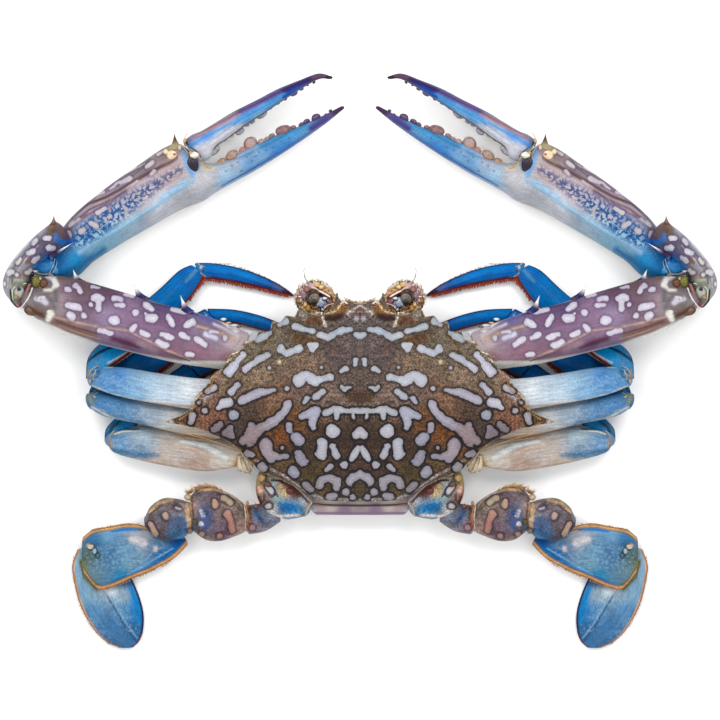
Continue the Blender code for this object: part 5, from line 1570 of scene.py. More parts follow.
LEG3_TOP = Look(
    (
        (92, 398, (70, 124, 160)), (104, 404, (92, 146, 196)), (120, 402, (80, 132, 170)),
        (124, 414, (112, 152, 186)), (150, 415, (160, 176, 190)), (172, 420, (190, 194, 198)),
        (240, 424, (214, 208, 200)), (190, 432, (206, 192, 180)),
    ),
    strokes=(
        (((88.5, 394, 0.8), (91, 402, 1.3)), (150, 148, 114), 3),
        # Dark blue along the front edge: partly the leg's own blue, partly painted shade under the rear edge
        # of the thigh ahead of it
        (((95, 391, 1.5), (120, 396, 1.8)), (16, 104, 158), 2.5),
        (((92, 407, 0.5), (112, 418, 0.6), (140, 425, 0.6)), (214, 206, 190), 1.8),
        (((140, 426, 0.7), (170, 431, 1), (220, 440, 1)), (204, 184, 160), 2.5),
        (((112, 415, 0.8), (145, 423, 0.6)), (96, 140, 176), 3.5),
        (((160, 433, 0.5), (225, 446, 0.6)), (150, 110, 84), 1),
    ),
    below=PEARL, soft=11, net=THIGH_FLECKS,
)
LEG3 = Look(
    (
        (98, 392, (70, 130, 160)), (120, 378, (12, 104, 170)), (160, 345, (8, 116, 188)),
        (190, 325, (10, 118, 190)), (108, 372, (10, 84, 134)),
    ),
    strokes=(
        (((88, 395, 1), (94, 388, 1)), (30, 60, 90), 1.5),
        (((130, 362, 2), (180, 330, 2)), (0, 122, 190), 4),
    ),
    rims=LEG_RIMS, below=(50, 120, 180), soft=6,
)
LEG3_END = Look(
    (
        (202, 315, (8, 116, 186)), (230, 316, (8, 122, 192)), (255, 319, (6, 108, 178)),
        (285, 330, (8, 96, 168)), (302, 339, (40, 30, 60)),
    ),
    strokes=((((208, 312, 1.2), (235, 313.5, 1.3), (262, 320, 1)), (0, 126, 194), 2.5),), rims=LEG_RIMS,
    below=(60, 130, 190), soft=6,
)
LEG4_TOP = Look(
    (
        (110, 436, (96, 142, 178)), (120, 446, (120, 160, 194)), (140, 442, (180, 196, 206)),
        (140, 453, (84, 130, 168)), (170, 444, (196, 190, 186)), (190, 450, (200, 194, 192)),
        (220, 448, (204, 204, 202)), (195, 462, (176, 152, 138)), (235, 458, (214, 206, 194)),
        (160, 462, (196, 182, 172)),
    ),
    strokes=(
        # Dark teal along the front edge: partly the leg's own blue, partly painted shade under the rear edge
        # of the thigh ahead of it
        (((117, 428, 2.4), (130, 430, 2), (138, 429, 0.8)), (10, 112, 158), 2),
        (((113, 450, 1), (135, 454, 1.2), (158, 455.5, 0.6)), (74, 120, 152), 3.5),
        (((109.5, 440, 1.1), (111, 445, 1)), (174, 146, 112), 3),
        (((112, 435, 0.5), (122, 431.5, 0.5), (140, 431, 0.5)), (220, 216, 196), 1),
        (((165, 446, 0.8), (190, 448, 1.4), (214, 458, 1.2)), (204, 186, 172), 1.6),
        # A white band along the thigh: painted highlight
        (((182, 441, 1.4), (205, 446, 2), (226, 458, 2)), (230, 234, 236), 2),
        (((120, 457.5, 0.8), (160, 463, 1), (200, 470, 1), (225, 469, 0.8)), (204, 188, 174), 2),
        (((170, 437, 0.5), (205, 438, 0.6), (235, 452, 0.6)), (214, 196, 172), 1.2),
        (((236, 466, 3), (240, 456, 2)), (206, 168, 120), 3),
    ),
    below=PEARL, soft=11, net=THIGH_FLECKS,
    ridges=(
        (((120, 456, 0.8), (160, 462.5, 1), (205, 469, 0.8)), 0.35),
        (((165, 446, 0.8), (190, 448.5, 1), (214, 458, 0.8)), -0.3),
    ),
)
LEG4 = Look(
    (
        (106, 432, (60, 120, 160)), (130, 405, (14, 104, 160)), (160, 385, (14, 108, 172)),
        (190, 375, (8, 112, 180)), (118, 420, (16, 120, 170)),
    ),
    strokes=((((106, 440, 1), (112, 428, 1), (120, 421, 1)), (40, 70, 90), 1.5),), rims=LEG_RIMS,
    below=(50, 120, 180), soft=6,
)
LEG4_END = Look(
    ((188, 368, (8, 112, 180)), (210, 360, (6, 112, 178)), (232, 350, (10, 104, 168)), (252, 346, NAVY)),
    rims=LEG_RIMS, below=(60, 130, 190), soft=6,
)
SWIM_ROOT = Look(
    (
        (264, 497, (150, 122, 112)), (272, 487, (158, 176, 186)), (286, 507, (14, 122, 172)),
        (300, 508, (56, 140, 180)), (306, 502, PEARL), (270, 514, (206, 206, 204)),
        (284, 490, (200, 184, 146)), (296, 492, (96, 54, 58)), (262, 480, (170, 150, 100)),
    ),
    (((268.5, 505.5, 3.2),), ((267.5, 486.5, 2), (271.5, 492, 2.6))),
    strokes=(
        (((260.5, 487, 2.2), (260.5, 491, 2)), (224, 180, 160), 1),
        (((258.5, 496, 0.8), (261, 503, 1.2)), (122, 50, 40), 1.5),
        (((264.5, 494, 0.6), (264, 501, 0.8)), (60, 60, 70), 1.2),
        (((268, 480, 0.7), (274, 490, 0.8), (280, 500, 0.7)), (30, 92, 140), 1.5),
        (((282, 482, 2), (300, 494, 2)), (110, 44, 40), 3),
        (((282, 506, 2.4), (294, 508, 3)), (8, 116, 176), 2.5),
        (((272, 500, 1.2), (284, 499, 1.2)), (150, 186, 190), 1.6),
        (((262, 512, 0.8), (280, 516, 1), (300, 515, 1)), (214, 208, 204), 1.5),
    ),
    below=MILK, soft=5, pale=((268, 505, (206, 200, 206)),), rim=0.8,
)
SWIM_LEG = Look(
    (
        (222, 508, (146, 122, 114)), (212, 496, (128, 112, 120)), (205, 516, (64, 96, 144)),
        (225, 530, (122, 100, 116)), (242, 508, (138, 124, 112)), (189, 512, (176, 152, 130)),
        (174, 508, (136, 124, 130)), (163, 527, (114, 102, 106)), (183, 530, (24, 124, 172)),
        (176, 534, (44, 100, 146)), (184, 520, (70, 120, 160)), (200, 538, (156, 130, 124)),
        (262, 515, (120, 130, 150)), (255, 528, (140, 126, 140)), (215, 512, (120, 106, 112)),
        (238, 530, (160, 134, 124)),
    ),
    (
        ((165.5, 515.5, 3.4), (166, 517, 3.4)), ((151, 524.5, 2.6), (155, 535.5, 3)),
        ((214.5, 500.5, 2.4), (215.3, 505.5, 3)), ((223, 498, 2.8), (230.5, 502, 3)),
        ((227.5, 513.5, 3.8), (231, 521, 3.2), (233, 530, 3)), ((219.5, 536, 2.8),), ((202, 533.5, 2.8),),
        ((252.5, 527.5, 2.6),), ((176, 507.5, 1.8), (180, 509, 1.8)),
    ),
    strokes=(
        (((195.5, 521.5, 2.8),), (92, 84, 40), 2), (((207, 513, 2), (206, 526, 2)), (16, 92, 160), 2.5),
        (((201.5, 511, 1.8), (203.5, 516, 1.8)), (216, 216, 226), 1),
        (((201.5, 524, 2.2),), (216, 216, 226), 1),
        (((150, 512, 1.2), (158, 503, 1.4), (172, 500, 1.4)), (206, 180, 142), 1.2),
        (((148, 522, 0.5), (151, 513, 0.6), (162, 505, 0.6)), (120, 90, 70), 0.8),
        (((147, 532, 0.8), (158, 539, 0.9), (176, 541, 0.9)), (160, 104, 44), 1),
        (((189, 500, 1.8), (188, 516, 2.4), (190, 528, 2)), (206, 180, 150), 1.6),
        (((192, 500, 0.5), (193.5, 516, 0.6), (191, 532, 0.5)), (126, 80, 70), 0.9),
        (((200, 490, 1), (214, 488.5, 1.3), (226, 492.5, 1)), (206, 188, 160), 1.8),
        (((226, 492, 0.8), (238, 500, 0.8), (243, 508, 0.8)), (196, 180, 166), 1.2),
        (((243.5, 503, 0.8), (246, 516, 1), (245.5, 530, 0.8)), (190, 180, 172), 1),
        (((247.5, 503, 0.9), (248.5, 528, 1)), (180, 104, 42), 1),
        (((244.8, 505, 0.4), (246.8, 528, 0.4)), (70, 44, 40), 0.7),
        (((250, 505, 0.4), (251, 520, 0.4)), (70, 54, 60), 0.8),
        (((256, 512, 2), (262, 522, 1.5)), (50, 88, 136), 3),
        (((172, 530, 3), (182, 522, 3)), (86, 122, 154), 4),
    ),
    net=(((170, 518, 4), (183, 527, 7)), ((207, 508, 4), (206, 528, 5))), below=MILK, soft=6,
    pale=(
        (165, 520, (196, 168, 148)), (215, 503, (196, 168, 146)), (229, 500, (196, 184, 160)),
        (230, 522, (186, 138, 128)), (220, 536, (186, 142, 128)), (202, 534, (190, 158, 150)),
        (178, 508, (190, 190, 206)), (252, 527, (180, 140, 150)),
    ),
    rim=0.6,
)
SWIM_BLADE = Look(
    (
        (96, 541, (60, 120, 164)), (105, 537, (120, 166, 198)), (110, 555, (84, 132, 168)),
        (126, 550, (112, 156, 184)), (140, 538, (174, 178, 188)), (128, 563, (120, 158, 180)),
        (160, 545, (100, 140, 172)), (165, 555, (16, 98, 160)), (120, 575, (50, 142, 184)),
        (108, 572, (96, 140, 170)), (95, 572, (112, 142, 156)), (84, 560, (96, 116, 100)),
        (180, 545, (4, 96, 168)),
    ),
    strokes=(
        (
            ((184, 546, 2), (168, 560, 3), (148, 570.5, 3), (122, 581, 3), (106, 586.5, 1.6)),
            (8, 130, 188), 2.5,
        ),
        (((112, 531, 1.4), (124, 529.5, 1.6), (140, 529.5, 1.2)), (40, 130, 190), 2),
        (((132, 540, 2.6), (143, 543, 3)), (206, 204, 208), 3), (((155, 549, 2.4),), (208, 200, 204), 1.8),
        (((127, 575, 0.5), (150, 562, 0.6), (172, 549, 0.5)), (116, 176, 218), 1.2),
        (((92, 548, 2), (97, 555, 2)), (86, 100, 74), 3), (((88, 546, 1.6),), (216, 188, 160), 1.2),
        (((94, 551, 1.6),), (196, 214, 226), 1.2),
        (((82, 562, 1.2), (88, 578, 1.3), (99, 588, 1.2)), (132, 134, 82), 1.5),
    ),
    rims=(
        ("lead", 1.8, (84, 92, 90), 0.06, 1), ("trail", 1.9, (16, 60, 96), 0, 1),
        ("lead", 1.45, (206, 166, 118), 0.06, 1), ("trail", 1.5, (204, 160, 112), 0, 1),
        ("lead", 0.35, (150, 104, 66), 0.06, 1), ("trail", 0.35, (150, 100, 62), 0, 1),
    ),
    below=PALE_SKY, soft=6, net=BLADE_FLECKS,
    ridges=(
        (((176, 548, 0.8), (150, 560, 1), (126, 572, 0.8)), 0.35), (((92, 548, 2), (97, 556, 2)), -0.6),
    ),
)
PADDLE = Look(
    (
        (80, 572, (146, 180, 204)), (84, 590, (134, 172, 198)), (100, 592, (150, 174, 188)),
        (118, 596, (160, 182, 196)), (95, 612, (96, 146, 184)), (112, 628, (72, 128, 172)),
        (122, 612, (96, 148, 186)), (136, 612, (16, 130, 190)), (134, 630, (50, 112, 160)),
        (118, 641, (74, 122, 164)), (128, 578, (40, 104, 156)),
    ),
    strokes=(
        (((131, 590, 2), (137, 606, 3), (138, 622, 2.4)), (20, 138, 196), 3),
        (((103, 590, 0.3), (112, 606, 0.45), (124, 626, 0.5), (135, 641, 0.4)), (40, 84, 124), 0.8),
        # A pale line on the raised side of the middle groove: painted highlight
        (((105, 588, 0.3), (115, 606, 0.4), (127, 626, 0.45), (137, 639, 0.3)), (140, 182, 212), 0.8),
        (((100, 586, 3), (112, 592, 3.5)), (200, 208, 216), 5),
        (((80, 562, 1.4), (84, 578, 1.2), (96, 590, 1)), (120, 124, 70), 2),
    ),
    rims=(
        ("lead", 1.0, (204, 160, 112), 0, 1.1), ("trail", 0.9, (26, 60, 120), 0.2, 1.1),
        ("lead", 0.3, (104, 62, 62), 0, 1.1), ("trail", 0.4, (60, 28, 60), 0.2, 1.1),
        ("trail", 0.55, (150, 84, 66), 0.75, 1.1),
    ),
    net=PADDLE_FLECKS, below=PALE_SKY, soft=6,
    ridges=(
        (((103, 590, 0.4), (112, 606, 0.6), (124, 626, 0.7), (135, 641, 0.5)), -0.35),
        (((106, 588, 0.4), (116, 606, 0.6), (128, 626, 0.7), (138, 640, 0.5)), 0.3),
    ),
)
TAIL = Look(
    (
        (360, 501, (206, 198, 196)), (330, 501, (208, 198, 194)), (360, 509, (160, 146, 154)),
        (320, 509, (176, 162, 166)), (345, 513, (150, 128, 156)), (310, 512, PEARL),
    ),
    strokes=(
        (((300, 503.5, 0.5), (330, 505.5, 0.5), (360, 506, 0.5)), (150, 126, 112), 1),
        (((312, 513, 0.8), (360, 513.5, 0.9)), (132, 104, 142), 1.2),
    ),
    below=MILK, soft=4,
)
BELLY = Look(((300, 400, MILK), (270, 430, PEARL)), below=MILK)
STALK_LOOK = Look(
    (
        (325, 300, (176, 184, 196)), (322, 306, (150, 166, 190)), (336, 305, (150, 120, 112)),
        (331, 300, ROSE_GREY),
    ),
    below=PINK, soft=2,
)
# The eye's own colour is the dark middle; the paler and brownish tints round it, palest towards the front,
# are painted highlight
EYE_LOOK = Look(
    (
        (313.5, 301.6, (24, 14, 14)), (315.5, 300.4, (34, 22, 22)), (312.4, 303.6, (26, 14, 10)),
        (316, 303.8, (36, 22, 18)), (312, 298.8, (88, 80, 74)), (315, 297.4, (126, 116, 110)),
        (309.4, 298, (146, 136, 122)), (309.6, 301.6, (128, 108, 82)), (318.4, 299.6, (120, 106, 94)),
        (318.4, 302.6, (100, 72, 48)), (316.5, 294.5, (176, 168, 150)), (310.8, 295.4, (150, 142, 126)),
        (320, 298.5, (134, 126, 110)), (318, 296.6, (130, 122, 108)), (316, 305.5, (70, 40, 30)),
    ),
    soft=1.6,
)
PALP_LOOK = Look(
    (
        (303, 296, (166, 132, 144)), (300, 302, (126, 102, 84)), (318, 287, (212, 188, 150)),
        (310, 286, (182, 158, 148)), (330, 294, (196, 164, 122)), (336, 305, (104, 74, 52)),
        (310, 291, (150, 118, 100)),
    ),
    below=(150, 110, 100), soft=2.5,
)
JAW_LOOK = Look(((345, 320, PEARL), (340, 305, BUFF), (335, 340, MILK)), below=MILK, soft=3)
FEELER_LOOK = Look(
    (
        (338, 312, (130, 84, 50)), (332, 299, (176, 140, 150)), (322, 294, (206, 176, 168)),
        (308, 280, (186, 180, 174)),
    ),
    soft=3,
)
SMALL_FEELER_LOOK = Look(
    ((350, 308, (200, 180, 160)), (346, 299, (206, 196, 184)), (344, 293, (222, 218, 214))), soft=2.5,
)
# Colours of a thorn's root and tip
ARM_THORN = ((34, 40, 104), WHITE)
WRIST_THORN = ((126, 94, 80), (156, 138, 132))
BLADE_THORN = ((66, 40, 88), WHITE)
HAND_THORN = ((186, 174, 142), (104, 86, 74))
# The wrist's thorns: root and tip (pixel across, pixel down, height), half width and thickness, and colours
WRIST_SPINES = (
    ((54, 228, 16.5), (54.3, 215.4, 18.5), 3.4, 2.2, WRIST_THORN),
    ((50, 257, 19.5), (73.4, 243, 19.5), 1.9, 1.3, BLADE_THORN),
)
TOOTH_LOOK = Look(
    (
        (208, 166, (214, 176, 130)), (222, 160, (200, 160, 124)), (231, 152, (178, 154, 144)),
        (250, 140, (176, 158, 154)), (242, 150, (190, 140, 130)), (281, 126, (156, 120, 122)),
        (314, 116, (104, 80, 120)),
    ),
    soft=4, below=(106, 60, 52), turn=(0.5, 0),
)
FINGER_TOOTH_LOOK = Look(
    (
        (212, 150, (206, 204, 212)), (261, 114, (166, 172, 192)), (293, 94, (96, 96, 146)),
        (313, 82, (70, 54, 90)),
    ),
    soft=6, below=(106, 70, 62), turn=(0.45, 0),
)

# Small forms. The bed of the fixed finger's teeth: (pixel across, pixel down, height), and its half thickness
TOOTH_BED = (
    (205, 169.5, 8.4), (222, 166.5, 8.8), (236, 159.5, 9), (251, 151, 9), (266, 145, 9), (282, 137, 9),
    (300, 130, 8.8), (318, 121.5, 8.6), (334, 112, 8.6),
)
TOOTH_BED_HALF = (1, 1.4, 1.7, 1.9, 1.8, 1.8, 1.5, 1.2, 0.6)
# Teeth: (pixel across, pixel down, half size in pixels)
HAND_TEETH = (
    (209, 166.5, 4), (221, 162, 5.5), (231.5, 155.5, 6.5), (242.5, 150, 4), (251, 144, 7), (261, 141, 3.5),
    (267, 138.5, 2.6), (272, 135.5, 3), (282, 129.5, 7), (293, 127, 3.2), (301, 124.5, 3),
    (306.5, 121, 3.2), (315, 117.5, 5.5), (325.5, 114, 1.3), (330.5, 110.5, 1.8),
)
FINGER_TEETH = (
    (213.5, 150, 6.5), (224.5, 139.5, 2.6), (231, 135, 3), (239.5, 131, 4.6), (247, 124.5, 2.6),
    (252.5, 121.5, 2.4), (260.5, 114, 6), (270.5, 107.5, 2.4), (277.5, 103, 2), (285, 98.5, 2.2),
    (293.5, 93, 4), (301.5, 88.5, 2), (307.5, 85, 1.5), (314, 82, 1.6),
)
# The height of the teeth's middles, and half how tall they are for their size
HAND_TEETH_UP = 9.4
HAND_TEETH_TALL = 0.7
FINGER_TEETH_UP = 7.4
FINGER_TEETH_TALL = 0.5
# Lumps: pixel across and down, height, half width and depth in pixels, half height in millimetres, colour.
# Folds: ((pixel across, pixel down, height) ...), half thickness in millimetres, colour
CLAW_KNOBS = (
    (195, 155.5, 16, 5, 3.2, 1.4, (236, 232, 222)), (191, 153.5, 16, 2, 2, 1.2, (226, 190, 120)),
    (172, 155, 16, 5.4, 4.6, 1.3, (236, 216, 194)), (174.5, 154.5, 17.2, 1.5, 1.4, 0.4, (200, 136, 60)),
    (166, 152, 15.8, 2.6, 3, 0.9, (226, 210, 180)), (184.8, 141, 13.6, 1.8, 3.2, 1.4, (196, 178, 140)),
    (186, 144, 14.6, 1.7, 2.8, 1.1, (24, 18, 24)), (180, 148, 14.8, 2.2, 3, 0.9, (226, 204, 190)),
    # A dark purple pit by the finger's joint; the smaller, lighter lump on it is a painted highlight
    (192.4, 164.5, 16, 5.6, 8.2, 0.7, (30, 12, 46)), (194, 161.5, 16.5, 3, 2, 0.4, (74, 50, 84)),
    (37, 281.5, 21.2, 4.2, 5.4, 1.5, (128, 124, 54)), (44.4, 283.6, 21.8, 4.2, 4.8, 1.5, (116, 72, 38)),
    (40.5, 279, 21.4, 2.2, 1.8, 0.7, (206, 190, 130)), (33, 274.5, 21, 2.2, 2.6, 1.0, (30, 24, 32)),
    (36, 271.5, 20.6, 3, 1.2, 0.8, (206, 206, 206)), (19.5, 292, 20.6, 6, 7.5, 1.6, (178, 182, 178)),
    (20, 289.3, 22.3, 2.2, 1.7, 0.4, (30, 34, 36)), (16.8, 297, 21.7, 2.8, 2.6, 0.5, (170, 138, 84)),
    (34, 311, 24.2, 8.5, 4.6, 0.9, (112, 74, 52)), (51, 313, 26.2, 4, 3.6, 1, (226, 222, 216)),
    # The near-white lump at (224, 319.5), by the arm's inner end, is a painted highlight
    (43, 299, 24.2, 6, 3.6, 0.6, (200, 196, 206)), (224, 319.5, 17.6, 3.4, 1.6, 0.8, (226, 226, 228)),
    (228.5, 323, 17.6, 3, 1.2, 0.7, (216, 198, 160)), (234, 325.5, 17, 4.6, 1.6, 0.8, (214, 208, 222)),
)
# Smooth skin of the claw's joint
CLAW_SKIN = (
    (44.5, 265.5, 14.8, 11, 7.6, 1.3, (40, 152, 216)), (57, 268, 13.6, 9.5, 6.4, 1.2, (70, 166, 212)),
)
CLAW_FOLDS = (
    (
        ((12, 301, 18.4), (11.4, 289, 20.6), (17, 283, 22), (26, 281.5, 21.2), (30, 284, 20.4)), 0.4,
        (58, 66, 50),
    ),
    (((30, 284, 20.4), (26.5, 297, 19.6), (19, 307, 17.6), (12, 301, 18.2)), 0.35, (70, 70, 56)),
    (((30.5, 284.5, 21.4), (28, 291, 22.4), (24.4, 299, 22), (19.6, 306.4, 20)), 0.7, (156, 108, 104)),
    (((25.4, 297, 22.6), (20.4, 305.4, 20.8)), 0.7, (146, 40, 46)),
    (((33.4, 288, 22.4), (30.4, 296, 23.6), (26.6, 302.4, 24), (21.4, 308.4, 22)), 0.36, (222, 216, 222)),
    (((13.6, 299, 20), (13.6, 290, 21.8), (19, 285, 22.3), (27, 283.6, 21.4)), 0.3, (206, 214, 196)),
    (((30, 279, 20.4), (34, 274, 21.4), (41, 275.5, 21.6), (49, 276, 21.2)), 0.3, (50, 36, 40)),
    (((41, 289, 20.8), (48, 290, 20.6), (56, 288.5, 20)), 0.35, (90, 70, 50)),
    (((187.5, 133, 13.4), (184.6, 139, 14.6), (187, 147, 15.9), (192, 153.5, 16.6)), 0.17, (206, 182, 130)),
    (((182, 146, 15.2), (187, 152, 16), (188, 158, 16.2)), 0.16, (190, 166, 126)),
    (((199, 157, 16.4), (202.5, 163, 15.6), (208, 167.5, 14.4), (214, 168, 12.9)), 0.18, (206, 180, 132)),
    (((50, 272.5, 15.4), (53.5, 265.5, 15.6), (55, 259, 15.4)), 0.15, (196, 220, 234)),
    (((53, 273, 15), (56, 267, 15.2), (57.5, 260, 15)), 0.15, (176, 206, 226)),
    (((190, 147, 15.2), (196, 151, 15.8), (201, 157, 15.6)), 0.22, (70, 50, 60)),
)
LEG_KNOBS = (
    (247, 464, 12, 6, 9, 0.6, (216, 204, 182)), (241, 463, 11.4, 4, 9, 0.8, (226, 216, 196)),
    (92, 376, 16.4, 2, 2.8, 0.8, (110, 150, 176)), (96, 370, 16.6, 2.2, 1.6, 0.7, (120, 156, 176)),
    (90.5, 381, 15.8, 1.6, 2, 0.8, (196, 176, 150)), (90.5, 402, 12, 1.8, 2.2, 0.8, (120, 150, 160)),
    (95, 397, 12.4, 2, 1.4, 0.7, (170, 170, 140)), (91.5, 407.5, 11.4, 1.8, 1.6, 0.7, (110, 150, 176)),
    (109.5, 441, 8.6, 1.8, 2.2, 0.8, (196, 160, 120)), (112, 435, 9, 1.6, 1.8, 0.8, (120, 156, 170)),
    (111.5, 446.5, 8, 1.6, 1.6, 0.7, (90, 136, 170)), (200.5, 267.5, 4.8, 1.8, 1.8, 0.9, (190, 200, 206)),
    (203, 270.5, 4.9, 1.1, 1.1, 0.6, (40, 26, 40)), (202.5, 275.5, 4.2, 1.6, 2, 0.8, (166, 90, 60)),
    (197.5, 273, 4.4, 1.4, 1.8, 0.7, (196, 160, 130)), (206, 315.5, 4.4, 1.8, 1.6, 0.8, (170, 190, 200)),
    (208.5, 319.5, 4.4, 0.9, 0.9, 0.5, (40, 26, 40)), (210, 322.5, 4.2, 1.6, 1.2, 0.6, (190, 140, 110)),
)
LEG_FOLDS = (
    (
        ((99, 365.5, 15.6), (93, 368.6, 16), (89.6, 375, 15.8), (91.4, 383.6, 15), (97, 388.5, 14)), 0.15,
        (206, 182, 142),
    ),
    (((96, 371.5, 17), (93.4, 376.4, 16.9), (94.6, 382.5, 16.5)), 0.15, (214, 206, 190)),
    (((98, 392.6, 11.6), (92, 396, 12), (88.6, 402, 11.6), (90.4, 409, 11)), 0.15, (190, 176, 120)),
    (((95, 399.6, 12.9), (92.8, 403.6, 12.8), (94, 409, 12.2)), 0.15, (206, 200, 184)),
    (((114, 430.6, 8.6), (109.6, 436, 8.8), (108, 442.5, 8.2), (111, 449, 7.6)), 0.15, (206, 176, 140)),
    (((196.5, 261.8, 4.2), (199.6, 265, 5), (204.5, 266.5, 5)), 0.15, (206, 196, 180)),
    (((199, 269.8, 4.9), (201.2, 273.6, 4.9), (205.6, 276.5, 4.4)), 0.15, (214, 176, 140)),
    (((204, 312.6, 4.2), (207.5, 316.5, 4.8), (210.8, 321, 4.4)), 0.15, (206, 196, 186)),
    (((241, 452, 14), (247, 461, 13.4), (254.5, 471, 12.6)), 0.22, (232, 222, 200)),
    (((240, 454, 13.6), (245, 464, 13), (250, 474, 12)), 0.2, (186, 158, 118)),
    (((239, 456, 13.2), (241, 466, 12.4), (244, 474, 11.4)), 0.22, (236, 228, 210)),
    (((242, 451, 14.2), (250, 459, 14), (257, 468, 13.4)), 0.2, (170, 144, 108)),
    (((178, 437, 11.6), (205, 440, 12), (232, 447, 12.6)), 0.3, (190, 146, 96)),
    (((170, 430.6, 12.8), (200, 437, 13.2), (238, 449, 14)), 0.3, (200, 170, 130)),
)
SWIM_KNOBS = (
    (90.5, 547, 7.4, 3.4, 2.6, 0.6, (206, 190, 170)), (94.5, 551.5, 7.6, 1.8, 2.6, 0.5, (176, 196, 206)),
    (97.5, 556, 7.4, 2, 2.6, 0.5, (70, 110, 130)), (188, 497, 13.2, 3.6, 3.4, 1.6, (196, 176, 150)),
    (190, 531, 12.6, 3, 3, 1.5, (140, 120, 110)), (195, 521.5, 15, 3, 2.6, 0.9, (96, 88, 46)),
    (262, 478, 17, 4, 4, 1.6, (190, 160, 110)), (268, 484, 17.2, 3.4, 3, 1.2, (120, 84, 60)),
    (281, 486, 17.2, 5, 4, 1.3, (176, 156, 120)), (290, 491, 17, 5, 4, 1.3, (110, 44, 38)),
    (256, 506, 14, 1.6, 3, 1, (150, 84, 66)), (247.5, 503, 13.6, 1.4, 2.4, 0.9, (190, 146, 96)),
)
SWIM_FOLDS = (
    (
        ((262, 470, 18), (278, 474.5, 17.6), (292, 484, 17), (304, 494, 16.6), (312, 502, 15.6)), 0.4,
        (176, 160, 156),
    ),
    (((312, 502, 15.6), (307, 509, 15), (305, 516, 13)), 0.4, (196, 170, 140)),
    (((271, 480, 17.6), (284, 482, 17.4), (298, 492, 17), (308, 502, 16)), 0.35, (70, 44, 44)),
    (((246, 505, 14), (248, 516, 14.8), (247.5, 528, 13)), 0.32, (180, 124, 72)),
    (((244.4, 506, 13.8), (246, 516, 14.6), (245.6, 528, 12.9)), 0.22, (206, 200, 190)),
    (((312, 503, 15.4), (330, 505, 15.6), (360, 505.5, 15.8)), 0.3, (96, 66, 56)),
)
HEAD_LUMPS = (
    # The first seven lumps fill the orbit round the eye; their dark browns are partly its own colour and
    # partly painted shade in the hollow
    (311, 311, 21.5, 9, 7, 1.8, (104, 76, 48)), (326, 312, 21.5, 11, 8, 1.8, (80, 48, 28)),
    (337, 308, 22.6, 8, 8, 1.8, (130, 90, 46)), (303, 303, 21.6, 6, 7, 1.8, (126, 92, 56)),
    (310, 297, 21, 8, 8, 1.6, (84, 58, 44)), (322, 297, 21.4, 9, 7, 1.8, (96, 66, 50)),
    (331, 300, 22.4, 8, 7, 1.8, (104, 66, 48)), (308.5, 308, 24.5, 2.4, 3.4, 1.2, (184, 134, 76)),
    (305.6, 304.5, 23.6, 2, 2.6, 1.3, (230, 204, 150)), (317.5, 313, 24.6, 3.6, 1.5, 0.8, (226, 214, 216)),
    (312, 313.8, 24.4, 2.6, 1.3, 0.7, (206, 190, 180)), (325, 298.6, 26.4, 2.8, 1.5, 0.8, (206, 218, 216)),
    (328, 300.6, 26.5, 1.5, 1.6, 0.7, (150, 170, 176)), (321.4, 304.6, 25.8, 1.7, 3, 1.0, (150, 184, 214)),
    (324.4, 302, 26, 1.2, 1.4, 0.7, (190, 200, 214)), (325.5, 303.4, 25.9, 2, 2.6, 1.1, (150, 130, 160)),
    (322.6, 310, 25.2, 1.6, 1.6, 0.8, (230, 230, 226)), (330, 302.5, 26, 3, 3.4, 1.3, (128, 84, 88)),
    (334.5, 300.5, 26, 2.4, 2.6, 1.1, (190, 150, 110)), (329, 308, 25.4, 3.6, 3, 1.2, (110, 66, 54)),
    (333, 306, 25.6, 2, 2.4, 1.1, (206, 170, 130)), (337.5, 303.5, 26, 2.2, 3, 1.1, (186, 136, 76)),
    (317, 307.6, 25.2, 3.4, 2, 0.9, (130, 92, 54)), (303.6, 295.3, 23.8, 3.8, 4.6, 1.6, (156, 128, 142)),
    (307.2, 289.8, 23.8, 3, 3.6, 1.7, (154, 116, 110)), (311.5, 286.5, 24, 4, 3, 1.6, (200, 168, 174)),
    (316.8, 284.6, 24.2, 3.8, 2.4, 1.5, (212, 188, 150)),
    (321.6, 287, 24.2, 3.4, 2.6, 1.4, (216, 190, 142)), (326, 290.8, 24.3, 2.8, 2.0, 1.3, (206, 170, 116)),
    (331.5, 294.5, 24.6, 3, 2, 1.1, (208, 164, 104)), (334.4, 297.4, 25, 2.2, 1.6, 1.0, (222, 190, 132)),
    (299.5, 301, 22.8, 3, 3.2, 1.4, (158, 124, 84)), (299, 294.4, 22.9, 2.2, 3.4, 1.3, (184, 156, 136)),
    (313, 281.8, 22.6, 4, 1.5, 1.0, (130, 116, 100)), (318.6, 282.4, 22.8, 3, 1.2, 0.9, (150, 130, 100)),
    (345.5, 302.5, 26, 1.8, 2, 0.9, (40, 36, 36)), (343, 302, 26, 2, 1.6, 0.9, (226, 220, 206)),
    (350, 303.6, 25.8, 3, 1.5, 0.9, (206, 176, 130)), (356, 303.4, 25.6, 3, 1.3, 0.9, (216, 190, 150)),
    (351.5, 307.5, 26.6, 2.6, 1.4, 0.8, (206, 190, 186)), (337, 296, 25.4, 1.3, 3, 0.9, (104, 122, 116)),
)
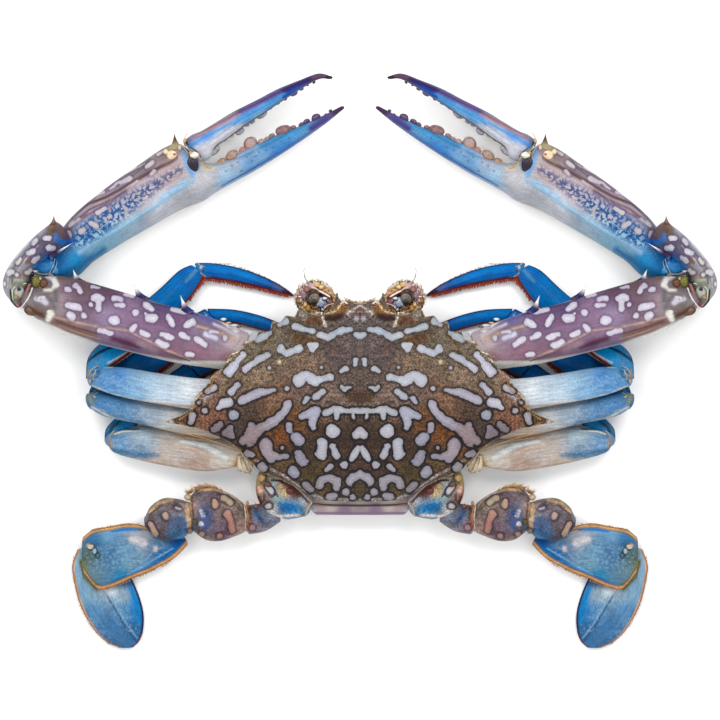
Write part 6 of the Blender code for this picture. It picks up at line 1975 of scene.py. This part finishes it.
HEAD_FOLDS = (
    (((319, 291, 25.4), (324, 293.5, 26.6), (330, 297, 26.9)), 0.32, (240, 222, 226)),
    (((319, 292.4, 25), (325, 295.4, 26.4), (333, 299.4, 26.8)), 0.3, (110, 34, 38)),
    (((323, 290, 25), (330, 293.4, 26), (336, 298.6, 26.4)), 0.3, (214, 150, 60)),
    (((344, 302, 27), (340, 304.5, 27), (336.5, 309, 26.8), (330, 313.6, 26.2)), 0.42, (232, 212, 180)),
    (((344, 301, 27), (347, 304, 27.2), (352, 308, 27.4)), 0.32, (220, 214, 210)),
    (((320, 299.6, 26.6), (324, 300.6, 26.9), (329, 299.4, 27.1)), 0.16, (70, 50, 62)),
    (((322.6, 307.6, 26.6), (325.4, 303.4, 26.8), (331, 301, 27)), 0.18, (96, 60, 74)),
    (((324, 309, 26.2), (328, 305.4, 26.8), (334, 303.6, 26.8)), 0.16, (214, 196, 190)),
    (((326, 311, 26.2), (331, 308.4, 26.8), (336.5, 303, 27)), 0.16, (120, 76, 54)),
    (((318.4, 304.4, 26.4), (319.6, 308, 26.2), (323.4, 311.6, 26.2)), 0.16, (60, 44, 50)),
    (((305, 285.6, 24.2), (302.6, 290.6, 24.6), (303.6, 296.4, 25.2)), 0.16, (206, 180, 170)),
    (((299.6, 289.4, 23.4), (298, 295.6, 23.6), (299.6, 301.6, 23.8)), 0.16, (206, 186, 160)),
    (((306.6, 284, 24.4), (311, 287.6, 25.2), (315, 288.4, 25.4)), 0.16, (232, 216, 206)),
    (((313, 283, 24.2), (317, 286.4, 25.2), (322.6, 285.8, 25.2)), 0.16, (222, 190, 130)),
    (((304, 286.6, 24.2), (309, 290.6, 25.2), (312.4, 290.6, 25.4)), 0.16, (96, 60, 60)),
    (((340, 299, 26.2), (343.4, 303.4, 27), (346.4, 308.4, 27.4)), 0.18, (226, 214, 196)),
    (((337, 300.6, 26.6), (340.8, 304, 27), (341.6, 309.4, 27.2)), 0.18, (206, 176, 130)),
    (((302, 307, 25), (306, 312.6, 25), (313, 315, 25.2), (320, 313, 25.6)), 0.3, (214, 190, 156)),
    (((321.6, 312.6, 26), (322, 317, 26.8), (321.5, 321, 27.4)), 0.4, (226, 226, 226)),
    (((325, 313.5, 26.4), (325.6, 319, 27.4), (325.2, 326.5, 28.2)), 0.42, (226, 222, 214)),
    (((309, 285.5, 23.6), (305.6, 278, 24), (304, 271.6, 23.6), (304.8, 268, 23.2)), 0.12, (120, 110, 110)),
    (
        ((308, 302, 24.6), (307.6, 297, 25), (310, 293.4, 25.4), (315, 292.2, 25.6), (319.4, 294, 25.6)),
        0.28, (96, 80, 70),
    ),
)
EARTHS = ((150, 116, 80), (120, 86, 58), (190, 156, 110), (76, 54, 40), (210, 188, 156))
PINKS = ((168, 142, 152), (196, 174, 168), (200, 178, 146), (136, 108, 102), (226, 212, 204), (160, 132, 118))
GOLDS = ((208, 184, 144), (188, 160, 120), (226, 210, 180), (130, 98, 82), (222, 212, 200))
DARKS = ((134, 104, 100), (84, 56, 50), (180, 150, 116), (206, 188, 178), (100, 66, 50), (58, 38, 32))
# Strewn lumps: pixel across and down, height, half width and depth of their place in pixels, count, smallest
# and largest half size in millimetres, colours
HEAD_RUBBLE = (
    (304, 294, 24, 7, 9, 110, (0.16, 0.42), PINKS),
    (313.4, 286.4, 24, 8.4, 4.8, 80, (0.16, 0.4), GOLDS + PINKS),
    (323.4, 291.4, 24.4, 6, 2.6, 45, (0.15, 0.34), GOLDS),
    (314, 309, 23.8, 13, 5, 110, (0.16, 0.42), EARTHS),
    (300, 302, 22.8, 4, 5, 40, (0.16, 0.36), EARTHS + PINKS),
    (332, 304, 26.2, 7, 6, 90, (0.15, 0.36), DARKS),
    (340, 308, 26.6, 6, 6, 60, (0.15, 0.36), EARTHS + GOLDS),
    (352, 303.6, 26, 8, 1.8, 50, (0.15, 0.32), GOLDS + PINKS),
    (346, 304, 26.6, 4, 4, 30, (0.15, 0.32), PINKS),
)
# Fringes of hairs: the line of their roots (pixels and height), the way they point (pixels), their length in
# millimetres, how many for each millimetre, colours of root and tip, and half thickness in millimetres
RED = ((150, 48, 22), (196, 104, 60))
DARK_RED = ((110, 30, 18), (168, 66, 36))
GOLDEN = ((176, 128, 66), (222, 190, 132))
PALE_HAIR = ((190, 160, 120), (236, 222, 200))
GREY_HAIR = ((120, 96, 80), (186, 170, 160))
LEG_FRINGES = (
    (((188, 299.5, 3.4), (194, 290, 3.4), (204, 278, 3.6)), (0.6, 0.9), (0.8, 1.7), 16, RED, 0.13),
    (
        ((205, 278.5, 3.2), (225, 281, 3.2), (250, 286, 2.8), (272, 291, 2.4), (288, 295, 1.8)), (0.1, 1),
        (0.7, 1.5), 15, RED, 0.12,
    ),
    (
        ((200, 263.5, 4), (230, 264, 3.6), (258, 274, 3), (282, 286, 2)), (0, -1), (0.2, 0.5), 4, DARK_RED,
        0.1,
    ),
    (((158, 372, 3.4), (170, 361, 3.4), (181, 352, 3.4)), (0.5, 1), (1.2, 2.6), 16, DARK_RED, 0.14),
    (((198, 380, 3.4), (210, 374, 3.2), (222, 366, 3)), (0.2, -1), (1.2, 3.2), 18, DARK_RED, 0.14),
    (((212, 325, 3), (225, 325.5, 3), (240, 327, 2.8)), (0.1, 1), (0.5, 1), 8, RED, 0.11),
    (((100, 364, 11), (104, 369, 12)), (-0.4, 1), (0.3, 0.7), 8, GREY_HAIR, 0.1),
)
SWIM_FRINGES = (
    (
        ((188, 494, 10.5), (198, 489, 10.8), (210, 487, 10.8), (222, 490.5, 10.6)), (-0.9, -0.5),
        (1.2, 3.4), 8, GOLDEN, 0.14,
    ),
    (
        ((148, 521, 9), (150, 511, 9.4), (158, 502.5, 9.6), (170, 499, 9.6)), (-0.8, -0.5), (0.6, 1.6), 6,
        GOLDEN, 0.12,
    ),
    (((90, 531, 6), (112, 526.5, 6), (140, 524, 6)), (-0.1, -1), (0.3, 0.7), 6, GOLDEN, 0.09),
    (
        ((186, 546, 5.4), (165, 565, 5.4), (131, 580, 5.4), (104, 589, 5.4)), (0.4, 1), (0.3, 0.7), 6,
        GOLDEN, 0.09,
    ),
    (
        ((73, 556, 2), (73, 578, 2), (79, 605, 2), (90, 627, 2), (108, 644, 2), (122, 648, 2)), (-0.7, 0.6),
        (0.25, 0.6), 5, GOLDEN, 0.08,
    ),
)
HEAD_FRINGES = (
    (
        (
            (297, 292, 22.6), (299, 288, 23), (304, 284, 23.2), (312, 281.4, 23.4), (320, 281.6, 23.6),
            (328, 286, 24), (334, 292, 24.4),
        ),
        (-0.3, -1), (0.6, 1.9), 5, PALE_HAIR, 0.09,
    ),
    (
        ((303, 290, 23.8), (310, 284, 24.4), (320, 284, 24.8), (327, 289, 25)), (0.5, -0.8), (0.7, 1.9), 4,
        PALE_HAIR, 0.09,
    ),
    (((296.5, 293, 22.4), (296, 299, 22.4), (298, 304, 22.4)), (-1, 0.4), (0.6, 1.8), 8, PALE_HAIR, 0.1),
    (((298, 302, 22.6), (303, 306, 23.4)), (-0.5, 0.8), (0.5, 1.2), 8, GOLDEN, 0.1),
    (
        ((302, 303, 24.6), (306, 310, 25), (314, 312.6, 25.4), (322, 310, 26)), (0.1, -1), (0.5, 1.3), 5,
        PALE_HAIR, 0.09,
    ),
    (((324, 313, 26.4), (336, 309, 26.8), (343, 303, 27)), (-0.5, -0.8), (0.5, 1.4), 7, GOLDEN, 0.09),
    (((340, 302, 26.4), (347, 302.4, 26.4), (360, 302.6, 26.2)), (0.1, -1), (0.3, 1.1), 7, PALE_HAIR, 0.09),
    (((322, 292, 26), (330, 295, 26.6), (338, 300, 27)), (0.4, -0.9), (0.5, 1.3), 6, PALE_HAIR, 0.09),
    (((334, 300, 26.6), (342, 308, 27)), (0.8, -0.3), (0.5, 1.2), 6, PALE_HAIR, 0.09),
)
SHELL_FRINGES = (
    (
        ((180, 420.5, 24.4), (192, 411, 24.6), (202, 401, 24.8), (212, 386, 25), (217, 372, 25.2)),
        (-0.7, -0.7), (0.3, 0.8), 4, GOLDEN, 0.11,
    ),
    (((224, 361, 25.4), (231, 351, 25.6), (240, 341, 25.8)), (-0.7, -0.7), (0.2, 0.6), 4, GOLDEN, 0.1),
)


# Making the pieces
def coat(surface, look, spine=None):
    """A surface with what its points carry. A thorn has a spine: the colours of its root and tip."""
    return surface, painted(surface, look, spine)


ROOT_BACK = 0.8  # how far behind and below the part's spine a thorn's root is
ROOT_DOWN = 0.6
THORN_WIDE = 1.9  # half the width and thickness of a thorn's root, for the spine's half width
THORN_THICK = 1.1


def thorns_on(pairs, ups, half=SPINE_HALF):
    """Thorns at the part's spines, each with its broad root a little nearer the animal."""
    found = []
    for root, tip in pairs:
        start = (root[0] - half * 0.5, root[1] - ROOT_BACK, ups[0] - ROOT_DOWN)
        found.append(thorn_surface(start, (*tip, ups[1]), half * THORN_WIDE, half * THORN_THICK))
    return found


def limb_pair(name, limb, look, material, extra=()):
    """Both sides' fine pieces for a limb's nodes."""
    pair("fine_" + name, [coat(limb_surface(limb, look.ridges), look), *extra], material, name)


def at(x, y, up):
    """The place that a pixel of the photograph shows, at a height."""
    return ((MIDDLE[0] - x) * PX, (MIDDLE[1] - y) * PX, up)


def shaded(colour, share):
    return tuple(c * share for c in colour)


def lumps(rows, seed, shade=0.55, bumps=0.22):
    """Small rounded forms, each darker towards one side and on its underside: painted shade."""
    found = []
    for k, (x, y, up, wide, deep, thick, colour) in enumerate(rows):
        # A darker tint towards one side and a darker underside: painted shade on each lump
        tints = ((x, y, colour), (x + wide, y + deep, shaded(colour, 0.8)))
        look = Look(tints, below=shaded(colour, shade), soft=1.5, turn=(0.55, 0))
        found.append(coat(knob_surface(at(x, y, up), (wide * PX, deep * PX, thick), bumps, seed + k), look))
    return found


RUBBLE_SHAPES = ((1.9, 0.8, 0.9), (0.8, 1.7, 0.9))  # drawn out to the side or ahead
RUBBLE_UP = (-0.7, 0.5)  # how far lumps lie below or above the height of their place
RUBBLE_SHADES = (0.75, 1.15)


def rubble(rows, seed):
    """Small uneven lumps, strewn over oval places, each darker underneath: painted shade."""
    draws = np.random.default_rng(SEED + seed)
    found = []
    for x, y, up, wide, deep, count, sizes, tones in rows:
        for _ in range(count):
            turn, reach = draws.uniform(0, 2 * math.pi), math.sqrt(draws.random())
            spot = (x + wide * reach * math.cos(turn), y + deep * reach * math.sin(turn))
            shade, tone = draws.uniform(*RUBBLE_SHADES), tones[draws.integers(len(tones))]
            tone = shaded(tone, shade)
            size = draws.uniform(*sizes, 3)
            halves = size * RUBBLE_SHAPES[0 if draws.random() < 0.5 else 1]
            place = at(*spot, up + draws.uniform(*RUBBLE_UP))
            lump = knob_surface(place, halves, 0.5, draws.integers(999), sides=10, rows=6)
            # The darker underside is painted shade
            found.append(coat(lump, Look(((0, 0, tone),), below=shaded(tone, 0.5), turn=(0.5, -0.1))))
    return found


def cords(rows):
    """Thin rims and folds of skin."""
    found = []
    for path, half, colour in rows:
        cord = tube_surface([at(*stop) for stop in path], [half] * len(path), sides=12, step=0.4)
        found.append(coat(cord, Look(((0, 0, colour),))))
    return found


def turned(surface, angle, centre):
    """A surface modelled round nought, turned on the level and set at a place."""
    x, y, z = surface.points.T
    cos, sin = math.cos(angle), math.sin(angle)
    return surface._replace(points=np.stack([x * cos - y * sin, x * sin + y * cos, z], -1) + np.array(centre))


TOOTH_TURN = -0.52  # the teeth lie along the fingers
TOOTH_HALVES = (1.05, 0.72)  # half a tooth's length and width for its size


def make_teeth(rows, up, tall, look):
    """A finger's row of blunt teeth, each turned to lie along it."""
    found = []
    for k, (x, y, size) in enumerate(rows):
        halves = np.array((*TOOTH_HALVES, tall)) * size * PX
        tooth = knob_surface((0, 0, 0), halves, bumps=0.35, seed=k)
        found.append(coat(turned(tooth, TOOTH_TURN, at(x, y, up)), look))
    return found


def make_claws(finishes):
    """The claws, with their thorns, teeth and the skins of their joints."""
    claw, tooth = finishes["claw"], finishes["tooth"]
    limb_pair("claw_base", CLAW_BASE, ARM_BASE, finishes["belly"])
    arm = [coat(s, ARM_LOOK, ARM_THORN) for s in thorns_on(ARM_SPINES, ARM_SPINE_UP)]
    limb_pair("claw_merus", CLAW_MERUS, ARM_LOOK, claw, arm)
    wrist = [
        coat(thorn_surface(at(*root), at(*tip), half, thick), WRIST, colours)
        for root, tip, half, thick, colours in WRIST_SPINES
    ]
    limb_pair("claw_carpus", CLAW_CARPUS, WRIST, claw, wrist)
    hand = [coat(s, HAND_LOOK, HAND_THORN) for s in thorns_on(HAND_SPINES, HAND_SPINE_UP, 2.4)]
    hand.append(coat(tube_surface([at(*stop) for stop in TOOTH_BED], TOOTH_BED_HALF, 32), HAND_LOOK))
    limb_pair("claw_palm", CLAW_HAND, HAND_LOOK, claw, hand)
    limb_pair("claw_finger", CLAW_FINGER, FINGER, claw)
    palm_teeth = make_teeth(HAND_TEETH, HAND_TEETH_UP, HAND_TEETH_TALL, TOOTH_LOOK)
    pair("palm_teeth", palm_teeth, tooth)
    finger_teeth = make_teeth(FINGER_TEETH, FINGER_TEETH_UP, FINGER_TEETH_TALL, FINGER_TOOTH_LOOK)
    pair("finger_teeth", finger_teeth, tooth)
    # The joint's smooth skin gets a lighter painted shade on its underside
    skin = lumps(CLAW_SKIN, seed=70, shade=0.8, bumps=0.08)
    pair("claw_joints", lumps(CLAW_KNOBS, seed=40) + skin + cords(CLAW_FOLDS), tooth)


def make_legs(finishes):
    """The walking and the swimming legs, with their joints."""
    leg = finishes["leg"]
    for number, limbs, looks in (
        (2, (LEG2_MERUS, LEG2_CARPUS, LEG2_PROPODUS, LEG2_DACTYLUS), (LEG2_TOP, LEG2, LEG2, LEG2_END)),
        (3, (LEG3_MERUS, LEG3_CARPUS, LEG3_PROPODUS, LEG3_DACTYLUS), (LEG3_TOP, LEG3, LEG3, LEG3_END)),
        (4, (LEG4_MERUS, LEG4_CARPUS, LEG4_PROPODUS, LEG4_DACTYLUS), (LEG4_TOP, LEG4, LEG4, LEG4_END)),
    ):
        for label, limb, look in zip(("merus", "carpus", "propodus", "dactylus"), limbs, looks):
            limb_pair(f"leg{number}_{label}", limb, look, leg)
    swim = finishes["swim"]
    limb_pair("swim_base", SWIM_COXA, SWIM_ROOT, swim)
    limb_pair("swim_ischium", SWIM_BASE, SWIM_LEG, swim)
    limb_pair("swim_merus", SWIM_MERUS, SWIM_LEG, swim)
    limb_pair("swim_carpus", SWIM_CARPUS, SWIM_LEG, swim)
    pair("leg_joints", lumps(LEG_KNOBS, seed=80) + cords(LEG_FOLDS), finishes["tooth"])
    pair("swim_joints", lumps(SWIM_KNOBS, seed=120) + cords(SWIM_FOLDS), finishes["tooth"])
    limb_pair("swim_propodus", SWIM_PROPODUS, SWIM_BLADE, leg)
    limb_pair("swim_paddle", SWIM_PADDLE, PADDLE, leg)


def make_trunk(finishes):
    """The shell, the belly and the folded abdomen."""
    piece("fine_carapace", [coat(shell_surface(), SHELL)], finishes["shell"], ("carapace",))
    piece("fine_sternum", [coat(belly_surface(), BELLY)], finishes["belly"], ("sternum",))
    tail = [coat(slab_surface(stations), TAIL) for stations in (TAIL_BLOCK, TAIL_TONGUE)]
    piece("fine_abdomen", tail, finishes["belly"], ("abdomen",))


def make_head(finishes):
    """The eyes, feelers and mouthparts, and the small forms round them."""
    mouth = finishes["mouth"]
    eye = knob_surface(EYE_CENTRE, (EYE_HALF,) * 3, sides=64, rows=40)
    pair("fine_eye", [coat(eye, EYE_LOOK)], finishes["eye"], "eye")
    pair("fine_eyestalk", [coat(tube_surface(STALK, STALK_HALF), STALK_LOOK)], mouth, "eyestalk")
    palp = coat(tube_surface(PALP, PALP_HALF, 40), PALP_LOOK)
    pair("fine_maxilliped", [coat(limb_surface(JAW), JAW_LOOK), palp], mouth, "maxilliped")
    pair("fine_antenna", [coat(tube_surface(FEELER, FEELER_HALF), FEELER_LOOK)], mouth, "antenna")
    forms = lumps(HEAD_LUMPS, seed=160) + cords(HEAD_FOLDS) + rubble(HEAD_RUBBLE, seed=250)
    pair("head_forms", forms, mouth)
    small = coat(tube_surface(SMALL_FEELER, SMALL_FEELER_HALF), SMALL_FEELER_LOOK)
    pair("fine_antennule", [small], mouth, "antennule")


# Hair
SPREAD = 0.28  # how much the hairs of a fringe differ in direction
ROOT_SPREAD = 0.14  # how far their roots lie from the line, in millimetres
HAIR_SHARES = (-0.15, 0.3, 0.7, 1.0)  # rings of a hair along its length
HAIR_THICK = (0.9, 1.0, 0.6, 0.08)
HAIR_SIDES = 4
HAIR_DROOP = -0.18
HAIR_TONES = (0.75, 1.2)  # darkest and lightest hair, for its colour
HAIR_WIDTHS = (0.7, 1.2)
HAIR_LOWEST = 0.02  # no hair reaches into the floor
PATCH = 0.003  # a hair's size on the unwrap


def hairs(lines, seed):
    """Hairs in fringes: their roots, ways, lengths, half widths, colours and places on the edges' unwrap."""
    draws = np.random.default_rng(SEED + seed)
    roots, ways, lengths, halves, colours, spots = [], [], [], [], [], []
    for k, (path, way, reach, crowd, tones, half) in enumerate(lines):
        path = np.array([at(*stop) for stop in path])
        runs = np.concatenate([[0], np.cumsum(np.linalg.norm(np.diff(path, axis=0), axis=1))])
        count = int(runs[-1] * crowd)
        share = np.sort(draws.random(count))
        root = np.stack([np.interp(share * runs[-1], runs, path[:, axis]) for axis in range(3)], -1)
        roots.append(root + draws.normal(0, ROOT_SPREAD, (count, 3)))
        main = np.array((-way[0], -way[1], 0.0)) / math.hypot(*way)
        ways.append(unit(main + draws.normal(0, SPREAD, (count, 3))))
        lengths.append(draws.uniform(*reach, count))
        halves.append(np.full(count, half) * draws.uniform(*HAIR_WIDTHS, count))
        pick = draws.uniform(*HAIR_TONES, (count, 1, 1))
        colours.append(np.stack([linear(tones[0]), linear(tones[1])])[None] * pick)
        spots.append(np.stack([0.02 + 0.96 * share, (k + draws.uniform(0.3, 0.7, count)) / len(lines)], -1))
    return [np.concatenate(part) for part in (roots, ways, lengths, halves, colours, spots)]


def hair_points(roots, ways, lengths, halves, colours, spots):
    """Thin tapered hairs' points, their tints and their places on the unwrap."""
    across, up = square_to(ways)
    turn = np.arange(HAIR_SIDES) * 2 * np.pi / HAIR_SIDES
    circle = across[:, None] * np.cos(turn)[None, :, None] + up[:, None] * np.sin(turn)[None, :, None]
    rings, tints, marks = [], [], []
    for share, thick in zip(HAIR_SHARES, HAIR_THICK):
        out = max(share, 0)
        droop = np.array((0, 0, HAIR_DROOP)) * share**2
        centre = roots + (ways + droop) * (lengths * share)[:, None]
        rings.append(centre[:, None] + circle * (halves * thick)[:, None, None])
        tone = colours[:, 0] * (1 - out) + colours[:, 1] * out
        tints.append(np.repeat(tone[:, None], HAIR_SIDES, 1))
        shift = np.stack([np.arange(HAIR_SIDES) / HAIR_SIDES - 0.5, np.full(HAIR_SIDES, out - 0.5)], -1)
        marks.append(spots[:, None] + (shift * PATCH)[None])
    points = np.stack(rings, 1).reshape(-1, 3)
    points[:, 2] = np.maximum(points[:, 2], HAIR_LOWEST)
    return points, np.stack(tints, 1).reshape(-1, 3), np.stack(marks, 1).reshape(-1, 2)


def hair_faces(count):
    """The faces of that many hairs, with their ends closed."""
    rows, sides = len(HAIR_SHARES), HAIR_SIDES
    ends = np.array([range(sides - 1, -1, -1), range((rows - 1) * sides, rows * sides)])
    one = np.concatenate([grid_faces(rows, sides), ends])
    starts = np.arange(count) * rows * sides
    return (starts[:, None, None] + one[None]).reshape(-1, 4)


def fringe(name, lines, material, seed):
    """The fringes of one side and their mirror image, each one solid piece with its map."""
    grown = hairs(lines, seed)
    points, tints, marks = hair_points(*grown)
    none = np.zeros(len(points))
    surface = Surface(points, hair_faces(len(grown[0])), np.zeros((0, 3), int), none, none, none, none)
    for side, flip in (("r", False), ("l", True)):
        mesh = mesh_of(f"{name}_{side}", mirrored(surface) if flip else surface, {"tint": tints})
        layer = mesh.uv_layers.new(name="OFBake")
        corners = np.empty(len(mesh.loops), np.int32)
        mesh.loops.foreach_get("vertex_index", corners)
        layer.data.foreach_set("uv", marks[corners].astype(np.float32).ravel())
        shown(f"{name}_{side}", mesh, material)


def make_hair(finishes):
    """All the fringes."""
    for name, lines, slot, seed in (
        ("hair_legs", LEG_FRINGES, "leg", 300), ("hair_swim", SWIM_FRINGES, "paddle", 301),
        ("hair_head", HEAD_FRINGES, "mouth", 302), ("hair_shell", SHELL_FRINGES, "shell", 303),
    ):
        fringe(name, lines, finishes["hair"], seed)


# Floor, light and camera
DAYLIGHT = (1, 0.985, 0.96)
SKY_POWER = 0.85
# Soft square lamps, one on each side: name, place on the right side, size and power
LAMPS = (("key", (0.5, 0.55, 1.0), 0.45, 5.5), ("fill", (0.6, -0.5, 1.0), 0.8, 2.0))
FLOOR_HALF = 3.0
FLOOR_COLOUR = (0.94, 0.95, 0.97)
CAMERA_UP = 4.0
FRAME_WIDE = 0.288  # what the frame shows, on the level of the animal
FRAME_UP = 0.012
FRAME_AHEAD = 0.4 * MM  # the frame's middle
SENSOR = 36


def make_floor():
    """A pale floor that isn't part of the model."""
    mesh = bpy.data.meshes.new("floor")
    corners = [(x * FLOOR_HALF, y * FLOOR_HALF, 0) for x, y in ((-1, -1), (1, -1), (1, 1), (-1, 1))]
    mesh.from_pydata(corners, [], [(0, 1, 2, 3)])
    floor = bpy.data.objects.new("floor", mesh)
    bpy.context.scene.collection.objects.link(floor)
    material = bpy.data.materials.new("floor")
    material.use_nodes = True
    shader = material.node_tree.nodes["Principled BSDF"]
    shader.inputs["Base Color"].default_value = (*FLOOR_COLOUR, 1)
    shader.inputs["Roughness"].default_value = 0.9
    shader.inputs["Specular IOR Level"].default_value = 0.1
    mesh.materials.append(material)


def make_light(name, place, size, power):
    """A soft square light that faces the animal."""
    data = bpy.data.lights.new(name, "AREA")
    data.size = size
    data.energy = power
    data.color = DAYLIGHT
    light = bpy.data.objects.new(name, data)
    light.location = place
    x, y, up = place
    light.rotation_euler = (math.atan2(math.hypot(x, y), up), 0, math.atan2(x, -y))
    bpy.context.scene.collection.objects.link(light)


def make_stage():
    """The floor, the light and the camera, which looks straight down."""
    make_floor()
    scene = bpy.context.scene
    world = bpy.data.worlds.new("surroundings")
    world.use_nodes = True
    sky = world.node_tree.nodes["Background"].inputs
    sky["Color"].default_value = (*DAYLIGHT, 1)
    sky["Strength"].default_value = SKY_POWER
    scene.world = world
    for side in (-1, 1):
        for name, (out, ahead, up), size, power in LAMPS:
            make_light(f"{name}_{side}", (side * out, ahead, up), size, power)
    scene.view_settings.view_transform = "Standard"
    camera = bpy.data.cameras.new("camera")
    camera.sensor_width = SENSOR
    camera.lens = SENSOR * (CAMERA_UP - FRAME_UP) / FRAME_WIDE
    camera.clip_end = 20
    viewer = bpy.data.objects.new("camera", camera)
    viewer.location = (0, FRAME_AHEAD, CAMERA_UP)
    scene.collection.objects.link(viewer)
    scene.camera = viewer


def main():
    finishes = make_finishes()
    make_trunk(finishes)
    make_claws(finishes)
    make_legs(finishes)
    make_head(finishes)
    make_hair(finishes)
    make_stage()
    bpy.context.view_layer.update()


main()
